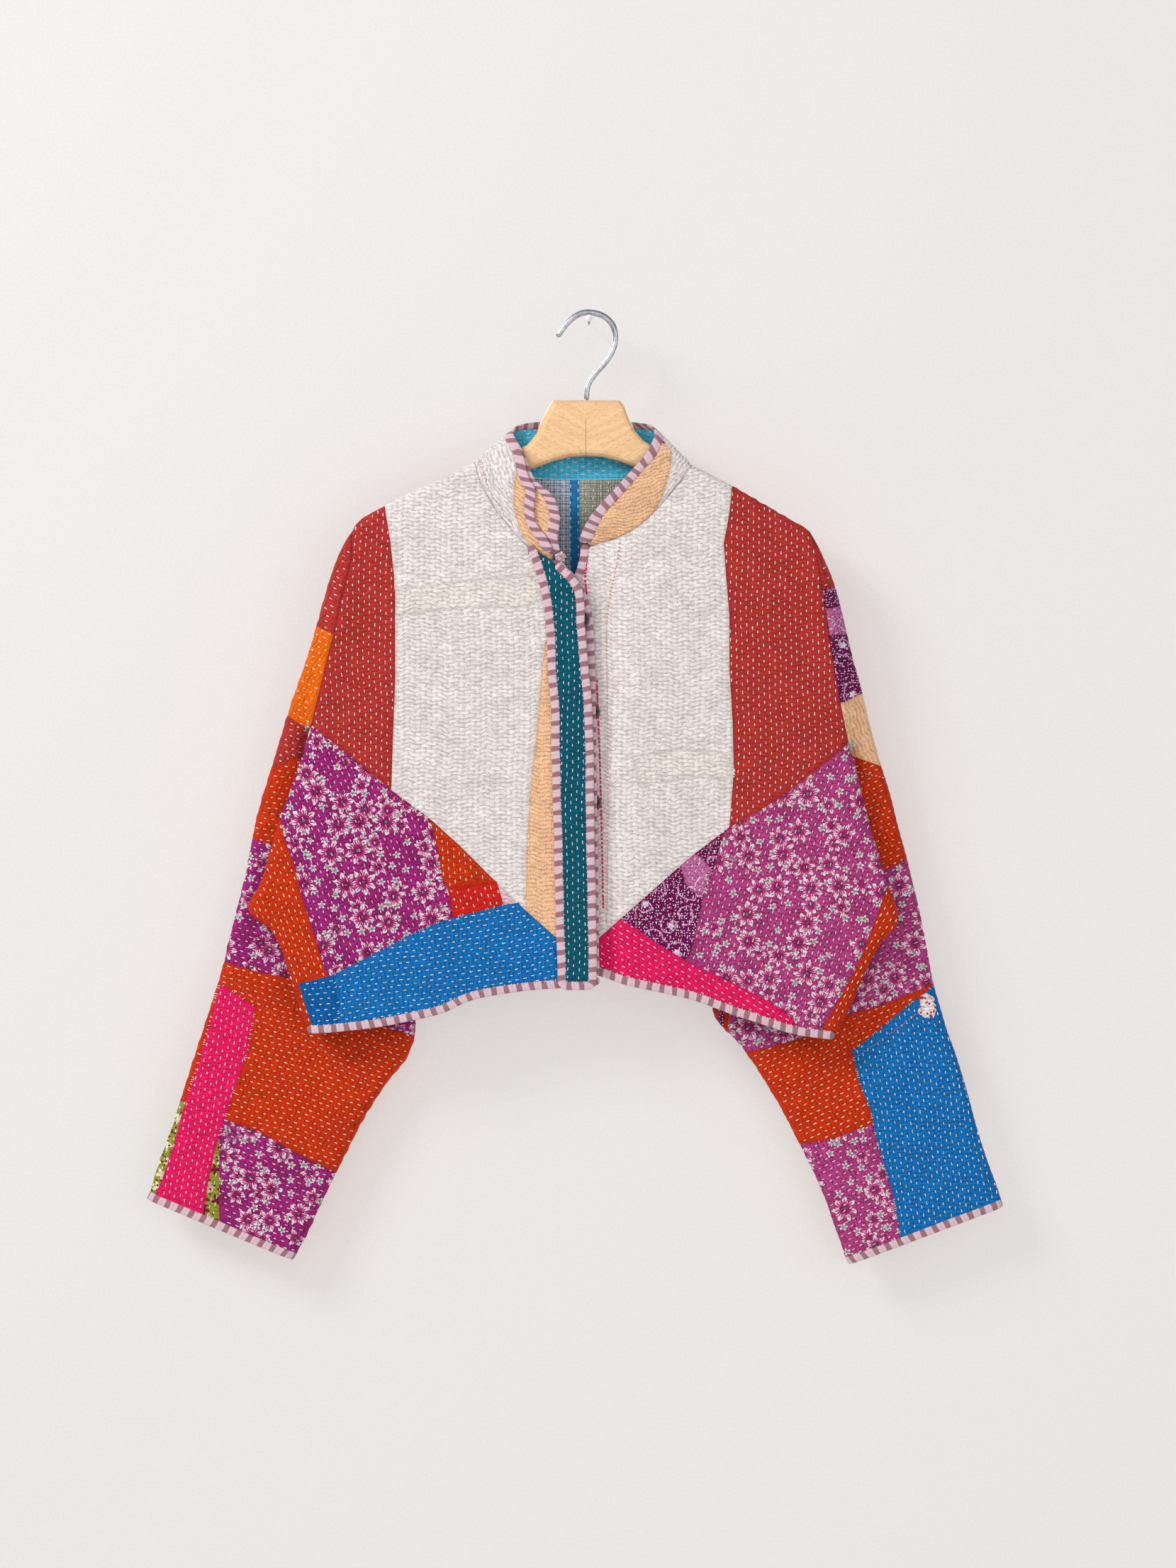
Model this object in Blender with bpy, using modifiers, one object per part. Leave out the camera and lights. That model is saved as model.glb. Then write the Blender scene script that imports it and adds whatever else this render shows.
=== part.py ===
"""Quilted kantha jacket on a wooden hanger with a wire hook.

The jacket hangs flat: two fronts, a back, two sleeves in two lengths each, a stand
collar, a placket strip and striped bindings, all of stitched cloth with real walls.

Sizes in the tables are millimetres, seen from the front: x runs right from the hook,
z runs up from the seat of the hook, and y runs back from the middle of the hanger.
"Right" and "left" in names are the wearer's, so the right side has negative x.
"""
import math

import bmesh
import bpy
import numpy as np
from mathutils import Vector, geometry

MM = 0.001
PART_NAME = "kantha_jacket"

# Cloth and sewing sizes
WALL = 2.0
SEAM_GAP = 0.3
BINDING_WIDTH = 8.0
BINDING_PROUD = 0.5
FOLD_RADIUS = 9.0
FOLD_ROWS = (0.13, 0.5)

# Spacing of mesh points along edges and over panels
CLOTH_STEP = 25.0
BACK_CLOTH_STEP = 29.0
EDGE_STEP = 20.0
SIDE_STEP = 14.0
BACK_HEM_STEP = 26.0
FOLDED_PATH_STEP = 6.0
FINE_STEP = 0.5
CURVE_SAMPLES = 10
CLOSE_POINTS = 3.0
LATTICE_MARGIN = 0.55
ROLLED_ROW_MARGIN = 0.7
MITRE_LIMIT = 0.5
MERGE_DISTANCE = 1e-4
SHARP_ANGLE = math.radians(50)

# Cross-section of a binding tape, columns: share of its width, share of its thickness
TAPE_SECTION = ((-0.5, 0.30), (-0.5, 0.70), (-0.40, 1.0), (0.40, 1.0),
                (0.5, 0.70), (0.5, 0.30), (0.40, 0.0), (-0.40, 0.0))

# Depths of the body, measured from its middle to the outer face
SHOULDER_DEPTH = 10.0
BACK_SIDE_DEPTH = 8.0
FRONT_CROWN = 6.0
BACK_CROWN = 2.0
CROWN_REACH = 60.0
FORWARD_LEAN = 3.5
LEAN_START_Z = -250.0
LEAN_RUN = 350.0
SIDE_THIN_Z = -330.0
SIDE_THIN_RUN = 60.0
SOFT_FOLD_END = 0.35

# The left front dips where the right front covers it
TUCK_DEPTH = 6.2
TUCK_START_X = 40.0
TUCK_FULL_X = 14.0

# Body edges, columns x and z
SHOULDER = {
    "right": (
        (-105, -135), (-133, -148), (-161, -161), (-186, -174), (-205, -184), (-213, -191), (-218, -199),
    ),
    "left": ((94, -137), (129, -155), (162, -174), (188, -189), (197, -194), (202, -198)),
}
ARMHOLE = {
    "right": ((-218, -199), (-217, -222), (-224, -252), (-233, -292), (-243, -332), (-254, -376)),
    "left": ((202, -198), (208, -222), (213, -252), (218, -285), (224, -324), (229, -354), (237, -393)),
}
SIDE = {
    "right": (
        (-254, -376), (-265, -410), (-276, -441), (-285, -465), (-300, -517), (-312, -540), (-307, -552),
        (-293, -562), (-284, -577), (-276, -600), (-268, -626), (-258, -658),
    ),
    "left": (
        (237, -393), (244, -411), (251, -443), (261, -480), (272, -517), (283, -548), (281, -560),
        (269, -574), (259, -590), (249, -611), (239, -635), (224, -664),
    ),
}
DIAGONAL_SEAM = {
    "right": ((-254, -376), (-213, -408), (-181, -435), (-148, -459), (-119, -485), (-89, -515),
              (-60, -543), (-31, -569), (2, -598)),
    "left": ((237, -393), (187, -433), (162, -450), (127, -470), (94, -495), (62, -523), (27, -554),
             (-10, -588)),
}
HEM = {
    "right": ((-258, -658), (-226, -656), (-188, -651), (-138, -640), (-109, -628), (-76, -621), (-29, -616),
              (10, -613)),
    "left": ((224, -664), (187, -658), (136, -642), (87, -625), (37, -614), (12, -606), (-18, -600)),
}
BACK_HEM = ((-258, -651), (-188, -642), (-110, -622), (-20, -606), (60, -612), (136, -634), (224, -657))
FRONT_NECK = {
    "right": ((-105, -135), (-98, -157), (-83, -182), (-60, -209), (-44, -220), (-30, -228)),
    "left": ((94, -137), (84, -153), (58, -183), (36, -200), (8, -210), (-8, -214)),
}
BACK_NECK = ((-105, -135), (-84, -144), (-45, -149), (-5, -150), (40, -149), (74, -145), (94, -137))
FRONT_EDGE = {
    "right": ((-26, -226), (-12, -240), (-3, -255), (3, -276), (5, -300), (6, -350), (8, -491), (10, -613)),
    "left": ((-8, -214), (-10, -228), (-15, -244), (-18, -264), (-18, -350), (-18, -491), (-18, -600)),
}

# Soft folds pressed into the body, one row each: ends in x and z, half width, height out
BODY_FOLDS = {
    "front": (
        (-213, -208, -236, -352, 9, 2.2), (-192, -196, -206, -330, 16, -1.6),
        (-258, -398, -232, -640, 15, 1.8), (-250, -392, -176, -622, 20, -1.6),
        (-292, -520, -262, -640, 13, 2.0), (-120, -180, -70, -300, 26, 1.3),
        (-140, -420, -60, -590, 24, -1.2), (203, -206, 220, -350, 9, 2.2),
        (184, -200, 196, -330, 16, -1.5), (238, -410, 214, -645, 15, 1.8),
        (228, -405, 150, -628, 20, -1.6), (266, -520, 238, -640, 13, 2.0),
        (70, -200, 60, -330, 24, 1.2), (38, -300, 52, -540, 15, 1.4), (120, -400, 70, -590, 24, -1.2),
    ),
    "back": (
        (-208, -206, -228, -352, 10, 2.0), (-120, -170, -150, -420, 24, -1.8),
        (-60, -200, -84, -590, 22, 1.8), (-10, -170, -14, -590, 20, -1.6), (52, -190, 70, -580, 22, 1.6),
        (120, -180, 148, -430, 24, -1.8), (196, -206, 214, -352, 10, 2.0),
        (-230, -430, -190, -640, 20, -1.2), (210, -440, 170, -640, 20, -1.2),
    ),
}

# Sleeve rings, columns: outer fold x, z, y; underarm fold x, z, y; half depth
SLEEVE_RINGS = {
    "right": (
        (-218, -199, 0, -254, -376, 0, 10),
        (-235, -227, 1, -257, -381, 4, 10),
        (-246, -269, 3, -259, -387, 10, 10),
        (-259, -313, 6, -261, -395, 17, 10),
        (-275, -358, 10, -254, -425, 23, 9.5),
        (-290, -406, 15, -235, -478, 24, 9.5),
        (-306, -458, 19, -208, -532, 24, 9.5),
        (-317, -512, 21, -180, -586, 24, 9.5),
        (-328, -556, 22, -161, -642, 24, 9.5),
        (-334, -580, 22, -166, -678, 23, 9.5),
        (-339, -601, 22, -187, -706, 22, 9.5),
        (-352, -643, 21, -207, -737, 21, 9.5),
        (-364, -680, 20, -224, -770, 20, 9),
        (-375, -715, 19, -238, -798, 19, 9),
        (-386, -750, 18, -250, -823, 18, 8.5),
        (-397, -780, 17, -260, -845, 17, 8),
        (-404, -804, 16, -269, -861, 16, 7.5),
        (-407, -812, 16, -273, -868, 16, 7.5),
    ),
    "left": (
        (202, -198, 0, 237, -393, 0, 10),
        (217, -224, 1, 240, -398, 4, 10),
        (228, -256, 3, 242, -404, 10, 10),
        (238, -296, 6, 244, -412, 17, 10),
        (250, -341, 10, 236, -445, 23, 9.5),
        (263, -392, 15, 214, -498, 24, 9.5),
        (277, -437, 19, 182, -545, 24, 9.5),
        (291, -490, 21, 148, -592, 24, 9.5),
        (303, -538, 22, 114, -636, 24, 9.5),
        (311, -577, 22, 143, -675, 23, 9.5),
        (318, -614, 22, 171, -718, 22, 9.5),
        (330, -655, 21, 189, -752, 21, 9.5),
        (343, -693, 20, 204, -781, 20, 9),
        (353, -729, 19, 216, -808, 19, 9),
        (363, -765, 18, 226, -836, 18, 8.5),
        (372, -790, 17, 232, -853, 17, 8),
        (379, -811, 16, 236, -865, 16, 7.5),
        (381, -819, 16, 240, -872, 16, 7.5),
    ),
}
SLEEVE_FOLD_RADIUS = 10.0
SLEEVE_CROWN = 2.0
SLEEVE_SEAM_RING = 10
SLEEVE_CUFF_RING = 16
ARMHOLE_BLEND = 2.0
RING_COLUMNS = (0.0, 0.35, 0.7, 1.0)
RING_FLAT_COLUMNS = 7
RING_GAP = 0.012
CUFF_RING_GAP = 0.03

# Soft folds of the sleeves, columns: ring, place round the tube from -1 to 1, reach in rings,
# reach round the tube, height
SLEEVE_FOLDS = {
    "right": (
        (9.0, 0.86, 0.9, 0.10, 2.4), (9.8, 0.62, 1.0, 0.16, -2.0), (11.4, 0.80, 0.8, 0.12, 1.6),
        (6.4, 0.18, 1.2, 0.10, 1.5), (12.6, 0.35, 1.2, 0.16, -1.4), (9.2, -0.80, 0.9, 0.14, 2.4),
        (7.4, -0.45, 1.0, 0.14, -2.0), (5.2, -0.70, 0.9, 0.14, 2.0), (11.5, -0.40, 1.2, 0.16, -1.5),
    ),
    "left": (
        (9.0, 0.86, 0.9, 0.10, 2.4), (10.0, 0.58, 1.0, 0.16, -2.0), (11.6, 0.78, 0.8, 0.12, 1.6),
        (6.8, 0.16, 1.2, 0.10, 1.5), (13.0, 0.32, 1.2, 0.16, -1.4), (9.0, -0.78, 0.9, 0.14, 2.4),
        (7.6, -0.48, 1.0, 0.14, -2.0), (5.0, -0.72, 0.9, 0.14, 2.0), (11.9, -0.44, 1.2, 0.16, -1.5),
    ),
}

# Collar stations from the right front end, round the back, to the left front end.
# Columns: body face at the seam, seam x, z; free edge x, y, z
COLLAR_STATIONS = (
    ("front_right", -35, -226, -27, -19, -217), ("front_right", -47, -218, -30, -19.5, -203),
    ("front_right", -62, -207, -27, -20.5, -184), ("front_right", -83, -182, -33, -21, -167),
    ("front_right", -98, -157, -49, -18.5, -152), ("front_right", -103, -142, -58, -14.5, -131),
    ("front_right", -104.6, -137, -66, -9, -116), ("front_right", -105, -135, -69.5, -3, -109),
    ("back", -104, -136, -70, 3, -105), ("back", -99, -139, -66, 9, -100), ("back", -84, -144, -57, 14, -97),
    ("back", -45, -149, -32, 17.5, -95), ("back", -5, -150, -5, 19, -94), ("back", 40, -149, 24, 17.5, -95),
    ("back", 74, -145, 46, 14, -97), ("back", 88, -141, 55, 9, -99), ("back", 93, -138, 60, 3, -103),
    ("front_left", 94, -137, 60.5, -3, -108), ("front_left", 93.5, -139, 57.5, -9, -116),
    ("front_left", 91.5, -143.5, 51, -15, -129), ("front_left", 84, -153, 41, -18.5, -141),
    ("front_left", 58, -183, 23, -20, -161), ("front_left", 36, -200, 5, -17, -181),
    ("front_left", 14, -208.5, -4, -13, -196), ("front_left", 2, -212, -8, -11, -208),
)
COLLAR_ROWS = 5
COLLAR_BOW = 2.5
COLLAR_SEAT = 1.4
COLLAR_LEAST_TOP = 0.3
COLLAR_CENTRE = (-5.0, 0.0)

# Placket strip on the right front, columns x and z, and the tape laid on the collar
PLACKET_OUTER = ((-57, -214), (-49, -235), (-42, -263), (-39, -290), (-38, -324), (-35, -362), (-34, -411),
                 (-32, -491), (-29, -600))
PLACKET_EDGE_SETBACK = 3.0
PLACKET_LIFT = 1.0
PLACKET_FLAP_LIFT = 3.4
PLACKET_FLAP_WIDTH = 30.0
PLACKET_TAPE_UNDER = 0.1
PLACKET_TOP_SHARE = 0.8
PLACKET_BOTTOM = -617.5
PLACKET_CORNER = 5.0

# Tape laid on the outside of the collar, columns: collar station, share of the collar's height
COLLAR_TAPE = ((6.0, 0.90), (5.0, 0.86), (4.0, 0.80), (3.0, 0.58), (2.0, 0.44), (1.0, 0.5), (0.25, 0.5))
COLLAR_TAPE_LIFT = 1.5
COLLAR_TAPE_THICKNESS = 1.8
COLLAR_TAPE_STEP = 16.0
STATION_STEP = 0.4
STATION_AHEAD = 0.2

# Buttons, columns: x, z, and the layer each one is sewn on
BUTTON_DIAMETER = 17.0
BUTTON_THICKNESS = 2.4
BUTTON_SIDES = 20
BUTTON_ROUNDING = 0.84
BUTTON_SEAT_REACH = 10.2
BUTTON_SEAT_POINTS = 17
BUTTONS = ((-8, -280, "front_right"), (1.5, -364, "front_left"), (2.5, -447, "front_left"))

# Hanger, seen from the front: its neck and its underside on each side, columns x and z.
# Between them the top of each arm follows the shoulder seam, a seat below it.
HANGER_THICKNESS = 14.0
HANGER_ROUNDING = 5.5
HANGER_SEAT = 3.0
HANGER_JOINT_X = -3.0
HANGER_JOINT_Z = -129.0
HANGER_RIM_ANGLE = math.radians(60)
HANGER_NECK = {
    "right": ((-33, -78), (-37, -84), (-44, -97), (-48, -108), (-57, -119), (-80, -129)),
    "left": ((28, -78), (33, -84), (37, -95), (42, -106), (50, -115), (72, -128)),
}
HANGER_UNDERSIDE = {
    "right": ((-208, -194), (-205, -202), (-194, -204), (-161, -187), (-112, -163), (-80, -150), (-52, -141),
              (-33, -134), (-18, -130)),
    "left": ((195, -202), (191, -209), (180, -209), (146, -192), (104, -169), (74, -153), (46, -141),
             (28, -134), (13, -130)),
}

# Hook wire
WIRE_DIAMETER = 5.5
WIRE_STEP = 5.5
HOOK_PATH = ((-28.5, -18.5), (-20, -7), (-10.5, 0.5), (0, 2.75), (13, -0.5), (22, -9.5), (24.5, -21),
             (21.5, -33), (14.5, -43.5), (6.5, -52.5), (0.5, -61), (-1.8, -69), (-2, -77.7))

# Cloth colours of the panels, linear red, green, blue
RUST = (0.45, 0.042, 0.034)
FLORAL = (0.43, 0.027, 0.22)
ORANGE = (0.61, 0.045, 0.004)
PEACH = (0.95, 0.51, 0.24)
TEAL = (0.0, 0.098, 0.15)
STRIPE = (0.62, 0.36, 0.41)
BEECH = (0.83, 0.51, 0.24)
STEEL = (0.55, 0.55, 0.57)
DARK_HORN = (0.05, 0.03, 0.02)
CLOTH_COLOURS = {
    "front_right_upper": RUST, "front_right_lower": FLORAL,
    "front_left_upper": RUST, "front_left_lower": FLORAL, "back": RUST,
    "sleeve_right_upper": ORANGE, "sleeve_right_lower": FLORAL,
    "sleeve_left_upper": ORANGE, "sleeve_left_lower": FLORAL,
    "collar": PEACH, "placket": TEAL,
}


# Curves in the front view

def between(a, b, c, d, t):
    """The point at share t from b to c on the smooth curve through a, b, c and d."""
    bend = (2 * a - 5 * b + 4 * c - d) * t ** 2 + (3 * b - a - 3 * c + d) * t ** 3
    return 0.5 * (2 * b + (c - a) * t + bend)


def smooth_path(points, step):
    """Even points on a smooth curve through the given points."""
    rows = np.array(points, dtype=float)
    padded = np.vstack((2 * rows[0] - rows[1], rows, 2 * rows[-1] - rows[-2]))
    dense = [rows[0]]
    for a, b, c, d in zip(padded[:-3], padded[1:-2], padded[2:-1], padded[3:]):
        for t in np.arange(1, CURVE_SAMPLES + 1) / CURVE_SAMPLES:
            dense.append(between(a, b, c, d, t))
    dense = np.array(dense)
    travel = np.concatenate(([0.0], np.cumsum(np.linalg.norm(np.diff(dense, axis=0), axis=1))))
    count = max(2, int(round(travel[-1] / step)) + 1)
    even = np.linspace(0.0, travel[-1], count)
    return np.column_stack([np.interp(even, travel, column) for column in dense.T])


def halfway_points(rows):
    """The given rows with one smoothly placed row added between each two."""
    padded = np.vstack((2 * rows[0] - rows[1], rows, 2 * rows[-1] - rows[-2]))
    mixed = np.empty((2 * len(rows) - 1, rows.shape[1]))
    mixed[0::2] = rows
    mixed[1::2] = between(padded[:-3], padded[1:-2], padded[2:-1], padded[3:], 0.5)
    return mixed


def edge_path(points, step, start=False, end=False):
    """Even points on a smooth curve, with close points where the cloth turns over a folded edge."""
    dense = smooth_path(points, FINE_STEP)
    travel = np.concatenate(([0.0], np.cumsum(np.linalg.norm(np.diff(dense, axis=0), axis=1))))
    total = travel[-1]
    near = [FOLD_RADIUS * share for share in FOLD_ROWS] + [FOLD_RADIUS]
    low = near if start else []
    high = [total - value for value in reversed(near)] if end else []
    first = low[-1] if start else 0.0
    last = high[0] if end else total
    even = np.linspace(first, last, max(2, int(round((last - first) / step)) + 1))
    stops = [0.0] * bool(start) + low[:-1] + list(even) + high[1:] + [total] * bool(end)
    return np.column_stack([np.interp(stops, travel, column) for column in dense.T])


def side_normals(path):
    """Unit normals on the right hand of a path in the x-z plane."""
    tangent = np.gradient(path, axis=0)
    tangent /= np.linalg.norm(tangent, axis=1)[:, None]
    return np.column_stack((-tangent[:, 1], tangent[:, 0]))


def shifted(path, distance):
    """The path moved sideways by a distance."""
    return path + side_normals(path) * distance


def smoothstep(value):
    value = np.clip(value, 0.0, 1.0)
    return value * value * (3.0 - 2.0 * value)


def nearest_on(path, x, z, inward_sign):
    """Distance from each point to a path, and the unit direction away from the path."""
    best = np.full(np.shape(x), np.inf)
    away_x = np.zeros(np.shape(x))
    away_z = np.zeros(np.shape(x))
    for (ax, az), (bx, bz) in zip(path[:-1], path[1:]):
        dx, dz = bx - ax, bz - az
        length = math.hypot(dx, dz)
        t = np.clip(((x - ax) * dx + (z - az) * dz) / length ** 2, 0.0, 1.0)
        ox, oz = x - (ax + t * dx), z - (az + t * dz)
        distance = np.hypot(ox, oz)
        on_edge = distance < SEAM_GAP
        ox = np.where(on_edge, -dz / length * inward_sign, ox / np.maximum(distance, SEAM_GAP))
        oz = np.where(on_edge, dx / length * inward_sign, oz / np.maximum(distance, SEAM_GAP))
        closer = distance < best
        best = np.where(closer, distance, best)
        away_x = np.where(closer, ox, away_x)
        away_z = np.where(closer, oz, away_z)
    return best, away_x, away_z


FOLDED_EDGES = tuple(
    (smooth_path(table[side], FOLDED_PATH_STEP), sign)
    for side, sign in (("right", 1.0), ("left", -1.0))
    for table in (SHOULDER, SIDE)
)


def folded_edge(x, z):
    """Distance to the nearest folded edge of the body, and the direction away from it."""
    found = [nearest_on(path, x, z, sign) for path, sign in FOLDED_EDGES]
    distances = np.array([item[0] for item in found])
    index = np.argmin(distances, axis=0)
    return [np.choose(index, [item[column] for item in found]) for column in range(3)]


# Cloth surfaces

def fold_height(table, x, z):
    """Height of the soft folds at each point of the body."""
    total = np.zeros(np.shape(x))
    for x0, z0, x1, z1, half_width, height in table:
        dx, dz = x1 - x0, z1 - z0
        along = np.clip(((x - x0) * dx + (z - z0) * dz) / (dx * dx + dz * dz), 0.0, 1.0)
        across = np.hypot(x - (x0 + along * dx), z - (z0 + along * dz))
        fading = SOFT_FOLD_END + (1.0 - SOFT_FOLD_END) * np.sin(math.pi * along)
        total += height * np.exp(-(across / half_width) ** 2) * fading
    return total


def body_depth(face, x, z, distance):
    """Depth of the body's outer face from the middle, away from the folded edges."""
    crown = 1.0 - np.exp(-distance / CROWN_REACH)
    if face == "back":
        lower = smoothstep((SIDE_THIN_Z - z) / SIDE_THIN_RUN)
        depth = SHOULDER_DEPTH + (BACK_SIDE_DEPTH - SHOULDER_DEPTH) * lower + BACK_CROWN * crown
        return depth + crown * fold_height(BODY_FOLDS["back"], x, z)
    depth = SHOULDER_DEPTH + FRONT_CROWN * crown + crown * fold_height(BODY_FOLDS["front"], x, z)
    if face == "front_left":
        depth = depth - TUCK_DEPTH * smoothstep((TUCK_START_X - x) / (TUCK_START_X - TUCK_FULL_X))
    return depth


def body_point(face, x, z, inset=0.0):
    """Points of the body cloth in millimetres, at an inset below its outer face."""
    x = np.asarray(x, dtype=float)
    z = np.asarray(z, dtype=float)
    distance, away_x, away_z = folded_edge(x, z)
    turn = np.clip(1.0 - distance / FOLD_RADIUS, 0.0, 1.0)
    facing = np.sqrt(1.0 - turn ** 2)
    depth = SEAM_GAP / 2 + (body_depth(face, x, z, distance) - inset) * facing
    middle = -FORWARD_LEAN * smoothstep((LEAN_START_Z - z) / LEAN_RUN)
    sign = 1.0 if face == "back" else -1.0
    return np.stack((x + away_x * inset * turn, middle + sign * depth, z + away_z * inset * turn), axis=-1)


def placket_point(x, z, inset=0.0):
    """Points of the placket strip, which lies on the right front and lifts at its free side."""
    sewn_x, sewn_z = np.transpose(PLACKET_OUTER)
    left = np.interp(-np.asarray(z, dtype=float), -sewn_z, sewn_x)
    lift = PLACKET_LIFT + PLACKET_FLAP_LIFT * smoothstep((x - left) / PLACKET_FLAP_WIDTH)
    return body_point("front_right", x, z, inset - WALL - lift)


def ring_values(side, ring):
    """Sleeve ring values at a fractional ring number, read smoothly from the table."""
    table = np.array(SLEEVE_RINGS[side], dtype=float)
    ring = np.clip(ring, 0.0, len(table) - 1.0)
    base = np.minimum(ring.astype(int), len(table) - 2)
    t = (ring - base)[..., None]
    near = [table[np.clip(base + step, 0, len(table) - 1)] for step in (-1, 0, 1, 2)]
    return between(*near, t)


def sleeve_fold_height(side, ring, around):
    """Height of the soft folds at each point of a sleeve."""
    total = np.zeros(np.shape(ring))
    for at_ring, at_side, ring_reach, side_reach, height in SLEEVE_FOLDS[side]:
        spread = ((ring - at_ring) / ring_reach) ** 2 + ((around - at_side) / side_reach) ** 2
        total += height * np.exp(-spread)
    return total


def armhole_point(side, fraction, face, inset):
    """Points of the armhole seam, a seam gap outside the body's own edge."""
    path = smooth_path(ARMHOLE[side], FOLDED_PATH_STEP)
    sign = -1.0 if side == "right" else 1.0
    travel = np.linspace(0.0, 1.0, len(path))
    x = np.interp(fraction, travel, path[:, 0]) + sign * SEAM_GAP
    z = np.interp(fraction, travel, path[:, 1])
    return body_point(face, x, z, inset)


def sleeve_point(side, ring, around, inset=0.0):
    """Points of a sleeve; around is 0 at the outer fold, 1 or -1 at the underarm fold."""
    ring, around = np.broadcast_arrays(np.asarray(ring, dtype=float), np.asarray(around, dtype=float))
    values = ring_values(side, ring)
    outer_x, outer_z, outer_y, inner_x, inner_z, inner_y, depth = np.moveaxis(values, -1, 0)
    width = np.hypot(inner_x - outer_x, inner_z - outer_z)
    radius = SLEEVE_FOLD_RADIUS
    cloth = width - 2 * radius + math.pi * radius
    travel = np.abs(around) * cloth
    quarter = math.pi * radius / 2
    start = np.clip(travel / radius, 0.0, math.pi / 2)
    end = np.clip((cloth - travel) / radius, 0.0, math.pi / 2)
    across = radius * (1 - np.cos(start)) + np.clip(travel - quarter, 0.0, cloth - 2 * quarter)
    across = across + radius * np.cos(end)
    across = across + inset * (np.cos(start) - np.cos(end))
    facing = np.sin(start) * np.sin(end)
    fraction = across / width
    sign = np.where(around < 0, 1.0, -1.0)
    crown = SLEEVE_CROWN * np.sin(math.pi * np.clip(fraction, 0.0, 1.0))
    swell = crown + sleeve_fold_height(side, ring, around)
    middle = outer_y + (inner_y - outer_y) * fraction
    tube = np.stack((
        outer_x + (inner_x - outer_x) * fraction,
        middle + sign * (depth + swell - inset) * facing,
        outer_z + (inner_z - outer_z) * fraction,
    ), axis=-1)
    front = armhole_point(side, np.clip(fraction, 0.0, 1.0), "front_" + side, inset)
    back = armhole_point(side, np.clip(fraction, 0.0, 1.0), "back", inset)
    seam = np.where((around < 0)[..., None], back, front)
    blend = smoothstep(ring / ARMHOLE_BLEND)[..., None]
    return seam + (tube - seam) * blend


def collar_curves():
    """The collar's seam and free edge as two smooth three-dimensional curves."""
    seam = np.array([body_point(face, x, z) for face, x, z, _, _, _ in COLLAR_STATIONS])
    edge = np.array([row[3:] for row in COLLAR_STATIONS], dtype=float)
    both = halfway_points(np.hstack((seam, edge)))
    return both[:, :3], both[:, 3:]


# Mesh building

def new_object(name, data, mat):
    """A new object with its material, placed with the other pieces of the part."""
    obj = bpy.data.objects.new(name, data)
    data.materials.append(mat)
    bpy.data.collections[PART_NAME].objects.link(obj)
    return obj


def principled(name, colour, roughness, metallic=0.0):
    mat = bpy.data.materials.new(name)
    mat.use_nodes = True
    shader = mat.node_tree.nodes["Principled BSDF"]
    shader.inputs["Base Color"].default_value = (*colour, 1.0)
    shader.inputs["Roughness"].default_value = roughness
    shader.inputs["Metallic"].default_value = metallic
    return mat


def quilted_cloth(name):
    """Soft stitched cotton in the main colour of one panel."""
    return principled(name + "_cloth", CLOTH_COLOURS[name], 0.92)


def striped_cloth(name):
    """The woven striped cotton of one binding."""
    return principled(name + "_cloth", STRIPE, 0.88)


def beech_wood(name):
    return principled(name + "_wood", BEECH, 0.5)


def satin_steel(name):
    return principled(name + "_wire", STEEL, 0.35, 1.0)


def dark_horn(name):
    return principled(name + "_horn", DARK_HORN, 0.4)


def outward_mesh(name, bm):
    """A smooth-shaded mesh of a closed body, its faces turned outward."""
    bm.normal_update()
    if bm.calc_volume(signed=True) < 0:
        bmesh.ops.reverse_faces(bm, faces=bm.faces)
    mesh = bpy.data.meshes.new(name)
    bm.to_mesh(mesh)
    bm.free()
    mesh.shade_smooth()
    mesh.set_sharp_from_angle(angle=SHARP_ANGLE)
    return mesh


def wall_object(name, outer, inner, faces, mat):
    """A closed wall between two copies of one open surface, joined round its rim."""
    bm = bmesh.new()
    outer_verts = [bm.verts.new(Vector(point) * MM) for point in outer]
    inner_verts = [bm.verts.new(Vector(point) * MM) for point in inner]
    edge_use = {}
    for face in faces:
        bm.faces.new([outer_verts[i] for i in face])
        bm.faces.new([inner_verts[i] for i in reversed(face)])
        for a, b in zip(face, face[1:] + face[:1]):
            edge_use[(a, b)] = edge_use.get((a, b), 0) + 1
    for a, b in [edge for edge in edge_use if (edge[1], edge[0]) not in edge_use]:
        bm.faces.new((outer_verts[b], outer_verts[a], inner_verts[a], inner_verts[b]))
    return new_object(name, outward_mesh(name, bm), mat)


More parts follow.
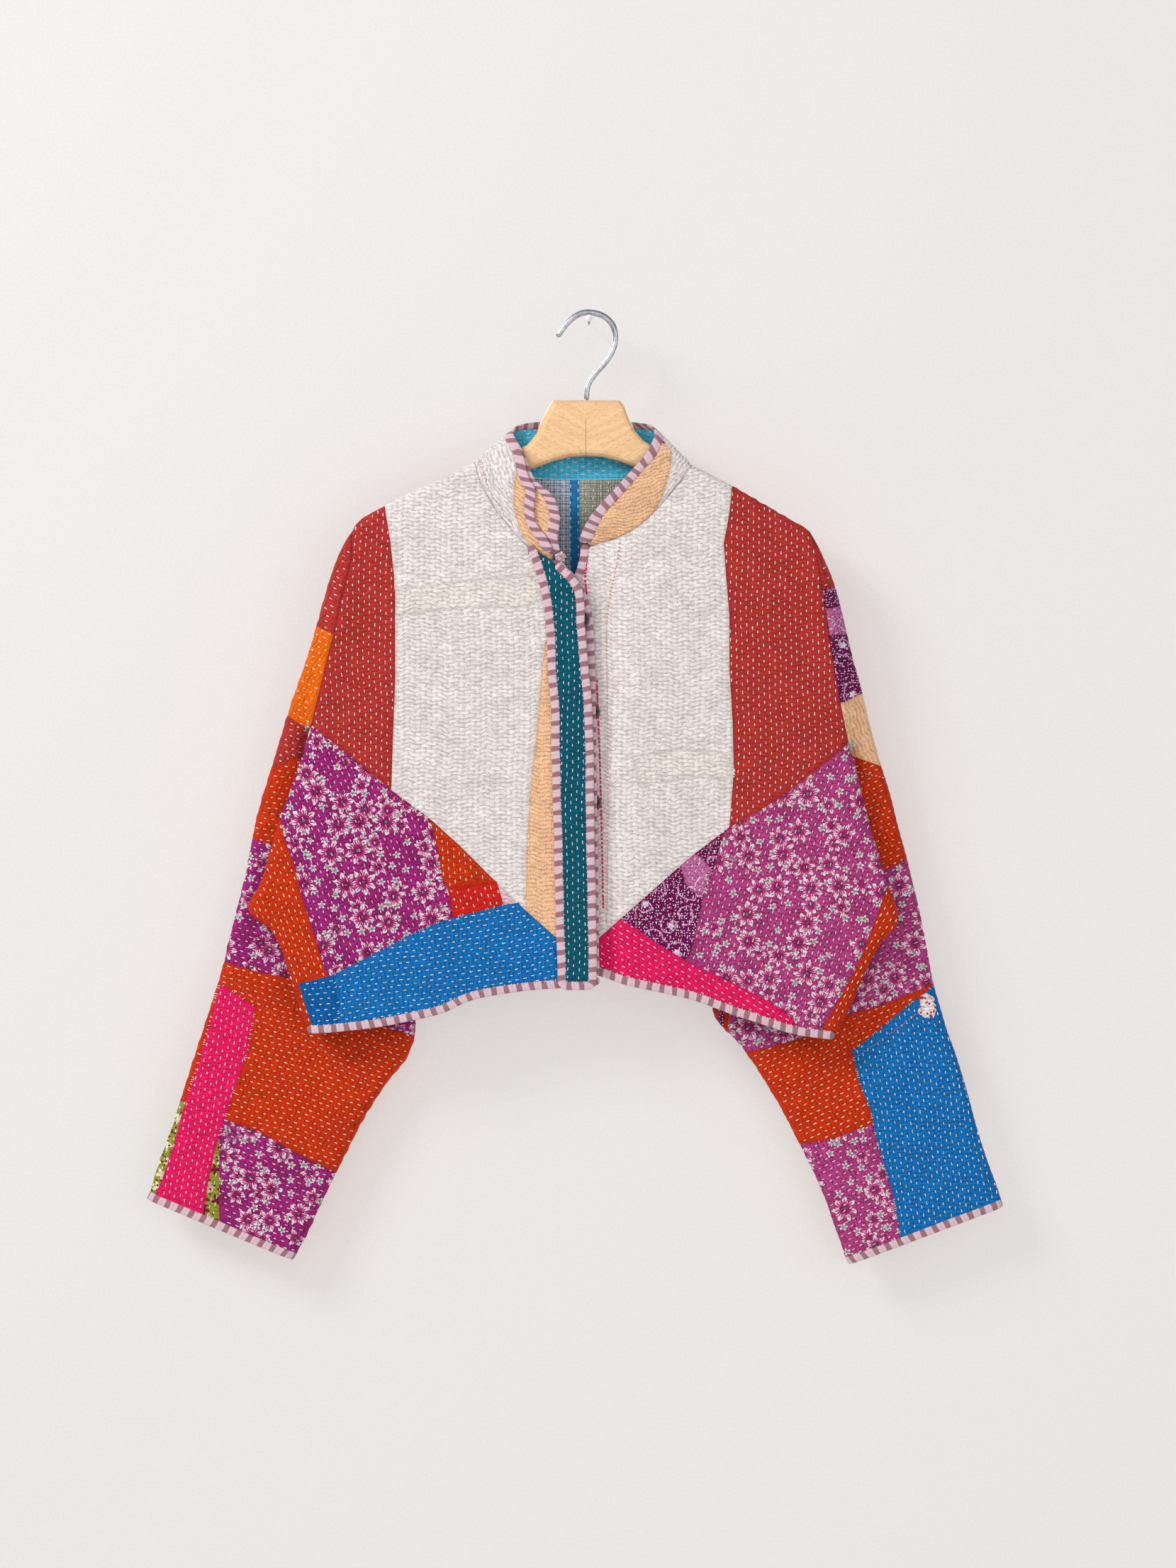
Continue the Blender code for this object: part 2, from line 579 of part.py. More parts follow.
def pattern(outline, step, rolled=()):
    """Triangles of a flat pattern piece: its outline, an even lattice inside, and rows at rolled edges."""
    ring = [Vector(point) for point in outline]
    count = len(ring)
    edges = [(i, (i + 1) % count) for i in range(count)]
    low = np.min(outline, axis=0)
    high = np.max(outline, axis=0)
    inside = []
    closed = np.vstack((outline, outline[:1]))
    row_height = step * math.sqrt(3) / 2
    for row in range(int((high[1] - low[1]) / row_height) + 1):
        z = low[1] + (row + 0.5) * row_height
        for column in range(int((high[0] - low[0]) / step) + 2):
            inside.append((low[0] + (column + 0.5 * (row % 2)) * step, z))
    inside = np.array(inside)
    distance, _, _ = nearest_on(closed, inside[:, 0], inside[:, 1], 1.0)
    points = [Vector(point) for point, away in zip(inside, distance) if away > LATTICE_MARGIN * step]
    for path, sign in rolled:
        for share in FOLD_ROWS:
            row = shifted(path, sign * share * FOLD_RADIUS)
            least = ROLLED_ROW_MARGIN * share * FOLD_RADIUS
            distance, _, _ = nearest_on(closed, row[:, 0], row[:, 1], 1.0)
            points += [Vector(point) for point, away in zip(row, distance) if away > least]
    verts, _, faces, _, _, _ = geometry.delaunay_2d_cdt(ring + points, edges, [], 1, MERGE_DISTANCE)
    return np.array([tuple(vert) for vert in verts]), [tuple(face) for face in faces]


def panel(name, outline, place, rolled=(), step=CLOTH_STEP):
    """A cloth panel: a flat pattern piece placed on its surface, with a real wall."""
    flat, faces = pattern(outline, step, rolled)
    outer = place(flat[:, 0], flat[:, 1], 0.0)
    inner = place(flat[:, 0], flat[:, 1], WALL)
    return wall_object(name, outer, inner, faces, quilted_cloth(name))


def joined(*paths):
    """One closed outline from paths laid end to end, with each shared end kept once."""
    points = []
    for path in paths:
        points += [tuple(point) for point in path[:-1]]
    return np.array(points)


def gap_outline(outline):
    """The outline drawn in by half a seam gap, so that neighbours stay a whole gap apart."""
    closed = np.vstack((outline[-1:], outline, outline[:1]))
    forward = closed[2:] - closed[1:-1]
    backward = closed[1:-1] - closed[:-2]
    forward /= np.linalg.norm(forward, axis=1)[:, None]
    backward /= np.linalg.norm(backward, axis=1)[:, None]
    area = np.sum(outline[:, 0] * np.roll(outline[:, 1], -1) - np.roll(outline[:, 0], -1) * outline[:, 1])
    turn = math.copysign(1.0, area)
    normal = np.column_stack((-(forward + backward)[:, 1], (forward + backward)[:, 0])) * turn
    normal /= np.linalg.norm(normal, axis=1)[:, None]
    across = np.column_stack((-forward[:, 1], forward[:, 0]))
    cosine = np.clip(np.abs(np.sum(normal * across, axis=1)), MITRE_LIMIT, 1.0)
    return outline + normal * (SEAM_GAP / 2 / cosine)[:, None]


def loft_object(name, loops, mat):
    """A closed body through a row of section loops, capped at both ends."""
    bm = bmesh.new()
    rings = [[bm.verts.new(Vector(point) * MM) for point in loop] for loop in loops]
    for ring_a, ring_b in zip(rings[:-1], rings[1:]):
        for i in range(len(ring_a)):
            j = (i + 1) % len(ring_a)
            bm.faces.new((ring_a[i], ring_a[j], ring_b[j], ring_b[i]))
    bm.faces.new(reversed(rings[0]))
    bm.faces.new(rings[-1])
    return new_object(name, outward_mesh(name, bm), mat)


def tape(name, path, place, low_inset=WALL + BINDING_PROUD):
    """A binding tape of rounded section along a path on a cloth surface."""
    width = BINDING_WIDTH - SEAM_GAP
    loops = []
    for point, normal in zip(path, side_normals(path)):
        loop = []
        for share, height in TAPE_SECTION:
            at = point + normal * share * width
            loop.append(place(at[0], at[1], low_inset - (low_inset + BINDING_PROUD) * height))
        loops.append(loop)
    return loft_object(name, loops, striped_cloth(name))


def body_face(face):
    """The placing function of one face of the body."""
    def place(x, z, inset):
        return body_point(face, x, z, inset)
    return place


# Cloth pieces

def front_edge_line(side):
    """The cloth edge inside the front-edge binding, from the neck down to the hem binding."""
    sign = -1.0 if side == "right" else 1.0
    return shifted(smooth_path(FRONT_EDGE[side], EDGE_STEP), sign * (BINDING_WIDTH + SEAM_GAP / 2))


def cut_below(path, z):
    """The part of a downward path above a height, ending on it."""
    kept = [point for point in path if point[1] > z + CLOSE_POINTS]
    return np.array(kept + [(np.interp(-z, -path[:, 1], path[:, 0]), z)])


def front_panels(side):
    """The upper and the lower panel of one front, which meet at the diagonal seam."""
    face = "front_" + side
    sign = 1.0 if side == "right" else -1.0
    place = body_face(face)
    shoulder = smooth_path(SHOULDER[side], EDGE_STEP)
    armhole = edge_path(ARMHOLE[side], EDGE_STEP, start=True, end=True)
    side_fold = smooth_path(SIDE[side], SIDE_STEP)
    seam = edge_path(DIAGONAL_SEAM[side], EDGE_STEP, start=True)
    neck = edge_path(FRONT_NECK[side], EDGE_STEP, start=True)
    edge = front_edge_line(side)
    neck = [point for point in neck if (edge[0][0] - point[0]) * sign > CLOSE_POINTS]
    neck = np.array(neck + [edge[0]])
    seam_end = seam[-1]
    edge_upper = cut_below(edge, seam_end[1])
    edge_upper[-1] = seam_end
    upper = joined(shoulder, armhole, seam, edge_upper[::-1], neck[::-1])
    panel(face + "_upper", gap_outline(upper), place, ((shoulder, sign),))

    hem = shifted(edge_path(HEM[side], EDGE_STEP, start=True), sign * (BINDING_WIDTH + SEAM_GAP))
    corner_z = np.interp(seam_end[0] * sign, hem[:, 0] * sign, hem[:, 1])
    corner = np.array((seam_end[0], corner_z))
    hem = np.array([point for point in hem if (corner[0] - point[0]) * sign > CLOSE_POINTS] + [corner])
    side_low = cut_below(side_fold, hem[0][1])
    hem[0] = side_low[-1]
    lower = joined(side_low, hem, np.array((corner, seam_end)), seam[::-1])
    panel(face + "_lower", gap_outline(lower), place, ((side_low, sign),))


def back_panel():
    """The whole back in one piece, from shoulder to hem."""
    hem = shifted(edge_path(BACK_HEM, BACK_HEM_STEP, start=True, end=True), BINDING_WIDTH + SEAM_GAP)
    paths = {}
    for side in ("right", "left"):
        end = hem[0] if side == "right" else hem[-1]
        side_low = cut_below(smooth_path(SIDE[side], SIDE_STEP), end[1])
        armhole = edge_path(ARMHOLE[side], EDGE_STEP, start=True, end=True)
        paths[side] = (smooth_path(SHOULDER[side], EDGE_STEP), armhole, side_low)
    hem[0] = paths["right"][2][-1]
    hem[-1] = paths["left"][2][-1]
    neck = edge_path(BACK_NECK, EDGE_STEP, start=True, end=True)
    outline = joined(
        *paths["right"], hem,
        paths["left"][2][::-1], paths["left"][1][::-1], paths["left"][0][::-1], neck[::-1],
    )
    rolled = [(paths[side][k], sign) for side, sign in (("right", 1.0), ("left", -1.0)) for k in (0, 2)]
    panel("back", gap_outline(outline), body_face("back"), rolled, BACK_CLOTH_STEP)


def around_values(side, ring):
    """Places round a sleeve ring: close together at the two folds and even between them."""
    values = ring_values(side, np.array(float(ring)))
    width = math.hypot(values[3] - values[0], values[4] - values[1])
    cloth = width - 2 * SLEEVE_FOLD_RADIUS + math.pi * SLEEVE_FOLD_RADIUS
    quarter = math.pi * SLEEVE_FOLD_RADIUS / 2 / cloth
    near = [quarter * share for share in RING_COLUMNS]
    flat = list(np.linspace(quarter, 1 - quarter, RING_FLAT_COLUMNS + 1))[1:-1]
    half = near + flat + [1 - value for value in reversed(near)]
    return half + [-value for value in reversed(half[1:-1])]


def sleeve_tube(name, side, rings, rise, mat):
    """A stretch of sleeve as a flattened tube with a wall, open at both ends."""
    outer = []
    inner = []
    for ring in rings:
        around = np.array(around_values(side, ring))
        outer += list(sleeve_point(side, ring, around, -rise))
        inner += list(sleeve_point(side, ring, around, WALL + rise))
    columns = len(around)
    faces = []
    for row in range(len(rings) - 1):
        for column in range(columns):
            after = (column + 1) % columns
            a, b = row * columns + column, row * columns + after
            faces.append((a, b, b + columns, a + columns))
    wall_object(name, outer, inner, faces, mat)


def sleeve_section(name, side, first, last):
    """One cloth length of a sleeve, a seam gap short of its neighbours."""
    start = first + (RING_GAP if first else 0.0)
    rings = np.linspace(start, last - RING_GAP, last - first + 1)
    sleeve_tube(name, side, rings, 0.0, quilted_cloth(name))


def cuff_binding(name, side):
    """The bound edge of a cuff: a ring of tape a little thicker than the sleeve wall."""
    rings = np.linspace(SLEEVE_CUFF_RING + CUFF_RING_GAP, SLEEVE_CUFF_RING + 1, 3)
    sleeve_tube(name, side, rings, BINDING_PROUD, striped_cloth(name))


def collar_piece():
    """The stand collar, from the seam up to its binding, as an open surface made solid."""
    seam, edge = collar_curves()
    bm = bmesh.new()
    rows = []
    for start, end in zip(seam, edge):
        width = np.linalg.norm(end - start)
        top = max(COLLAR_LEAST_TOP, 1.0 - (BINDING_WIDTH + 3 * SEAM_GAP) / width)
        low = COLLAR_SEAT / width
        row = []
        for share in np.linspace(low, top, COLLAR_ROWS):
            row.append(bm.verts.new(Vector(collar_at(start, end, share)) * MM))
        rows.append(row)
    for row_a, row_b in zip(rows[:-1], rows[1:]):
        for i in range(COLLAR_ROWS - 1):
            bm.faces.new((row_a[i], row_a[i + 1], row_b[i + 1], row_b[i]))
    mesh = bpy.data.meshes.new("collar")
    bm.to_mesh(mesh)
    bm.free()
    obj = new_object("collar", mesh, quilted_cloth("collar"))
    solid = obj.modifiers.new("wall", "SOLIDIFY")
    solid.thickness = WALL * MM
    solid.offset = -1.0
    solid.use_even_offset = True
    mesh.shade_smooth()
    return obj


def collar_at(start, end, share):
    """A point between the collar's seam and edge, bowed away from the neck."""
    point = start + (end - start) * share
    away = np.array((point[0] - COLLAR_CENTRE[0], point[1] - COLLAR_CENTRE[1], 0.0))
    return point + away / np.linalg.norm(away) * COLLAR_BOW * math.sin(math.pi * share)


def collar_frame(start, end, along):
    """The collar's height direction and outward normal at one station."""
    rise = (end - start) / np.linalg.norm(end - start)
    normal = np.cross(rise, along)
    return rise, normal / np.linalg.norm(normal)


def collar_binding(name):
    """The bound free edge of the collar, folded over the cloth."""
    seam, edge = collar_curves()
    tangents = np.gradient(edge, axis=0)
    loops = []
    for start, end, along in zip(seam, edge, tangents):
        rise, normal = collar_frame(start, end, along)
        centre = end - rise * BINDING_WIDTH / 2
        low, high = -WALL - BINDING_PROUD, BINDING_PROUD
        loops.append([
            centre + rise * share * (BINDING_WIDTH - SEAM_GAP) + normal * (low + (high - low) * height)
            for share, height in TAPE_SECTION
        ])
    loft_object(name, loops, striped_cloth(name))


def collar_tape(name):
    """The second binding, laid on the outside of the collar from its side to the front end."""
    stations = np.array([[*body_point(face, x, z), *edge] for face, x, z, *edge in COLLAR_STATIONS])
    numbers = np.arange(len(stations))
    path = smooth_path(COLLAR_TAPE, STATION_STEP)
    centres = []
    frames = []
    for station, share in path:
        here = np.array([np.interp(station, numbers, column) for column in stations.T])
        ahead = np.array([np.interp(station + STATION_AHEAD, numbers, column) for column in stations.T])
        rise, normal = collar_frame(here[:3], here[3:], ahead[3:] - here[3:])
        centres.append(collar_at(here[:3], here[3:], share))
        frames.append(normal)
    centres = smooth_path(centres, COLLAR_TAPE_STEP)
    frames = [frames[int(round(i))] for i in np.linspace(0, len(frames) - 1, len(centres))]
    tangents = np.gradient(centres, axis=0)
    loops = []
    for centre, normal, along in zip(centres, frames, tangents):
        across = np.cross(normal, along)
        across /= np.linalg.norm(across)
        loops.append([
            centre + across * share * BINDING_WIDTH
            + normal * (COLLAR_TAPE_LIFT + COLLAR_TAPE_THICKNESS * height)
            for share, height in TAPE_SECTION
        ])
    loft_object(name, loops, striped_cloth(name))


def edge_bindings(side):
    """The bound hem and the bound front edge of one front."""
    sign = 1.0 if side == "right" else -1.0
    place = body_face("front_" + side)
    hem = shifted(smooth_path(HEM[side], EDGE_STEP), sign * BINDING_WIDTH / 2)
    tape("binding_hem_" + side, hem, place)
    edge = shifted(smooth_path(FRONT_EDGE[side], EDGE_STEP), -sign * BINDING_WIDTH / 2)
    top = HEM[side][-1][1] + BINDING_WIDTH + SEAM_GAP
    tape("binding_front_" + side, cut_below(edge, top), place)


def back_hem_binding(name):
    hem = shifted(smooth_path(BACK_HEM, BACK_HEM_STEP), BINDING_WIDTH / 2)
    tape(name, hem, body_face("back"))


def placket_binding(name):
    """The tape that binds both sides and the rounded lower end of the placket strip."""
    half = BINDING_WIDTH / 2
    bottom = PLACKET_BOTTOM + half
    sewn = shifted(smooth_path(PLACKET_OUTER, EDGE_STEP), half)
    free = shifted(smooth_path(FRONT_EDGE["right"], EDGE_STEP), -PLACKET_EDGE_SETBACK - half)
    left = cut_below(sewn, bottom + PLACKET_CORNER)
    right = cut_below(free, bottom + PLACKET_CORNER)
    centre_left = left[-1] + (PLACKET_CORNER, 0.0)
    centre_right = right[-1] - (PLACKET_CORNER, 0.0)
    turns = np.linspace(0.0, math.pi / 2, 4)
    low_left = [centre_left - PLACKET_CORNER * np.array((math.cos(t), math.sin(t))) for t in turns[1:]]
    low_right = [centre_right + PLACKET_CORNER * np.array((math.sin(t), -math.cos(t))) for t in turns]
    path = np.array([*left, *low_left, *low_right, *right[-2::-1]])
    tape(name, path, placket_point, WALL + PLACKET_TAPE_UNDER)


def placket_strip(name):
    """The quilted placket strip inside its binding, from the neck seam down."""
    inset = BINDING_WIDTH + 2 * SEAM_GAP
    bottom = PLACKET_BOTTOM + inset
    sewn = shifted(smooth_path(PLACKET_OUTER, EDGE_STEP), inset)
    free = shifted(smooth_path(FRONT_EDGE["right"], EDGE_STEP), -PLACKET_EDGE_SETBACK - inset)
    left = cut_below(sewn, bottom)
    right = cut_below(free, bottom)
    neck = smooth_path(FRONT_NECK["right"], EDGE_STEP)
    neck = [point for point in neck if left[0][0] + CLOSE_POINTS < point[0] < right[0][0] - CLOSE_POINTS]
    right[0] = right[1] + PLACKET_TOP_SHARE * (right[0] - right[1])
    panel(name, gap_outline(np.array([*left, *right[::-1], *neck[::-1]])), placket_point)


def button(name, x, z, face):
    """A round flat button with a rounded edge, lying on the layer it is sewn to."""
    turns = np.linspace(0.0, 2 * math.pi, BUTTON_SEAT_POINTS)
    under = body_point(face, x + BUTTON_SEAT_REACH * np.cos(turns), z + BUTTON_SEAT_REACH * np.sin(turns))
    y = np.min(under[:, 1]) - BINDING_PROUD - SEAM_GAP - BUTTON_THICKNESS / 2
    bpy.ops.mesh.primitive_cylinder_add(
        vertices=BUTTON_SIDES, radius=BUTTON_DIAMETER / 2 * MM, depth=BUTTON_THICKNESS * MM,
        location=Vector((x, y, z)) * MM, rotation=(math.pi / 2, 0, 0),
    )
    obj = bpy.context.object
    obj.name = name
    obj.data.materials.append(dark_horn(name))
    edge = obj.modifiers.new("rounding", "BEVEL")
    edge.width = BUTTON_ROUNDING * MM
    edge.segments = 1
    obj.data.shade_smooth()
    obj.data.set_sharp_from_angle(angle=SHARP_ANGLE)
    move_to_part(obj)


def move_to_part(obj):
    for collection in list(obj.users_collection):
        collection.objects.unlink(obj)
    bpy.data.collections[PART_NAME].objects.link(obj)


# Hanger

def hanger_outline():
    """The hanger's outline, seen from the front, right side first."""
    halves = {}
    for side, sign in (("right", 1.0), ("left", -1.0)):
        shoulder = shifted(smooth_path(SHOULDER[side][:-1], EDGE_STEP), sign * HANGER_SEAT)
        halves[side] = list(HANGER_NECK[side]) + list(shoulder[:-1]) + list(HANGER_UNDERSIDE[side])
    return halves["right"] + [(HANGER_JOINT_X, HANGER_JOINT_Z)] + halves["left"][::-1]


def hanger_board():
    """The flat board of the whole hanger, as a mesh lying in the x-y plane."""
    curve = bpy.data.curves.new("hanger_outline", "CURVE")
    curve.dimensions = "2D"
    curve.fill_mode = "BOTH"
    curve.extrude = HANGER_THICKNESS / 2 * MM
    outline = hanger_outline()
    spline = curve.splines.new("POLY")
    spline.points.add(len(outline) - 1)
    for point, (x, z) in zip(spline.points, outline):
        point.co = (x * MM, z * MM, 0.0, 1.0)
    spline.use_cyclic_u = True
    board = bpy.data.objects.new("hanger_board", curve)
    bpy.context.scene.collection.objects.link(board)
    graph = bpy.context.evaluated_depsgraph_get()
    flat = bpy.data.meshes.new_from_object(board.evaluated_get(graph))
    bpy.data.objects.remove(board, do_unlink=True)
    return flat


def rounded_board(flat):
    """The board with its long edges rounded, turned upright."""
    weld = MERGE_DISTANCE * MM
    bm = bmesh.new()
    bm.from_mesh(flat)
    bmesh.ops.remove_doubles(bm, verts=bm.verts, dist=weld)
    bmesh.ops.dissolve_limit(bm, angle_limit=math.radians(1), verts=bm.verts, edges=bm.edges)
    corners = [edge for edge in bm.edges if edge.calc_face_angle() > HANGER_RIM_ANGLE]
    rim = [edge for edge in corners if abs(edge.verts[0].co.z - edge.verts[1].co.z) < weld]
    bmesh.ops.bevel(bm, geom=rim, offset=HANGER_ROUNDING * MM, segments=3, profile=0.5, affect="EDGES")
    for vert in bm.verts:
        vert.co = Vector((vert.co.x, -vert.co.z, vert.co.y))
    return bm


def hanger_half(name, board, sign):
    """One half of the hanger, cut off just beside the middle joint and closed there."""
    half = board.copy()
    cut_x = HANGER_JOINT_X + sign * SEAM_GAP / 2
    cut = bmesh.ops.bisect_plane(
        half, geom=half.verts[:] + half.edges[:] + half.faces[:], dist=MERGE_DISTANCE * MM,
        plane_co=(cut_x * MM, 0, 0), plane_no=(sign, 0, 0), clear_inner=True,
    )
    loop = [item for item in cut["geom_cut"] if isinstance(item, bmesh.types.BMEdge)]
    bmesh.ops.contextual_create(half, geom=loop)
    bmesh.ops.recalc_face_normals(half, faces=half.faces)
    new_object(name, outward_mesh(name, half), beech_wood(name))


def hanger():
    """The hanger sawn from one board, its edges rounded, then split into its two halves."""
    flat = hanger_board()
    board = rounded_board(flat)
    hanger_half("hanger_right", board, -1.0)
    hanger_half("hanger_left", board, 1.0)
    board.free()
    bpy.data.meshes.remove(flat)


def hook(name):
    """The wire hook, a round wire along a smooth curve."""
    curve = bpy.data.curves.new(name, "CURVE")
    curve.dimensions = "3D"
    curve.bevel_depth = WIRE_DIAMETER / 2 * MM
    curve.bevel_resolution = 2
    curve.use_fill_caps = True
    path = smooth_path(HOOK_PATH, WIRE_STEP)
    spline = curve.splines.new("POLY")
    spline.points.add(len(path) - 1)
    for point, (x, z) in zip(spline.points, path):
        point.co = (x * MM, 0.0, z * MM, 1.0)
    new_object(name, curve, satin_steel(name))


def main():
    for obj in list(bpy.data.objects):
        bpy.data.objects.remove(obj, do_unlink=True)
    collection = bpy.data.collections.new(PART_NAME)
    bpy.context.scene.collection.children.link(collection)
    for side in ("right", "left"):
        front_panels(side)
        edge_bindings(side)
        sleeve_section("sleeve_%s_upper" % side, side, 0, SLEEVE_SEAM_RING)
        sleeve_section("sleeve_%s_lower" % side, side, SLEEVE_SEAM_RING, SLEEVE_CUFF_RING)
        cuff_binding("binding_cuff_" + side, side)
    back_panel()
    back_hem_binding("binding_hem_back")
    collar_piece()
    collar_binding("binding_collar")
    collar_tape("binding_collar_fold")
    placket_strip("placket")
    placket_binding("binding_placket")
    for number, (x, z, face) in enumerate(BUTTONS, start=1):
        button("button_%d" % number, x, z, face)
    hanger()
    hook("hook")


main()
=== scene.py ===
"""The finished look of a quilted kantha jacket on a wooden hanger with a wire hook.

Each cloth piece is a thin shell on the form of its solid: patches of different cotton with
their seams pressed in, rows of running stitch in raised thread, and puffs between the stitches.

Sizes in the tables are millimetres, seen from the front: x runs right from the hook,
z runs up from the seat of the hook, and y runs back from the middle of the hanger.
"Right" and "left" in names are the wearer's, so the right side has negative x.
"""
import math

import bmesh
import bpy
import numpy as np
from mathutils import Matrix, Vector, geometry, kdtree

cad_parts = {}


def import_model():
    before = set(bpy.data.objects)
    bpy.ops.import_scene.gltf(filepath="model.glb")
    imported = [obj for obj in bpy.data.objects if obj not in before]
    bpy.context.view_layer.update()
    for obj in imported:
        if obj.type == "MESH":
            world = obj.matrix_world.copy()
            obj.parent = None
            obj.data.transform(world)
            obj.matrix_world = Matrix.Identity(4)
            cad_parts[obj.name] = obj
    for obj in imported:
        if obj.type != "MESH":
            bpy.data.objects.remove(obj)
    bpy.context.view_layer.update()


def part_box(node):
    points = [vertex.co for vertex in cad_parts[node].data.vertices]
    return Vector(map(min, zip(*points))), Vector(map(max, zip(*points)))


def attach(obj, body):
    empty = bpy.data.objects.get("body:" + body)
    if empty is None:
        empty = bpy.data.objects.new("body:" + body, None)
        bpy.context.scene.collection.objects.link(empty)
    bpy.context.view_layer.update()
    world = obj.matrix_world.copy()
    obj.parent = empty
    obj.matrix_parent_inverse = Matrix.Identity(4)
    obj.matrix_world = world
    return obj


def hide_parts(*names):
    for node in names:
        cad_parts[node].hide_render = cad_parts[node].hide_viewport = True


MM = 0.001
INWARD = {"right": 1.0, "left": -1.0}

# The form of the cloth: the same sizes and tables as its solids
WALL = 2.0
SEAM_GAP = 0.3
BINDING_WIDTH = 8.0
BINDING_PROUD = 0.5
FOLD_RADIUS = 9.0
FOLDED_PATH_STEP = 2.0
CURVE_SAMPLES = 10
SHOULDER_DEPTH = 10.0
BACK_SIDE_DEPTH = 8.0
FRONT_CROWN = 6.0
BACK_CROWN = 2.0
CROWN_REACH = 60.0
FORWARD_LEAN = 3.5
LEAN_START_Z = -250.0
LEAN_RUN = 350.0
SIDE_THIN_Z = -330.0
SIDE_THIN_RUN = 60.0
SOFT_FOLD_END = 0.35
TUCK_DEPTH = 6.2
TUCK_START_X = 40.0
TUCK_FULL_X = 14.0
SHOULDER = {
    "right": (
        (-105, -135), (-133, -148), (-161, -161), (-186, -174), (-205, -184), (-213, -191), (-218, -199),
    ),
    "left": ((94, -137), (129, -155), (162, -174), (188, -189), (197, -194), (202, -198)),
}
ARMHOLE = {
    "right": ((-218, -199), (-217, -222), (-224, -252), (-233, -292), (-243, -332), (-254, -376)),
    "left": ((202, -198), (208, -222), (213, -252), (218, -285), (224, -324), (229, -354), (237, -393)),
}
SIDE = {
    "right": (
        (-254, -376), (-265, -410), (-276, -441), (-285, -465), (-300, -517), (-312, -540), (-307, -552),
        (-293, -562), (-284, -577), (-276, -600), (-268, -626), (-258, -658),
    ),
    "left": (
        (237, -393), (244, -411), (251, -443), (261, -480), (272, -517), (283, -548), (281, -560),
        (269, -574), (259, -590), (249, -611), (239, -635), (224, -664),
    ),
}
DIAGONAL_SEAM = {
    "right": ((-254, -376), (-213, -408), (-181, -435), (-148, -459), (-119, -485), (-89, -515),
        (-60, -543), (-31, -569), (2, -598)),
    "left": ((237, -393), (187, -433), (162, -450), (127, -470), (94, -495), (62, -523), (27, -554),
        (-10, -588)),
}
HEM = {
    "right": ((-258, -658), (-226, -656), (-188, -651), (-138, -640), (-109, -628), (-76, -621),
        (-29, -616), (10, -613)),
    "left": ((224, -664), (187, -658), (136, -642), (87, -625), (37, -614), (12, -606), (-18, -600)),
}
BACK_HEM = ((-258, -651), (-188, -642), (-110, -622), (-20, -606), (60, -612), (136, -634), (224, -657))
FRONT_NECK = {
    "right": ((-105, -135), (-98, -157), (-83, -182), (-60, -209), (-44, -220), (-30, -228)),
    "left": ((94, -137), (84, -153), (58, -183), (36, -200), (8, -210), (-8, -214)),
}
BACK_NECK = ((-105, -135), (-84, -144), (-45, -149), (-5, -150), (40, -149), (74, -145), (94, -137))
FRONT_EDGE = {
    "right": ((-26, -226), (-12, -240), (-3, -255), (3, -276), (5, -300), (6, -350), (8, -491), (10, -613)),
    "left": ((-8, -214), (-10, -228), (-15, -244), (-18, -264), (-18, -350), (-18, -491), (-18, -600)),
}
BODY_FOLDS = {
    "front": (
        (-213, -208, -236, -352, 9, 2.2), (-192, -196, -206, -330, 16, -1.6),
        (-258, -398, -232, -640, 15, 1.8), (-250, -392, -176, -622, 20, -1.6),
        (-292, -520, -262, -640, 13, 2.0), (-120, -180, -70, -300, 26, 1.3),
        (-140, -420, -60, -590, 24, -1.2), (203, -206, 220, -350, 9, 2.2),
        (184, -200, 196, -330, 16, -1.5), (238, -410, 214, -645, 15, 1.8),
        (228, -405, 150, -628, 20, -1.6), (266, -520, 238, -640, 13, 2.0),
        (70, -200, 60, -330, 24, 1.2), (38, -300, 52, -540, 15, 1.4), (120, -400, 70, -590, 24, -1.2),
    ),
    "back": (
        (-208, -206, -228, -352, 10, 2.0), (-120, -170, -150, -420, 24, -1.8),
        (-60, -200, -84, -590, 22, 1.8), (-10, -170, -14, -590, 20, -1.6), (52, -190, 70, -580, 22, 1.6),
        (120, -180, 148, -430, 24, -1.8), (196, -206, 214, -352, 10, 2.0),
        (-230, -430, -190, -640, 20, -1.2), (210, -440, 170, -640, 20, -1.2),
    ),
}
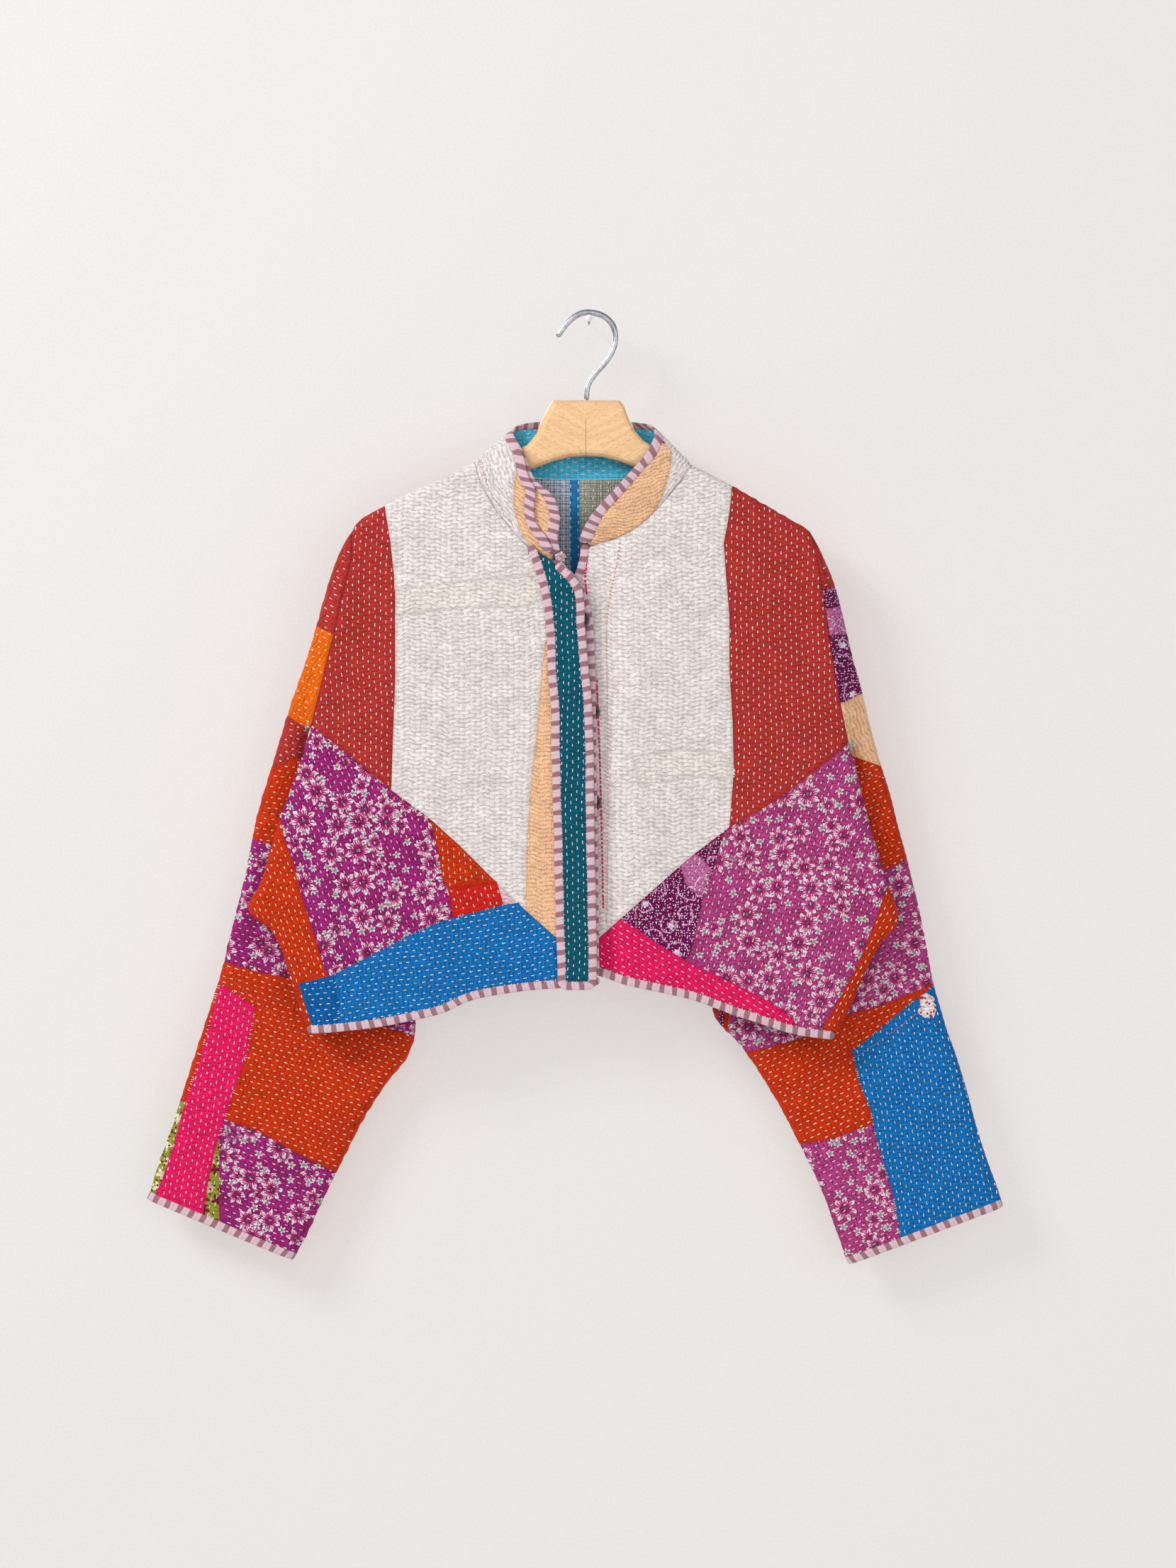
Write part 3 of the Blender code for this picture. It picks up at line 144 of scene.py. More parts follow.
SLEEVE_RINGS = {
    "right": (
        (-218, -199, 0, -254, -376, 0, 10),
        (-235, -227, 1, -257, -381, 4, 10),
        (-246, -269, 3, -259, -387, 10, 10),
        (-259, -313, 6, -261, -395, 17, 10),
        (-275, -358, 10, -254, -425, 23, 9.5),
        (-290, -406, 15, -235, -478, 24, 9.5),
        (-306, -458, 19, -208, -532, 24, 9.5),
        (-317, -512, 21, -180, -586, 24, 9.5),
        (-328, -556, 22, -161, -642, 24, 9.5),
        (-334, -580, 22, -166, -678, 23, 9.5),
        (-339, -601, 22, -187, -706, 22, 9.5),
        (-352, -643, 21, -207, -737, 21, 9.5),
        (-364, -680, 20, -224, -770, 20, 9),
        (-375, -715, 19, -238, -798, 19, 9),
        (-386, -750, 18, -250, -823, 18, 8.5),
        (-397, -780, 17, -260, -845, 17, 8),
        (-404, -804, 16, -269, -861, 16, 7.5),
        (-407, -812, 16, -273, -868, 16, 7.5),
    ),
    "left": (
        (202, -198, 0, 237, -393, 0, 10),
        (217, -224, 1, 240, -398, 4, 10),
        (228, -256, 3, 242, -404, 10, 10),
        (238, -296, 6, 244, -412, 17, 10),
        (250, -341, 10, 236, -445, 23, 9.5),
        (263, -392, 15, 214, -498, 24, 9.5),
        (277, -437, 19, 182, -545, 24, 9.5),
        (291, -490, 21, 148, -592, 24, 9.5),
        (303, -538, 22, 114, -636, 24, 9.5),
        (311, -577, 22, 143, -675, 23, 9.5),
        (318, -614, 22, 171, -718, 22, 9.5),
        (330, -655, 21, 189, -752, 21, 9.5),
        (343, -693, 20, 204, -781, 20, 9),
        (353, -729, 19, 216, -808, 19, 9),
        (363, -765, 18, 226, -836, 18, 8.5),
        (372, -790, 17, 232, -853, 17, 8),
        (379, -811, 16, 236, -865, 16, 7.5),
        (381, -819, 16, 240, -872, 16, 7.5),
    ),
}
SLEEVE_FOLD_RADIUS = 10.0
SLEEVE_CROWN = 2.0
SLEEVE_CUFF_RING = 16
ARMHOLE_BLEND = 2.0
SLEEVE_FOLDS = {
    "right": (
        (9.0, 0.86, 0.9, 0.10, 2.4), (9.8, 0.62, 1.0, 0.16, -2.0), (11.4, 0.80, 0.8, 0.12, 1.6),
        (6.4, 0.18, 1.2, 0.10, 1.5), (12.6, 0.35, 1.2, 0.16, -1.4), (9.2, -0.80, 0.9, 0.14, 2.4),
        (7.4, -0.45, 1.0, 0.14, -2.0), (5.2, -0.70, 0.9, 0.14, 2.0), (11.5, -0.40, 1.2, 0.16, -1.5),
    ),
    "left": (
        (9.0, 0.86, 0.9, 0.10, 2.4), (10.0, 0.58, 1.0, 0.16, -2.0), (11.6, 0.78, 0.8, 0.12, 1.6),
        (6.8, 0.16, 1.2, 0.10, 1.5), (13.0, 0.32, 1.2, 0.16, -1.4), (9.0, -0.78, 0.9, 0.14, 2.4),
        (7.6, -0.48, 1.0, 0.14, -2.0), (5.0, -0.72, 0.9, 0.14, 2.0), (11.9, -0.44, 1.2, 0.16, -1.5),
    ),
}
COLLAR_STATIONS = (
    ("front_right", -35, -226, -27, -19, -217), ("front_right", -47, -218, -30, -19.5, -203),
    ("front_right", -62, -207, -27, -20.5, -184), ("front_right", -83, -182, -33, -21, -167),
    ("front_right", -98, -157, -49, -18.5, -152), ("front_right", -103, -142, -58, -14.5, -131),
    ("front_right", -104.6, -137, -66, -9, -116), ("front_right", -105, -135, -69.5, -3, -109),
    ("back", -104, -136, -70, 3, -105), ("back", -99, -139, -66, 9, -100), ("back", -84, -144, -57, 14, -97),
    ("back", -45, -149, -32, 17.5, -95), ("back", -5, -150, -5, 19, -94), ("back", 40, -149, 24, 17.5, -95),
    ("back", 74, -145, 46, 14, -97), ("back", 88, -141, 55, 9, -99), ("back", 93, -138, 60, 3, -103),
    ("front_left", 94, -137, 60.5, -3, -108), ("front_left", 93.5, -139, 57.5, -9, -116),
    ("front_left", 91.5, -143.5, 51, -15, -129), ("front_left", 84, -153, 41, -18.5, -141),
    ("front_left", 58, -183, 23, -20, -161), ("front_left", 36, -200, 5, -17, -181),
    ("front_left", 14, -208.5, -4, -13, -196), ("front_left", 2, -212, -8, -11, -208),
)
COLLAR_BOW = 2.5
COLLAR_CENTRE = (-5.0, 0.0)
PLACKET_OUTER = ((-57, -214), (-49, -235), (-42, -263), (-39, -290), (-38, -324), (-35, -362), (-34, -411),
                 (-32, -491), (-29, -600))
PLACKET_LIFT = 1.0
PLACKET_FLAP_LIFT = 3.4
PLACKET_FLAP_WIDTH = 30.0
PLACKET_TAPE_UNDER = 0.1
PLACKET_BOTTOM = -617.5
PLACKET_CORNER = 5.0
COLLAR_TAPE = ((6.0, 0.90), (5.0, 0.86), (4.0, 0.80), (3.0, 0.58), (2.0, 0.44), (1.0, 0.5), (0.25, 0.5))
COLLAR_TAPE_LIFT = 1.5
COLLAR_TAPE_THICKNESS = 1.8
BUTTON_DIAMETER = 17.0
HOOK_PATH = ((-28.5, -18.5), (-20, -7), (-10.5, 0.5), (0, 2.75), (13, -0.5), (22, -9.5), (24.5, -21),
             (21.5, -33), (14.5, -43.5), (6.5, -52.5), (0.5, -61), (-1.8, -69), (-2, -77.7))
WIRE_DIAMETER = 5.5
HANGER_GRAIN_LEAN = math.radians(-28)

# Fine spacing of the visible cloth
RING_STEP = FOLDED_PATH_STEP
SEAM_STEP = 2.0
LINING_STEP = 3.5
LINING_MARGIN = 1.2
LINING_WANDER = 0.3
LINING_FINE_REACH = 12.0
LINING_INSET = 1.8
CUT_MARGIN = 1.5
CLOTH_UNDER_TAPE = 1.2
LATTICE_CLEAR = 1.4
LATTICE_WANDER = 0.25
GUIDE_END = 17.0
GUIDE_STEP = 0.1
GUIDE_SHARES = 33
SLEEVE_FOLD_SAMPLES = 400
ARMHOLE_SAMPLES = 60
FOLD_CLEAR = 2.3
FOLD_LINES = (0.3, 1.15)
FOLD_LINE_CLEAR = 0.8
SAME_POINT = 1e-3

# Running stitch: rows, pitch along a row and thread size
ROW_SPACING = 5.0
STITCH_PITCH = 7.4
STITCH_LENGTH = 4.1
STITCH_HALF_WIDTH = 0.55
STITCH_TOP = 0.74
STITCH_SIDE = -0.06
STITCH_TIP = -0.75
STITCH_CLEAR = 1.0
STITCH_SLIP = 0.4
STITCH_STRAY = 0.3
STITCH_LENGTHS = (0.78, 1.18)
STITCH_TILT = 0.18

# Waves of the hand-sewn rows: height, length and how much they change from patch to patch
ROW_WANDER = ((1.2, 37.0, 1.0), (0.5, 13.0, 2.3))
ROW_DRIFT = ((1.8, 27.0, 3.1), (1.0, 9.0, 1.7), (0.75, 2.3, 5.0), (0.45, 3.9, 2.9))
PATCH_SEED_STEP = 1.7

# Relief of the quilting: on a row, then halfway between rows
ON_ROW = (-0.28, 0.50, 0.46)
BETWEEN_ROWS = (0.18, 0.44)
SEAM_GROOVE = 0.7
SEAM_GROOVE_REACH = 1.4
EDGE_FADE = 3.5
FOLD_BUMP = 0.3
FOLD_BUMP_SIZES = (7.4, 9.0, 11.0)
RELIEF_AT_SEAM = 0.25
RELIEF_UNEVEN = 0.3
RELIEF_UNEVEN_SIZES = (13, 19, 29)
RELIEF_UNEVEN_SEED = 3

# Soft waves of worn cloth: height, step of the seed, sizes
SOFT_WAVES = ((0.55, 0, (41, 57, 76, 98)), (0.22, 7, (17, 22, 27)))

# Fabrics of the patches with the colour of the sewing thread on each
WHITE_THREAD = "thread_white"
HEM_THREADS = ("thread_cream", "thread_white")
THREADS = {
    "pale_grey": "thread_grey", "cream": "thread_grey", "peach": "thread_cream", "pink": "thread_blush",
    "rust": "thread_white", "orange": "thread_cream", "orange_red": "thread_cream",
}

# Patches of each cloth layer in order of sewing: fabric, lean of the stitch rows from upright
# in degrees, first patch it may cover, outline. The first patch is the whole layer.
FRONT_RIGHT_PATCHES = (
    ("pale_grey", 0, 0, None),
    ("rust", 0, 0, ((-330, -110), (-188, -110), (-187, -176), (-182, -205), (-178, -240), (-177, -287),
        (-177, -337), (-179, -387), (-181, -450), (-330, -450))),
    ("cream", 0, 0, ((-177, -252), (-150, -249), (-100, -243), (-52, -240), (-42, -262), (-60, -268),
        (-110, -268), (-150, -272), (-177, -276))),
    ("peach", 0, 0, ((-40, -300), (-43, -324), (-47, -374), (-54, -437), (-57, -491), (-58, -548),
        (-20, -590), (0, -560), (0, -300))),
    ("floral", -20, 0, (*DIAGONAL_SEAM["right"], (40, -700), (-340, -700), (-340, -376))),
    ("orange_red", -20, 4, ((-340, -459), (-284, -459), (-278, -480), (-270, -502), (-263, -530),
        (-253, -560), (-240, -602), (-238, -606), (-265, -612), (-252, -655), (-252, -700), (-340, -700))),
    ("orange_red", -3, 4, ((-148, -440), (-146, -458), (-138, -490), (-134, -515), (-129, -525),
        (-84, -519), (-50, -500), (-90, -430))),
    ("red", -16, 4, ((-129, -525), (-84, -519), (-78, -540), (-123, -555))),
    ("blush", 0, 4, ((-84, -519), (-50, -519), (-62, -538), (-78, -540))),
    ("blue", 78, 4, ((-265, -612), (-238, -606), (-201, -587), (-163, -567), (-138, -556), (-114, -549),
        (-78, -540), (-58, -537), (0, -560), (60, -600), (60, -720), (-252, -720), (-252, -655))),
    ("blue_dark", 82, 4, ((-265, -612), (-233, -604), (-229, -630), (-226, -720), (-252, -720),
        (-252, -655))),
)
FRONT_LEFT_PATCHES = (
    ("pale_grey", 0, 0, None),
    ("rust", 0, 0, ((133, -110), (131, -157), (128, -183), (123, -210), (125, -240), (128, -275),
        (128, -324), (131, -374), (132, -419), (127, -480), (330, -480), (330, -110))),
    ("cream", 0, 0, ((40, -404), (90, -398), (129, -402), (131, -424), (92, -424), (46, -430))),
    ("floral_pink", 20, 0, (*DIAGONAL_SEAM["left"], (-60, -600), (-60, -720), (330, -720), (330, -393))),
    ("purple", 12, 3, ((10, -566), (94, -486), (124, -470), (114, -506), (105, -530), (99, -556),
        (92, -586), (87, -590), (62, -575), (37, -557))),
    ("lilac", 20, 3, ((82, -499), (92, -492), (102, -496), (112, -508), (107, -520), (105, -530),
        (94, -528), (88, -520))),
    ("pink", 122, 3, ((20, -548), (37, -557), (62, -575), (87, -590), (105, -599), (137, -614), (166, -629),
        (187, -645), (200, -720), (-60, -720), (-60, -548))),
    ("orange_red", 30, 3, ((286, -500), (270, -530), (264, -547), (253, -577), (243, -599), (233, -618),
        (222, -637), (212, -655), (204, -720), (330, -720), (330, -500))),
)
BACK_PATCHES = (
    ("pale_grey", 0, 0, None),
    ("rust", 0, 0, ((-330, -110), (-96, -110), (-92, -240), (-95, -400), (-99, -470), (-330, -470))),
    ("orange_red", 0, 0, ((72, -110), (330, -110), (330, -500), (84, -500), (78, -300))),
    ("floral", 90, 0, ((-340, -458), (-200, -470), (-60, -476), (60, -492), (200, -484), (340, -476),
        (340, -720), (-340, -720))),
    ("blue", 90, 3, ((-340, -600), (-180, -592), (-40, -560), (-36, -720), (-340, -720))),
    ("peach", 0, 0, ((-30, -300), (38, -306), (42, -420), (-26, -412))),
)
GREY_LINING = (("pale_grey", 0, 0, None),)
BLUE_LINING = (("turquoise", 0, 0, None),)
TEAL_STRIP = (("teal", 0, 0, None),)
NECK_LINING = (
    ("pale_grey", 0, 0, None),
    ("plaid_navy", 0, 0, ((-130, -100), (-18, -100), (-17, -330), (-130, -330))),
    ("plain_blue", 0, 0, ((-18, -100), (-9, -100), (-8, -330), (-17, -330))),
    ("plaid_olive", 0, 0, ((-9, -100), (120, -100), (120, -330), (-8, -330))),
)
RIGHT_END = ((-100, -900), (-450, -900))
LEFT_END = ((450, -900), (100, -900))
SLEEVE_FRONT_PATCHES = {
    "right": (
        ("rust", 118, 0, None),
        ("orange", 118, 0, ((-340, -242), (-250, -285), (-233, -293), (-190, -314), *RIGHT_END)),
        ("rust", 118, 0, ((-350, -322), (-276, -368), (-257, -380), (-200, -416), *RIGHT_END)),
        ("orange_red", 100, 0, ((-350, -436), (-290, -414), (-263, -404), (-220, -388), *RIGHT_END)),
        ("floral", 106, 0, ((-360, -469), (-313, -480), (-293, -485), (-140, -522), *RIGHT_END)),
        ("orange_red", 108, 0, ((-360, -588), (-337, -593), (-304, -603), (-274, -609), (-181, -656),
            (-120, -672), *RIGHT_END)),
        ("floral", 108, 5, ((-370, -724), (-336, -738), (-304, -749), (-264, -772), (-235, -786),
            (-180, -810), (-180, -900), (-450, -900))),
        ("olive", 10, 5, ((-420, -722), (-340, -722), (-340, -900), (-450, -900))),
        ("pink", 10, 5, ((-341, -613), (-324, -623), (-307, -635), (-314, -675), (-324, -705), (-336, -740),
            (-344, -767), (-351, -800), (-360, -860), (-400, -860), (-399, -806), (-393, -794),
            (-384, -767), (-374, -730), (-363, -695), (-351, -655), (-344, -624))),
    ),
    "left": (
        ("rust", 65, 0, None),
        ("purple", 65, 0, ((150, -260), (213, -252), (228, -249), (330, -238), *LEFT_END)),
        ("lilac", 65, 0, ((150, -284), (216, -270), (233, -266), (330, -246), *LEFT_END)),
        ("purple", 65, 0, ((150, -300), (222, -294), (238, -292), (330, -284), *LEFT_END)),
        ("peach", 65, 0, ((150, -396), (231, -356), (250, -347), (330, -310), *LEFT_END)),
        ("orange_red", 65, 0, ((150, -375), (241, -404), (268, -413), (340, -436), *LEFT_END)),
        ("floral_pink", 65, 0, ((140, -572), (270, -510), (293, -499), (360, -467), (450, -900), (90, -900))),
        ("orange_red", 65, 0, ((90, -690), (144, -677), (177, -669), (197, -663), (237, -643), (276, -631),
            (316, -614), (380, -588), (450, -900), (90, -900))),
        ("floral_pink", 65, 7, ((120, -794), (194, -762), (227, -755), (261, -742), (330, -716),
            (330, -900), (120, -900))),
        ("blue", -12, 7, ((318, -615), (294, -633), (276, -648), (256, -665), (242, -675), (249, -705),
            (259, -730), (264, -755), (271, -779), (279, -805), (289, -860), (420, -900), (420, -600))),
        ("white_print", -12, 9, ((303, -626), (310, -622), (318, -626), (321, -636), (317, -646),
            (309, -645), (302, -640), (305, -633))),
    ),
}
SLEEVE_BACK_PATCHES = {
    "right": (
        ("rust", 118, 0, None),
        ("orange_red", 108, 0, ((-450, -250), (-100, -300), *RIGHT_END)),
        ("floral", 108, 0, ((-450, -470), (-100, -560), *RIGHT_END)),
        ("orange_red", 108, 0, ((-450, -556), (-100, -690), *RIGHT_END)),
        ("olive", 108, 0, ((-450, -722), (-340, -722), (-322, -900), (-450, -900))),
    ),
    "left": (
        ("rust", 65, 0, None),
        ("orange_red", 65, 0, ((450, -300), (100, -340), (100, -900), (450, -900))),
        ("floral_pink", 65, 0, ((450, -480), (100, -560), (100, -900), (450, -900))),
        ("dark_red", 65, 0, ((450, -590), (100, -680), (100, -900), (450, -900))),
        ("pale_grey", 65, 0, ((450, -722), (330, -722), (300, -900), (450, -900))),
    ),
}

# Seams that are oversewn by hand with short white stitches across them: layer name, patch pair
OVERSEWN = {
    "front_right": ((5, 9), (4, 9), (6, 9), (7, 9), (9, 10)),
    "sleeve_right": ((5, 8), (6, 8)),
    "sleeve_left": ((7, 9), (8, 9)),
}

# Straight lines of fine topstitching in the front view: layer, thread, points
TOPSTITCH = (
    ("front_right", "thread_orange", ((-250, -380), (-211, -413), (-179, -440), (-146, -464), (-117, -490),
        (-87, -520))),
    ("front_left", "thread_orange", ((232, -400), (185, -438), (160, -455), (125, -475), (92, -500),
        (60, -528), (24, -560))),
    ("front_left", "thread_orange", ((28, -207), (25, -230), (18, -263), (16, -300), (17, -374), (17, -491),
        (16, -560))),
    ("sleeve_right", "thread_orange", ((-337, -606), (-324, -614), (-299, -635), (-261, -662), (-224, -692),
        (-197, -709))),
    ("sleeve_left", "thread_orange", ((179, -722), (216, -699), (249, -679), (300, -642), (316, -622))),
    ("sleeve_left", "thread_cream", ((238, -416), (244, -418), (272, -424), (280, -426))),
    ("front_left", "thread_pink", ((-1.5, -222), (-3, -232), (-3.5, -244), (-2, -258))),
    ("front_left", "thread_pink", ((7, -332), (8, -360), (9.5, -400), (11, -450), (12, -495), (13, -545))),
    ("collar", "thread_red_faded", ((40, 4), (60, 5), (90, 6), (130, 6))),
)

# Small sizes of the sewing
EDGE_SEED = 5
LAYER_SEEDS = {
    "front_right": 11, "front_left": 23, "back": 37, "sleeve_right": 41, "sleeve_back_right": 47,
    "sleeve_left": 44, "sleeve_back_left": 50, "collar": 53, "placket": 61,
}
SEAM_SIDE = 0.6
SOME_YELLOW = ("rust", "blue", "orange_red")
YELLOW_SHARE = 0.14
OVERSEWN_SHARE = 0.34
OVERSEWN_SLANT = 0.5
OVERSEWN_REACH = (1.0, 2.0)
FINE_HALF_WIDTH = 0.34
FINE_LIFT = 0.15
FINE_DASHES = (3.4, 2.3, FINE_HALF_WIDTH)
BOLD_DASHES = (3.7, 3.8, 1.0)
BOLD_THREADS = ("thread_pink",)
DASH_SLIP = 0.12
DASH_LENGTHS = (0.85, 1.15)
STITCH_SECTIONS = (0.22, 0.78)
STITCH_FACES = np.array((
    (0, 2, 1), (0, 3, 2), (1, 2, 5), (1, 5, 4), (2, 3, 6), (2, 6, 5), (4, 5, 7), (5, 6, 7),
))
STITCH_ALONG = np.array((0, 1, 1, 1, 3, 3, 3, 4), dtype=float)
STITCH_ACROSS = np.array((0, -1, 0, 1, -1, 0, 1, 0), dtype=float)
STITCH_SHADES = 97
CUFF_UNDER_TAPE = 0.15
GUIDE_COUNT = 12
GUIDE_REACH = 4.0
FOLD_SNAP = 0.06
SEAM_CLOSING = 1.5
SEAM_BLEND = 7.0
SOFT_FADE = 14.0
TAPE_REACH = 4.0
SHARP_ANGLE = math.radians(62)
THREAD_SPACING = 0.62
CRACK_SHARP = 0.62

# Binding tape
FOLDED_OVER = (WALL + BINDING_PROUD, -BINDING_PROUD)
TAPE_STEP = 2.0
TAPE_SIDES = 16
TAPE_SQUARENESS = 0.55
TAPE_WANDER = 0.35
TAPE_WANDER_LENGTHS = (9.0, 23.0)
TAPE_PUCKER = 0.28
TAPE_PUCKER_LENGTHS = (1.35, 2.1)
TAPE_END_ROUNDING = 3.0
TAPE_END_SIZE = 0.12
TAPE_END_HEIGHT = 0.6
TAPE_BEND_POINTS = 6
CUFF_WAVE = 0.012
CUFF_WAVE_TURN = 9.0
CUFF_PUCKER_TURN = 1.4
CUFF_RING_WIDTH = 0.94
STRIPE_PERIOD = 11.6
STRIPE_LEANS = {"stripe": 0.12, "stripe_slanted": 0.6}
WHIP_PITCH = 5.2
WHIP_SLIP = 0.2
WHIP_SLANT = (0.2, 0.9)
WHIP_SETBACK = 0.3
WHIP_INWARD = 1.1
WHIP_OUTWARD = 0.9
WHIP_HEIGHT = 0.7

# How far the flap's free edge stands back from the front's edge, at heights down the front
PLACKET_SETBACKS = (
    (-190, 1.0), (-250, 1.5), (-266, 5.0), (-281, 8.2), (-300, 7.4), (-323, 5.6), (-348, 3.8), (-372, 2.6),
    (-600, 2.4),
)

# Collar spacing
COLLAR_STEP = 1.5
COLLAR_AHEAD = 2.0
COLLAR_SEAT = 0.15
COLLAR_LEAST = 3.0

# Buttons, hook and knot
BUTTON_COLUMNS = 64
BUTTON_ROWS = 22
BUTTON_FACE = ((0.0, 4.6, 5.8, 7.2, 8.1, 8.5), (0.66, 0.68, 0.80, 1.0, 0.96, 0.62))
BUTTON_MIDDLE = 0.02
BUTTON_BACK = ((1.0, 0.62), (0.94, 0.0), (BUTTON_MIDDLE, 0.0))
BUTTON_TURNS = (0.3, 0.1, -0.25)
BUTTON_HOLE_REACH = 2.2
BUTTON_HOLE = 0.9
BUTTON_HOLE_SOFTNESS = 0.2
BUTTON_HOLE_DEPTH = 0.5
BUTTON_THREAD_RADIUS = 0.3
BUTTON_THREAD_SIDES = 8
BUTTON_THREAD_POINTS = 13
BUTTON_THREAD_REACH = 1.2
BUTTON_THREAD_SIDE = 0.32
BUTTON_THREAD_SEAT = 0.42
BUTTON_THREAD_RISE = 0.9
HOOK_STEP = 1.5
HOOK_SIDES = 24
HOOK_DOME = (1.0, 0.85, 0.6, 0.3)
KNOT_GRID = (34, 48)
KNOT_RADIUS = 4.4
KNOT_SIZES = (1.1, 0.62, 0.95)
KNOT_TIP = 0.02
KNOT_POLE = 0.1
KNOT_CENTRE = (-26.0, -27.5, -223.0)

# Upright stitches on the insides that show in the neck: from x to x, from z to z, spacing
LINING_STITCHES = {
    "back": (-80, 75, -230, -152, 7.0),
    "collar": (100, 320, 5, 50, 5.5),
}

# Nail
NAIL_CENTRE = (0.0, -3.0)
NAIL_LINE = (-3.0, 20.0, 46.0)
NAIL_HEAD_LINE = (-3.2, -2.6, -1.6, -0.6, 0.0)
NAIL_RADIUS = 1.4
NAIL_HEAD_RADIUS = 4.2
NAIL_SIDES = 24
NAIL_HEAD_SIDES = 32

# Wall, floor, camera and lights, in metres; the wall's share of its colour is lit, the rest glows
WALL_Y = 0.047
WALL_SHARE = 0.40
WALL_GLOW = 0.54
FLOOR_Z = -1.25
STAGE_SIZE = 6.0
CAMERA_PLACE = (-0.001, -3.2, -0.4297)
CAMERA_SENSOR = 24.0
CAMERA_LENS = 53.41
LIGHTS = (
    ("key", (-2.2, -1.7, 1.5), 1.1, 70.0),
    ("fill", (2.0, -2.6, -0.2), 2.2, 19.0),
    ("front", (-0.4, -3.4, 0.6), 2.6, 20.0),
    ("behind_right", (-1.6, 2.4, 1.0), 1.8, 34.0),
    ("behind_left", (1.7, 2.4, 0.2), 1.8, 26.0),
)
LIGHT_AIM = (0.0, 0.0, -0.42)
WORLD_COLOUR = (0.92, 0.94, 1.0)
WORLD_STRENGTH = 0.42

# Cloth area of each front, in square metres
FRONT_RIGHT_AREA = 0.1154
FRONT_LEFT_AREA = 0.1124

# Patches of the collar, laid out as distance along it and height above its seam
COLLAR_PATCHES = (
    ("pale_grey", 0, 0, None),
    ("peach", 18, 0, ((-5, -5), (12, -2), (33, 5), (51, 15), (70, 27), (84, 34), (94, 41), (97, 70),
        (-5, 70))),
    ("peach", -38, 0, ((306, 70), (303, 37), (309, 24), (330, 17), (353, 5), (372, -3), (440, -3),
        (440, 70))),
    ("red", -38, 2, ((297, 70), (297, 33), (306, 33), (306, 70))),
)


# Curves and surfaces of the cloth

def between(a, b, c, d, t):
    """The point at share t from b to c on the smooth curve through a, b, c and d."""
    bend = (2 * a - 5 * b + 4 * c - d) * t ** 2 + (3 * b - a - 3 * c + d) * t ** 3
    return 0.5 * (2 * b + (c - a) * t + bend)


def lengths_along(path):
    """Distance along a path to each of its points."""
    return np.concatenate(([0.0], np.cumsum(np.linalg.norm(np.diff(path, axis=0), axis=1))))


def read_table(at, places, table):
    """All columns of a table with a row for each place, read at other places."""
    return np.stack([np.interp(at, places, column) for column in table.T], axis=-1)


def all_pairs(first, second):
    """Every pair of values from two ranges, as two long rows."""
    return [grid.ravel() for grid in np.meshgrid(first, second, indexing="ij")]


def smooth_path(points, step):
    """Even points on a smooth curve through the given points."""
    rows = np.array(points, dtype=float)
    padded = np.vstack((2 * rows[0] - rows[1], rows, 2 * rows[-1] - rows[-2]))
    dense = [rows[0]]
    for a, b, c, d in zip(padded[:-3], padded[1:-2], padded[2:-1], padded[3:]):
        for t in np.arange(1, CURVE_SAMPLES + 1) / CURVE_SAMPLES:
            dense.append(between(a, b, c, d, t))
    dense = np.array(dense)
    travel = lengths_along(dense)
    count = max(2, int(round(travel[-1] / step)) + 1)
    return read_table(np.linspace(0.0, travel[-1], count), travel, dense)


def halfway_points(rows):
    """The given rows with one smoothly placed row added between each two."""
    padded = np.vstack((2 * rows[0] - rows[1], rows, 2 * rows[-1] - rows[-2]))
    mixed = np.empty((2 * len(rows) - 1, rows.shape[1]))
    mixed[0::2] = rows
    mixed[1::2] = between(padded[:-3], padded[1:-2], padded[2:-1], padded[3:], 0.5)
    return mixed


def side_normals(path):
    """Unit normals on the right hand of a path in the x-z plane."""
    tangent = np.gradient(path, axis=0)
    tangent /= np.linalg.norm(tangent, axis=1)[:, None]
    return np.column_stack((-tangent[:, 1], tangent[:, 0]))


def shifted(path, distance):
    """The path moved sideways by a distance."""
    return path + side_normals(path) * distance


def smoothstep(value):
    """A smooth rise from 0 to 1 as the value goes from 0 to 1."""
    value = np.clip(value, 0.0, 1.0)
    return value * value * (3.0 - 2.0 * value)


def nearest_on(path, x, z, inward_sign):
    """Distance from each point to a path, and the unit direction away from the path."""
    best = np.full(np.shape(x), np.inf)
    away_x = np.zeros(np.shape(x))
    away_z = np.zeros(np.shape(x))
    for (ax, az), (bx, bz) in zip(path[:-1], path[1:]):
        dx, dz = bx - ax, bz - az
        length = math.hypot(dx, dz)
        t = np.clip(((x - ax) * dx + (z - az) * dz) / length ** 2, 0.0, 1.0)
        ox, oz = x - (ax + t * dx), z - (az + t * dz)
        distance = np.hypot(ox, oz)
        on_edge = distance < SEAM_GAP
        ox = np.where(on_edge, -dz / length * inward_sign, ox / np.maximum(distance, SEAM_GAP))
        oz = np.where(on_edge, dx / length * inward_sign, oz / np.maximum(distance, SEAM_GAP))
        closer = distance < best
        best = np.where(closer, distance, best)
        away_x = np.where(closer, ox, away_x)
        away_z = np.where(closer, oz, away_z)
    return best, away_x, away_z


FOLDED_EDGES = tuple(
    (smooth_path(table[side], FOLDED_PATH_STEP), sign)
    for side, sign in INWARD.items() for table in (SHOULDER, SIDE)
)


def folded_edge(x, z):
    """Distance to the nearest folded edge of the body, and the direction away from it."""
    found = [nearest_on(path, x, z, sign) for path, sign in FOLDED_EDGES]
    distances = np.array([item[0] for item in found])
    index = np.argmin(distances, axis=0)
    return [np.choose(index, [item[column] for item in found]) for column in range(3)]


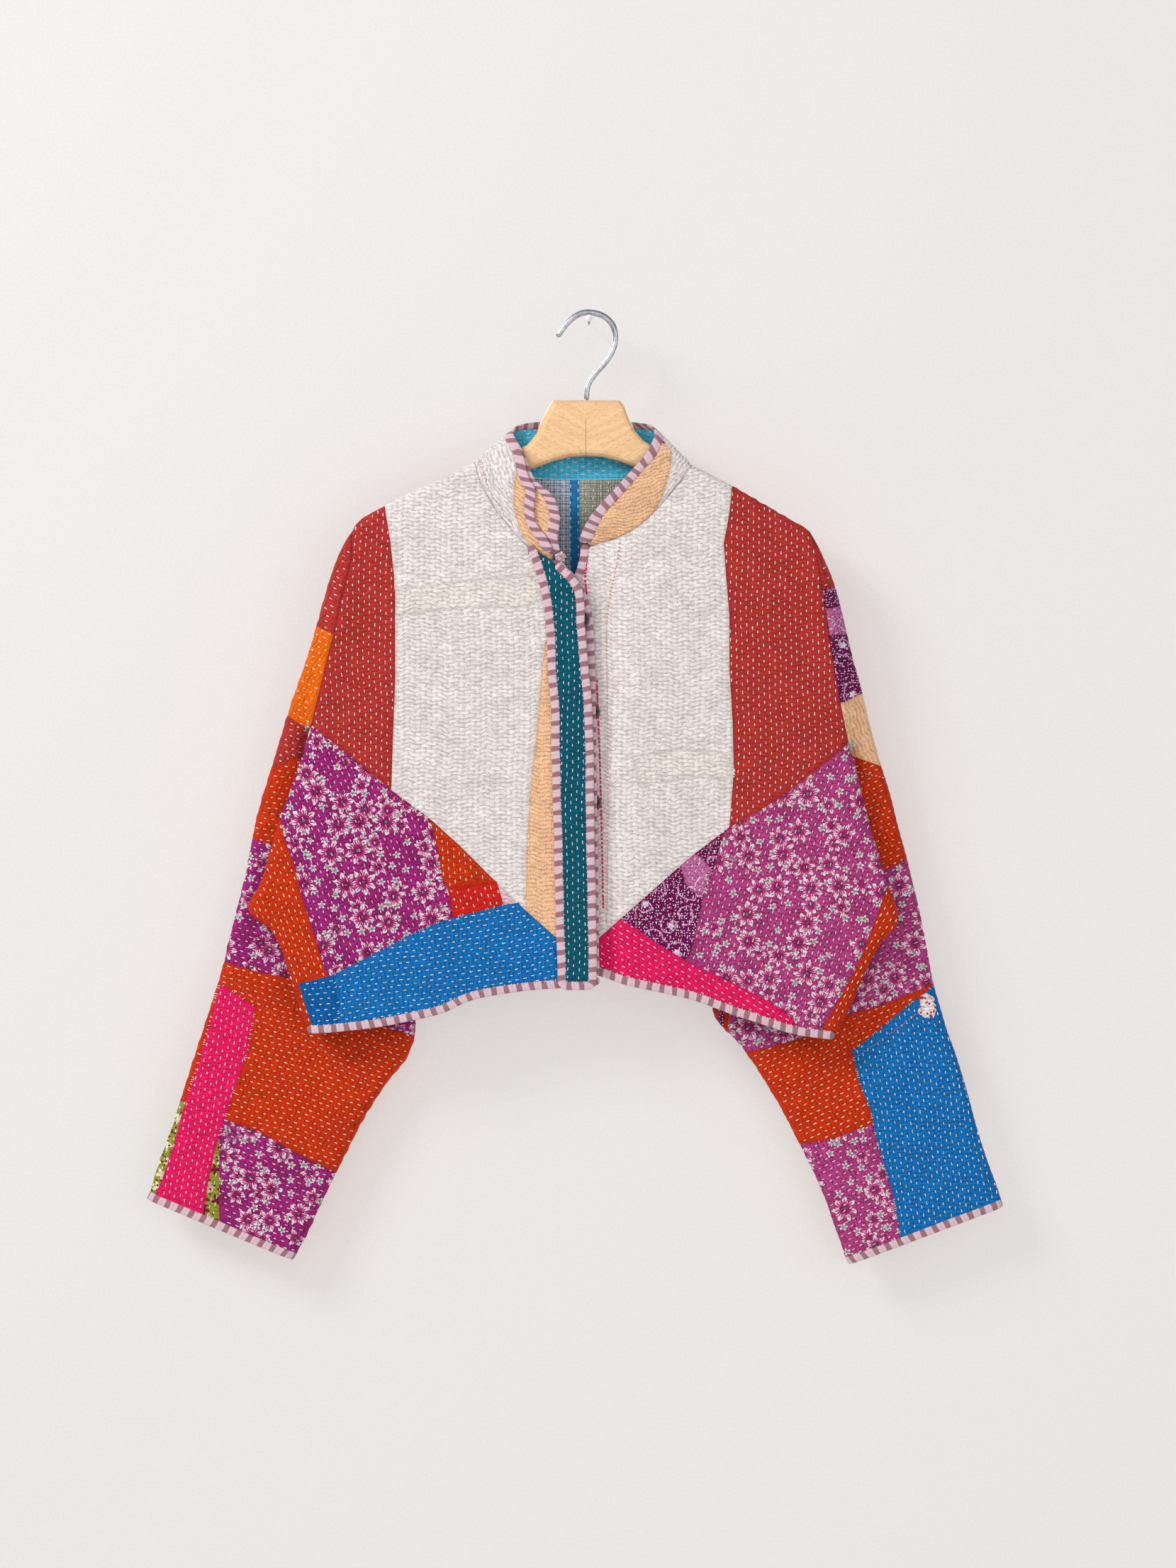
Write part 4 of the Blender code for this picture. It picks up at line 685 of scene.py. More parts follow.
def fold_height(table, x, z):
    """Height of the soft folds at each point of the body."""
    total = np.zeros(np.shape(x))
    for x0, z0, x1, z1, half_width, height in table:
        dx, dz = x1 - x0, z1 - z0
        along = np.clip(((x - x0) * dx + (z - z0) * dz) / (dx * dx + dz * dz), 0.0, 1.0)
        across = np.hypot(x - (x0 + along * dx), z - (z0 + along * dz))
        fading = SOFT_FOLD_END + (1.0 - SOFT_FOLD_END) * np.sin(math.pi * along)
        total += height * np.exp(-(across / half_width) ** 2) * fading
    return total


def body_depth(face, x, z, distance):
    """Depth of the body's outer face from the middle, away from the folded edges."""
    crown = 1.0 - np.exp(-distance / CROWN_REACH)
    if face == "back":
        lower = smoothstep((SIDE_THIN_Z - z) / SIDE_THIN_RUN)
        depth = SHOULDER_DEPTH + (BACK_SIDE_DEPTH - SHOULDER_DEPTH) * lower + BACK_CROWN * crown
        return depth + crown * fold_height(BODY_FOLDS["back"], x, z)
    depth = SHOULDER_DEPTH + FRONT_CROWN * crown + crown * fold_height(BODY_FOLDS["front"], x, z)
    if face == "front_left":
        depth = depth - TUCK_DEPTH * smoothstep((TUCK_START_X - x) / (TUCK_START_X - TUCK_FULL_X))
    return depth


def body_point(face, x, z, inset=0.0):
    """Points of the body cloth in millimetres, at an inset below its outer face."""
    x = np.asarray(x, dtype=float)
    z = np.asarray(z, dtype=float)
    distance, away_x, away_z = folded_edge(x, z)
    turn = np.clip(1.0 - distance / FOLD_RADIUS, 0.0, 1.0)
    facing = np.sqrt(1.0 - turn ** 2)
    depth = SEAM_GAP / 2 + (body_depth(face, x, z, distance) - inset) * facing
    middle = -FORWARD_LEAN * smoothstep((LEAN_START_Z - z) / LEAN_RUN)
    sign = 1.0 if face == "back" else -1.0
    return np.stack((x + away_x * inset * turn, middle + sign * depth, z + away_z * inset * turn), axis=-1)


def placket_point(x, z, inset=0.0):
    """Points of the placket strip, which lies on the right front and lifts at its free side."""
    sewn_x, sewn_z = np.transpose(PLACKET_OUTER)
    left = np.interp(-np.asarray(z, dtype=float), -sewn_z, sewn_x)
    lift = PLACKET_LIFT + PLACKET_FLAP_LIFT * smoothstep((x - left) / PLACKET_FLAP_WIDTH)
    return body_point("front_right", x, z, inset - WALL - lift)


def ring_values(side, ring):
    """Sleeve ring values at a fractional ring number, read smoothly from the table."""
    table = np.array(SLEEVE_RINGS[side], dtype=float)
    ring = np.clip(ring, 0.0, len(table) - 1.0)
    base = np.minimum(ring.astype(int), len(table) - 2)
    t = (ring - base)[..., None]
    near = [table[np.clip(base + step, 0, len(table) - 1)] for step in (-1, 0, 1, 2)]
    return between(*near, t)


def sleeve_fold_height(side, ring, around):
    """Height of the soft folds at each point of a sleeve."""
    total = np.zeros(np.shape(ring))
    for at_ring, at_side, ring_reach, side_reach, height in SLEEVE_FOLDS[side]:
        spread = ((ring - at_ring) / ring_reach) ** 2 + ((around - at_side) / side_reach) ** 2
        total += height * np.exp(-spread)
    return total


def armhole_line(side, share):
    """The armhole seam of a sleeve in the front view, a seam gap outside the body's own edge."""
    path = smooth_path(ARMHOLE[side], FOLDED_PATH_STEP)
    line = read_table(share, np.linspace(0.0, 1.0, len(path)), path)
    line[..., 0] -= INWARD[side] * SEAM_GAP
    return line


def armhole_path(side):
    """The armhole seam of a sleeve as an even path in the front view."""
    return smooth_path(armhole_line(side, np.linspace(0.0, 1.0, ARMHOLE_SAMPLES)), RING_STEP)


def sleeve_point(side, ring, around, inset=0.0):
    """Points of a sleeve; around is 0 at the outer fold, 1 or -1 at the underarm fold."""
    ring, around = np.broadcast_arrays(np.asarray(ring, dtype=float), np.asarray(around, dtype=float))
    values = ring_values(side, ring)
    outer_x, outer_z, outer_y, inner_x, inner_z, inner_y, depth = np.moveaxis(values, -1, 0)
    width = np.hypot(inner_x - outer_x, inner_z - outer_z)
    radius = SLEEVE_FOLD_RADIUS
    cloth = width - 2 * radius + math.pi * radius
    travel = np.abs(around) * cloth
    quarter = math.pi * radius / 2
    start = np.clip(travel / radius, 0.0, math.pi / 2)
    end = np.clip((cloth - travel) / radius, 0.0, math.pi / 2)
    across = radius * (1 - np.cos(start)) + np.clip(travel - quarter, 0.0, cloth - 2 * quarter)
    across = across + radius * np.cos(end)
    across = across + inset * (np.cos(start) - np.cos(end))
    facing = np.sin(start) * np.sin(end)
    fraction = across / width
    sign = np.where(around < 0, 1.0, -1.0)
    crown = SLEEVE_CROWN * np.sin(math.pi * np.clip(fraction, 0.0, 1.0))
    swell = crown + sleeve_fold_height(side, ring, around)
    middle = outer_y + (inner_y - outer_y) * fraction
    tube = np.stack((
        outer_x + (inner_x - outer_x) * fraction,
        middle + sign * (depth + swell - inset) * facing,
        outer_z + (inner_z - outer_z) * fraction,
    ), axis=-1)
    x, z = np.moveaxis(armhole_line(side, np.clip(fraction, 0.0, 1.0)), -1, 0)
    front, back = (body_point(face, x, z, inset) for face in ("front_" + side, "back"))
    seam = np.where((around < 0)[..., None], back, front)
    blend = smoothstep(ring / ARMHOLE_BLEND)[..., None]
    return seam + (tube - seam) * blend


def collar_curves():
    """The collar's seam and free edge as two smooth three-dimensional curves."""
    seam = np.array([body_point(face, x, z) for face, x, z, _, _, _ in COLLAR_STATIONS])
    edge = np.array([row[3:] for row in COLLAR_STATIONS], dtype=float)
    both = halfway_points(np.hstack((seam, edge)))
    return both[:, :3], both[:, 3:]


# Places on the cloth in the front view

def ring_at(place):
    """Sleeve ring number for a place down the sleeve that moves evenly away from the armhole."""
    return np.where(place < ARMHOLE_BLEND, np.sqrt(ARMHOLE_BLEND * np.clip(place, 0.0, None)), place)


def sleeve_flat(side, place, share):
    """Where a sleeve point lies in the front view."""
    ring = ring_at(place)
    values = ring_values(side, ring)
    tube = values[..., :2] + (values[..., 3:5] - values[..., :2]) * share[..., None]
    seam = armhole_line(side, share)
    return seam + (tube - seam) * smoothstep(ring / ARMHOLE_BLEND)[..., None]


def sleeve_guide(side):
    """Known sleeve places over the front view: a search tree and their ring, middle and half depths."""
    places, shares = all_pairs(np.arange(0.0, GUIDE_END, GUIDE_STEP), np.linspace(0.0, 1.0, GUIDE_SHARES))
    rings = ring_at(places)
    values = np.moveaxis(ring_values(side, rings), -1, 0)
    outer_x, outer_z, outer_y, inner_x, inner_z, inner_y, depth = values
    width = np.hypot(inner_x - outer_x, inner_z - outer_z)
    roll = (math.pi / 2 - 1.0) * SLEEVE_FOLD_RADIUS
    around = np.clip((shares * width + roll) / (width + 2 * roll), 0.0, 1.0)
    crown = depth + SLEEVE_CROWN * np.sin(math.pi * shares)
    front = crown + sleeve_fold_height(side, rings, around)
    back = crown + sleeve_fold_height(side, rings, -around)
    values = np.column_stack((rings, outer_y + (inner_y - outer_y) * shares, front, back))
    return tree_of(sleeve_flat(side, places, shares)), values


def sleeve_folds(side):
    """The outer and inner folded edges of a sleeve down to its cuff binding, as paths."""
    places = np.linspace(0.0, SLEEVE_CUFF_RING + CUFF_UNDER_TAPE, SLEEVE_FOLD_SAMPLES)
    return [smooth_path(sleeve_flat(side, places, np.full(len(places), share)), RING_STEP)
            for share in (0.0, 1.0)]


def tree_of(points):
    """A search tree over points of the front view."""
    tree = kdtree.KDTree(len(points))
    for number, (x, z) in enumerate(points):
        tree.insert((x, z, 0.0), number)
    tree.balance()
    return tree


SLEEVE_GUIDES = {side: sleeve_guide(side) for side in ("right", "left")}
SLEEVE_FOLD_PATHS = {side: sleeve_folds(side) for side in ("right", "left")}


def near_distance(tree, points):
    """Distance from each point to the nearest one in the tree."""
    return np.array([tree.find((x, z, 0.0))[2] for x, z in points])


def guided(side, x, z):
    """Ring, middle and half depths of a sleeve at points of the front view."""
    tree, values = SLEEVE_GUIDES[side]
    out = np.empty((len(x), values.shape[1]))
    for number, (px, pz) in enumerate(zip(x, z)):
        found = tree.find_n((px, pz, 0.0), GUIDE_COUNT)
        weights = np.array([math.exp(-(item[2] / GUIDE_REACH) ** 2) for item in found]) + 1e-9
        out[number] = weights @ values[[item[1] for item in found]] / weights.sum()
    return out.T


def sleeve_layer_place(side, face):
    """The placing function of the front or back layer of a sleeve."""
    sign = 1.0 if face == "back" else -1.0
    body = "back" if face == "back" else "front_" + side
    armhole = armhole_path(side)

    def place(x, z, inset):
        """Points of this layer of the sleeve at an inset below its outer face."""
        x = np.asarray(x, dtype=float)
        z = np.asarray(z, dtype=float)
        ring, middle, front, back = guided(side, x, z)
        half = back if face == "back" else front
        outer, inner = SLEEVE_FOLD_PATHS[side]
        outer_edge = nearest_on(outer, x, z, INWARD[side])
        inner_edge = nearest_on(inner, x, z, -INWARD[side])
        nearer = outer_edge[0] <= inner_edge[0]
        distance, away_x, away_z = (np.where(nearer, a, b) for a, b in zip(outer_edge, inner_edge))
        distance = np.where(distance < FOLD_SNAP, 0.0, distance)
        turn = np.clip(1.0 - distance / SLEEVE_FOLD_RADIUS, 0.0, 1.0)
        facing = np.sqrt(1.0 - turn ** 2)
        far, out_x, out_z = nearest_on(armhole, x, z, 1.0)
        closing = smoothstep(distance / SEAM_CLOSING)
        seam_y = body_point(body, x - out_x * far, z - out_z * far, inset)[:, 1] * closing
        blend = smoothstep(ring / ARMHOLE_BLEND) * smoothstep(far / SEAM_BLEND)
        y = seam_y + (middle + sign * (half - inset) * facing - seam_y) * blend
        shift = inset * turn * blend
        return np.stack((x + away_x * shift, y, z + away_z * shift), axis=-1)

    return place


def body_layer_place(face):
    """The placing function of a layer of the body."""
    def place(x, z, inset):
        """Points of this face of the body at an inset below it."""
        return body_point(face, x, z, inset)

    return place


# Outlines of the cloth layers

def cut_path(path, z):
    """The part of a downward path above a height, ending on it."""
    kept = [point for point in path if point[1] > z + CUT_MARGIN]
    return np.array(kept + [(np.interp(-z, -path[:, 1], path[:, 0]), z)])


def closed_ring(runs):
    """One closed outline from paths laid end to end, anticlockwise, and which of its steps are folds."""
    points = []
    folded = []
    for path, fold in runs:
        points += [tuple(point) for point in path[:-1]]
        folded += [fold] * (len(path) - 1)
    ring = np.array(points)
    folded = np.array(folded)
    after = np.roll(ring, -1, axis=0)
    if np.sum(ring[:, 0] * after[:, 1] - after[:, 0] * ring[:, 1]) < 0:
        ring = ring[::-1]
        folded = np.roll(folded[::-1], -1)
    return ring, folded


def front_ring(side):
    """The outline of one whole front, tucked a little under its bindings."""
    sign = INWARD[side]
    under = BINDING_WIDTH - CLOTH_UNDER_TAPE
    edge = shifted(smooth_path(FRONT_EDGE[side], RING_STEP), -sign * under)
    hem = shifted(smooth_path(HEM[side], RING_STEP), sign * under)
    corner_z = np.interp(edge[-1][0] * sign, hem[:, 0] * sign, hem[:, 1])
    edge = cut_path(edge, corner_z)
    corner = edge[-1]
    hem = np.array([point for point in hem if (corner[0] - point[0]) * sign > CUT_MARGIN] + [corner])
    side_fold = cut_path(smooth_path(SIDE[side], RING_STEP), hem[0][1])
    hem[0] = side_fold[-1]
    neck = smooth_path(FRONT_NECK[side], RING_STEP)
    neck = np.array([point for point in neck if (edge[0][0] - point[0]) * sign > CUT_MARGIN] + [edge[0]])
    return closed_ring((
        (smooth_path(SHOULDER[side], RING_STEP), True), (smooth_path(ARMHOLE[side], RING_STEP), False),
        (side_fold, True), (hem, False), (edge[::-1], False), (neck[::-1], False),
    ))


def back_ring():
    """The outline of the back."""
    hem = shifted(smooth_path(BACK_HEM, RING_STEP), BINDING_WIDTH - CLOTH_UNDER_TAPE)
    paths = {}
    for side in ("right", "left"):
        end = hem[0] if side == "right" else hem[-1]
        side_fold = cut_path(smooth_path(SIDE[side], RING_STEP), end[1])
        shoulder, armhole = (smooth_path(table[side], RING_STEP) for table in (SHOULDER, ARMHOLE))
        paths[side] = (shoulder, armhole, side_fold)
    hem[0] = paths["right"][2][-1]
    hem[-1] = paths["left"][2][-1]
    right = list(zip(paths["right"], (True, False, True)))
    left = [(path[::-1], fold) for path, fold in zip(paths["left"][::-1], (True, False, True))]
    neck = smooth_path(BACK_NECK, RING_STEP)
    return closed_ring((*right, (hem, False), *left, (neck[::-1], False)))


def sleeve_ring(side):
    """The outline of a sleeve in the front view, from the armhole to just under the cuff binding."""
    outer, inner = SLEEVE_FOLD_PATHS[side]
    count = int(np.linalg.norm(outer[-1] - inner[-1]) / RING_STEP)
    shares = np.linspace(0.0, 1.0, count)
    cuff = sleeve_flat(side, np.full(count, SLEEVE_CUFF_RING + CUFF_UNDER_TAPE), shares)
    cuff[0] = outer[-1]
    cuff[-1] = inner[-1]
    return closed_ring(((outer, True), (cuff, False), (inner[::-1], True), (armhole_path(side)[::-1], False)))


def placket_free_path(step, inset):
    """The flap's free edge, which stands back from the front's own edge most near the first button."""
    path = smooth_path(FRONT_EDGE["right"], step)
    heights, setbacks = np.transpose(PLACKET_SETBACKS)
    setback = np.interp(-path[:, 1], -heights, setbacks)
    return path - side_normals(path) * (setback + inset)[:, None]


def placket_ring():
    """The outline of the placket strip inside its binding."""
    inset = BINDING_WIDTH - CLOTH_UNDER_TAPE
    bottom = PLACKET_BOTTOM + inset
    left = cut_path(shifted(smooth_path(PLACKET_OUTER, RING_STEP), inset), bottom)
    right = cut_path(placket_free_path(RING_STEP, inset), bottom)
    neck = smooth_path(FRONT_NECK["right"], RING_STEP)
    inner = [point for point in neck if left[0][0] + CUT_MARGIN < point[0] < right[0][0] - CUT_MARGIN]
    base = straight_path((left[-1], right[-1]), RING_STEP)
    top = np.array([right[0], *inner[::-1], left[0]])
    return closed_ring(((left, False), (base, False), (right[::-1], False), (top, False)))


def straight_path(corners, step):
    """Even points along straight lines, with every corner kept."""
    out = []
    corners = np.array(corners, dtype=float)
    for a, b in zip(corners[:-1], corners[1:]):
        count = max(1, int(round(np.linalg.norm(b - a) / step)))
        out += [a + (b - a) * k / count for k in range(count)]
    return np.array(out + [corners[-1]])


# Patches and stitch rows

def inside(corners, x, z):
    """Which points lie inside a closed outline."""
    found = np.zeros(len(x), dtype=bool)
    for (ax, az), (bx, bz) in zip(corners, np.roll(corners, -1, axis=0)):
        if az != bz:
            crosses = (az > z) != (bz > z)
            found ^= crosses & (x < ax + (z - az) / (bz - az) * (bx - ax))
    return found


def patch_at(patches, x, z):
    """The number of the patch that shows at each point."""
    found = np.zeros(len(x), dtype=int)
    for number, (_, _, floor, corners) in enumerate(patches[1:], start=1):
        found[inside(corners, x, z) & (found >= floor)] = number
    return found


def seam_runs(patches, ring):
    """Steps along the borders where two patches meet: their ends and the two patch numbers."""
    starts = []
    ends = []
    pairs = []
    taken = np.empty((0, 2))
    for _, _, _, corners in reversed(patches[1:]):
        path = straight_path((*corners, corners[0]), SEAM_STEP)
        middle = (path[1:] + path[:-1]) / 2
        normal = side_normals(path)[:-1] * SEAM_SIDE
        one = patch_at(patches, *(middle + normal).T)
        two = patch_at(patches, *(middle - normal).T)
        keep = (one != two) & inside(ring, *path[:-1].T) & inside(ring, *path[1:].T)
        if len(taken):
            keep &= near_distance(tree_of(taken), middle) > SEAM_STEP
        starts += list(path[:-1][keep])
        ends += list(path[1:][keep])
        pairs += list(np.sort(np.column_stack((one, two))[keep], axis=1))
        taken = np.vstack((taken, middle[keep]))
    return np.array(starts).reshape(-1, 2), np.array(ends).reshape(-1, 2), np.array(pairs).reshape(-1, 2)


def lean_axes(lean):
    """Unit directions across and along the rows of a patch."""
    angle = math.radians(lean)
    return np.array((math.cos(angle), -math.sin(angle))), np.array((math.sin(angle), math.cos(angle)))


def row_waves(waves, seed, at):
    """The sum of some waves along or across the rows of a patch."""
    return sum(height * np.sin(at / length + turn * seed) for height, length, turn in waves)


def from_rows(seed, lean, p, q):
    """Front-view points from places in a patch's grid of rows."""
    across, along = lean_axes(lean)
    u = p + row_waves(ROW_WANDER, seed, q)
    v = q + row_waves(ROW_DRIFT, seed, p)
    return u[:, None] * across + v[:, None] * along


def to_rows(seed, lean, points):
    """Places in a patch's grid of rows from front-view points."""
    across, along = lean_axes(lean)
    u = points @ across
    v = points @ along
    p = u - row_waves(ROW_WANDER, seed, v)
    q = v - row_waves(ROW_DRIFT, seed, p)
    p = u - row_waves(ROW_WANDER, seed, q)
    return p, q


def quilt_relief(p, q):
    """Height of the cloth between the stitches: puffs, pinched rows and the creases that link them."""
    on_row = 0.5 + 0.5 * np.cos(2 * math.pi * p / ROW_SPACING)
    uneven = np.sin(0.83 * p + 0.9 * np.sin(0.11 * q)) * np.sin(0.47 * q + 1.3 * np.sin(0.19 * p))
    crest = np.cos(4 * math.pi * q / STITCH_PITCH) * (0.6 + 0.4 * uneven)
    stitch = np.cos(2 * math.pi * q / STITCH_PITCH) * np.cos(math.pi * p / ROW_SPACING)
    row = ON_ROW[0] + ON_ROW[1] * crest - ON_ROW[2] * stitch
    middle = BETWEEN_ROWS[0] + BETWEEN_ROWS[1] * crest
    return middle + (row - middle) * on_row


def ripple(points, seed, sizes):
    """Smooth uneven waves of about unit height over the front view."""
    rng = np.random.default_rng(seed)
    total = np.zeros(len(points))
    for size in sizes:
        angle = rng.uniform(0, 2 * math.pi)
        phase = rng.uniform(0, 2 * math.pi)
        direction = np.array((math.cos(angle), math.sin(angle)))
        total += np.sin(points @ direction * 2 * math.pi / size + phase)
    return total / math.sqrt(len(sizes))


def soft_height(points, seed):
    """Low soft waves of worn cloth, seldom the same twice."""
    return sum(height * ripple(points, seed + step, sizes) for height, step, sizes in SOFT_WAVES)


def grid_span(seed, lean, corners):
    """Lowest and highest row places that cover a set of points."""
    p, q = to_rows(seed, lean, corners)
    return p.min() - ROW_SPACING, p.max() + ROW_SPACING, q.min() - STITCH_PITCH, q.max() + STITCH_PITCH


def clipped_box(ring, corners):
    """Corner points of the part of a patch's box that lies in the layer's box."""
    low = ring.min(axis=0)
    high = ring.max(axis=0)
    if corners is not None:
        corners = np.array(corners)
        low = np.maximum(low, corners.min(axis=0))
        high = np.minimum(high, corners.max(axis=0))
    return np.array([(x, z) for x in (low[0], high[0]) for z in (low[1], high[1])])


class Layer:
    """One flat layer of patched cloth: its outline, patches, fine mesh and running stitches."""

    def __init__(self, name, outline, patches, place, back=False, lining=GREY_LINING, welded=False):
        ring, folded = outline
        seed = LAYER_SEEDS[name]
        self.name = name
        self.ring = ring
        self.folded = folded
        self.patches = patches
        self.place = place
        self.seed = seed
        self.back = back
        self.lining = lining
        self.welded = welded
        self.rng = np.random.default_rng(seed)
        self.seams = seam_runs(patches, ring)
        self.marks = tree_of(np.vstack((ring, *self.seams[:2])))
        on_fold = folded | np.roll(folded, 1)
        self.fold_tree = tree_of(ring[on_fold]) if on_fold.any() else None
        self.groove_tree = tree_of(np.vstack((ring[~on_fold], *self.seams[:2])))
        self.edge_tree = tree_of(ring[~on_fold])

    def patch_seed(self, number):
        """The seed that sets how the rows of a patch wander."""
        return self.seed + PATCH_SEED_STEP * number

    def free(self, points, number, clear):
        """Which points lie in a patch, clear of its seams and of the edges of the cloth."""
        keep = inside(self.ring, *points.T) & (patch_at(self.patches, *points.T) == number)
        keep[keep] = near_distance(self.marks, points[keep]) > clear
        return keep

    def row_grid(self, seed, lean, corners, row_step, stitch_step):
        """Numbers of the rows and of the steps along them that cover a patch, in every pair."""
        low_p, high_p, low_q, high_q = grid_span(seed, lean, clipped_box(self.ring, corners))
        rows = np.arange(math.floor(low_p / row_step), math.ceil(high_p / row_step) + 1)
        steps = np.arange(math.floor(low_q / stitch_step), math.ceil(high_q / stitch_step) + 1)
        return all_pairs(rows, steps)

    def fine_points(self):
        """Mesh points in step with the stitches of every patch, and lines of them along the folds."""
        found = []
        for number, (_, lean, _, corners) in enumerate(self.patches):
            seed = self.patch_seed(number)
            half_row = ROW_SPACING / 2
            step = STITCH_PITCH / 4
            rows, steps = self.row_grid(seed, lean, corners, half_row, step)
            points = from_rows(seed, lean, rows * half_row, steps * step)
            points += self.rng.uniform(-LATTICE_WANDER, LATTICE_WANDER, points.shape)
            points = points[self.free(points, number, LATTICE_CLEAR)]
            if self.fold_tree:
                points = points[near_distance(self.fold_tree, points) > FOLD_CLEAR]
            found.append(points)
        if self.fold_tree:
            found += self.fold_lines()
        return np.vstack(found)

    def fold_lines(self):
        """Points just inside the folded edges, where the cloth turns over quickly."""
        centre = (self.ring + np.roll(self.ring, -1, axis=0)) / 2
        across = np.roll(self.ring, -1, axis=0) - self.ring
        normal = np.column_stack((-across[:, 1], across[:, 0])) / np.linalg.norm(across, axis=1)[:, None]
        lines = []
        for distance in FOLD_LINES:
            line = (centre + normal * distance)[self.folded]
            line = line[inside(self.ring, *line.T)]
            near = near_distance(self.fold_tree, line)
            lines.append(line[near > FOLD_LINE_CLEAR * distance])
        return lines

    def cut_triangles(self, points, starts, ends):
        """Triangles through the outline, some fixed steps and loose points."""
        fixed = [Vector(point) for point in (*self.ring, *starts, *ends, *points)]
        count = len(self.ring)
        edges = [(i, (i + 1) % count) for i in range(count)]
        edges += [(count + i, count + len(starts) + i) for i in range(len(starts))]
        verts, _, faces, origin, _, _ = geometry.delaunay_2d_cdt(fixed, edges, [], 1, SAME_POINT)
        return flat_mesh(verts, faces, origin, count)

    def lining_triangles(self):
        """The same outline cut into larger triangles for the inner side, finer near its sewn edges."""
        low = self.ring.min(axis=0)
        counts = np.ceil((self.ring.max(axis=0) - low) / LINING_STEP * 2).astype(int)
        column, row = all_pairs(*map(np.arange, counts))
        points = low + np.column_stack((column, row)) * LINING_STEP / 2
        points += self.rng.uniform(-LINING_WANDER, LINING_WANDER, points.shape)
        wide = (column % 2 == 0) & (row % 2 == 0)
        within = inside(self.ring, *points.T)
        points = points[within]
        points = points[wide[within] | (near_distance(self.edge_tree, points) < LINING_FINE_REACH)]
        points = points[near_distance(tree_of(self.ring), points) > LINING_MARGIN]
        starts, ends, _ = seam_runs(self.lining, self.ring)
        if len(starts):
            points = points[near_distance(tree_of(starts), points) > LINING_MARGIN]
        return self.cut_triangles(points, starts, ends)

    def soft(self, points):
        """Soft waves of the cloth, which die away at its edges."""
        height = soft_height(points, self.seed)
        height = height * smoothstep(near_distance(self.edge_tree, points) / SOFT_FADE)
        if self.fold_tree:
            height = height * smoothstep(near_distance(self.fold_tree, points) / EDGE_FADE)
        return height

    def heights(self, points, owner):
        """Height of the cloth at points of known patches: quilting, seams, edges and soft waves."""
        relief = np.zeros(len(points))
        for number, (_, lean, _, _) in enumerate(self.patches):
            mine = owner == number
            relief[mine] = quilt_relief(*to_rows(self.patch_seed(number), lean, points[mine]))
        relief *= 1.0 + RELIEF_UNEVEN * ripple(points, self.seed + RELIEF_UNEVEN_SEED, RELIEF_UNEVEN_SIZES)
        away = smoothstep(near_distance(self.marks, points) / EDGE_FADE)
        relief *= RELIEF_AT_SEAM + (1.0 - RELIEF_AT_SEAM) * away
        height = relief + self.soft(points)
        groove = near_distance(self.groove_tree, points)
        height -= SEAM_GROOVE * np.exp(-(groove / SEAM_GROOVE_REACH) ** 2)
        if self.fold_tree:
            bump = FOLD_BUMP * ripple(points, EDGE_SEED, FOLD_BUMP_SIZES)
            share = smoothstep(near_distance(self.fold_tree, points) / EDGE_FADE)
            height = bump + (height - bump) * share
        return height

    def stitches(self):
        """Centres, directions, lengths, half widths, threads and lifts of the running stitches."""
        found = []
        for number, (fabric, lean, _, corners) in enumerate(self.patches):
            seed = self.patch_seed(number)
            row, step = self.row_grid(seed, lean, corners, ROW_SPACING, STITCH_PITCH)
            slip = self.rng.uniform(-STITCH_SLIP, STITCH_SLIP, len(row))
            q = (step + 0.5 * (row % 2)) * STITCH_PITCH + slip
            p = row * ROW_SPACING + self.rng.uniform(-STITCH_STRAY, STITCH_STRAY, len(row))
            half = STITCH_LENGTH / 2 * self.rng.uniform(*STITCH_LENGTHS, len(row))
            tilt = self.rng.uniform(-STITCH_TILT, STITCH_TILT, len(row))
            first = from_rows(seed, lean, p - tilt, q - half)
            last = from_rows(seed, lean, p + tilt, q + half)
            keep = self.free(first, number, STITCH_CLEAR) & self.free(last, number, STITCH_CLEAR)
            thread = THREADS.get(fabric, WHITE_THREAD)
            if fabric in SOME_YELLOW:
                yellow = self.rng.uniform(0, 1, len(row)) < YELLOW_SHARE
            else:
                yellow = np.zeros(len(row), dtype=bool)
            for some, name in ((keep & ~yellow, thread), (keep & yellow, "thread_yellow")):
                found.append(Stitches(first[some], last[some], number, STITCH_HALF_WIDTH, name))
        return found

    def oversewing(self, pairs):
        """Short stitches across some seams."""
        starts, ends, numbers = self.seams
        found = []
        for low, high in pairs:
            mine = (numbers[:, 0] == low) & (numbers[:, 1] == high)
            mine &= self.rng.uniform(0, 1, len(mine)) < OVERSEWN_SHARE
            middle = (starts[mine] + ends[mine]) / 2
            along = ends[mine] - starts[mine]
            along /= np.linalg.norm(along, axis=1)[:, None]
            across = np.column_stack((-along[:, 1], along[:, 0]))
            across += along * self.rng.uniform(-OVERSEWN_SLANT, OVERSEWN_SLANT, len(along))[:, None]
            reach = self.rng.uniform(*OVERSEWN_REACH, len(along))[:, None]
            first, last = middle - across * reach, middle + across * reach
            found.append(Stitches(first, last, low, FINE_HALF_WIDTH, WHITE_THREAD, FINE_LIFT))
        return found


class Stitches:
    """Thread stitches lying on one patch of a layer, given by their two ends."""

    def __init__(self, first, last, patch, half_width, thread, lift=0.0):
        self.first = first
        self.last = last
        self.patch = patch
        self.half_width = half_width
        self.thread = thread
        self.lift = lift


def flat_mesh(verts, faces, origin, ring_count):
    """Triangle arrays, and the mesh point of each point of the outline."""
    points = np.array([tuple(vert) for vert in verts])
    ring_index = np.zeros(ring_count, dtype=int)
    for number, sources in enumerate(origin):
        for source in sources:
            if source < ring_count:
                ring_index[source] = number
    return points, np.array(faces, dtype=int), ring_index


# Meshes

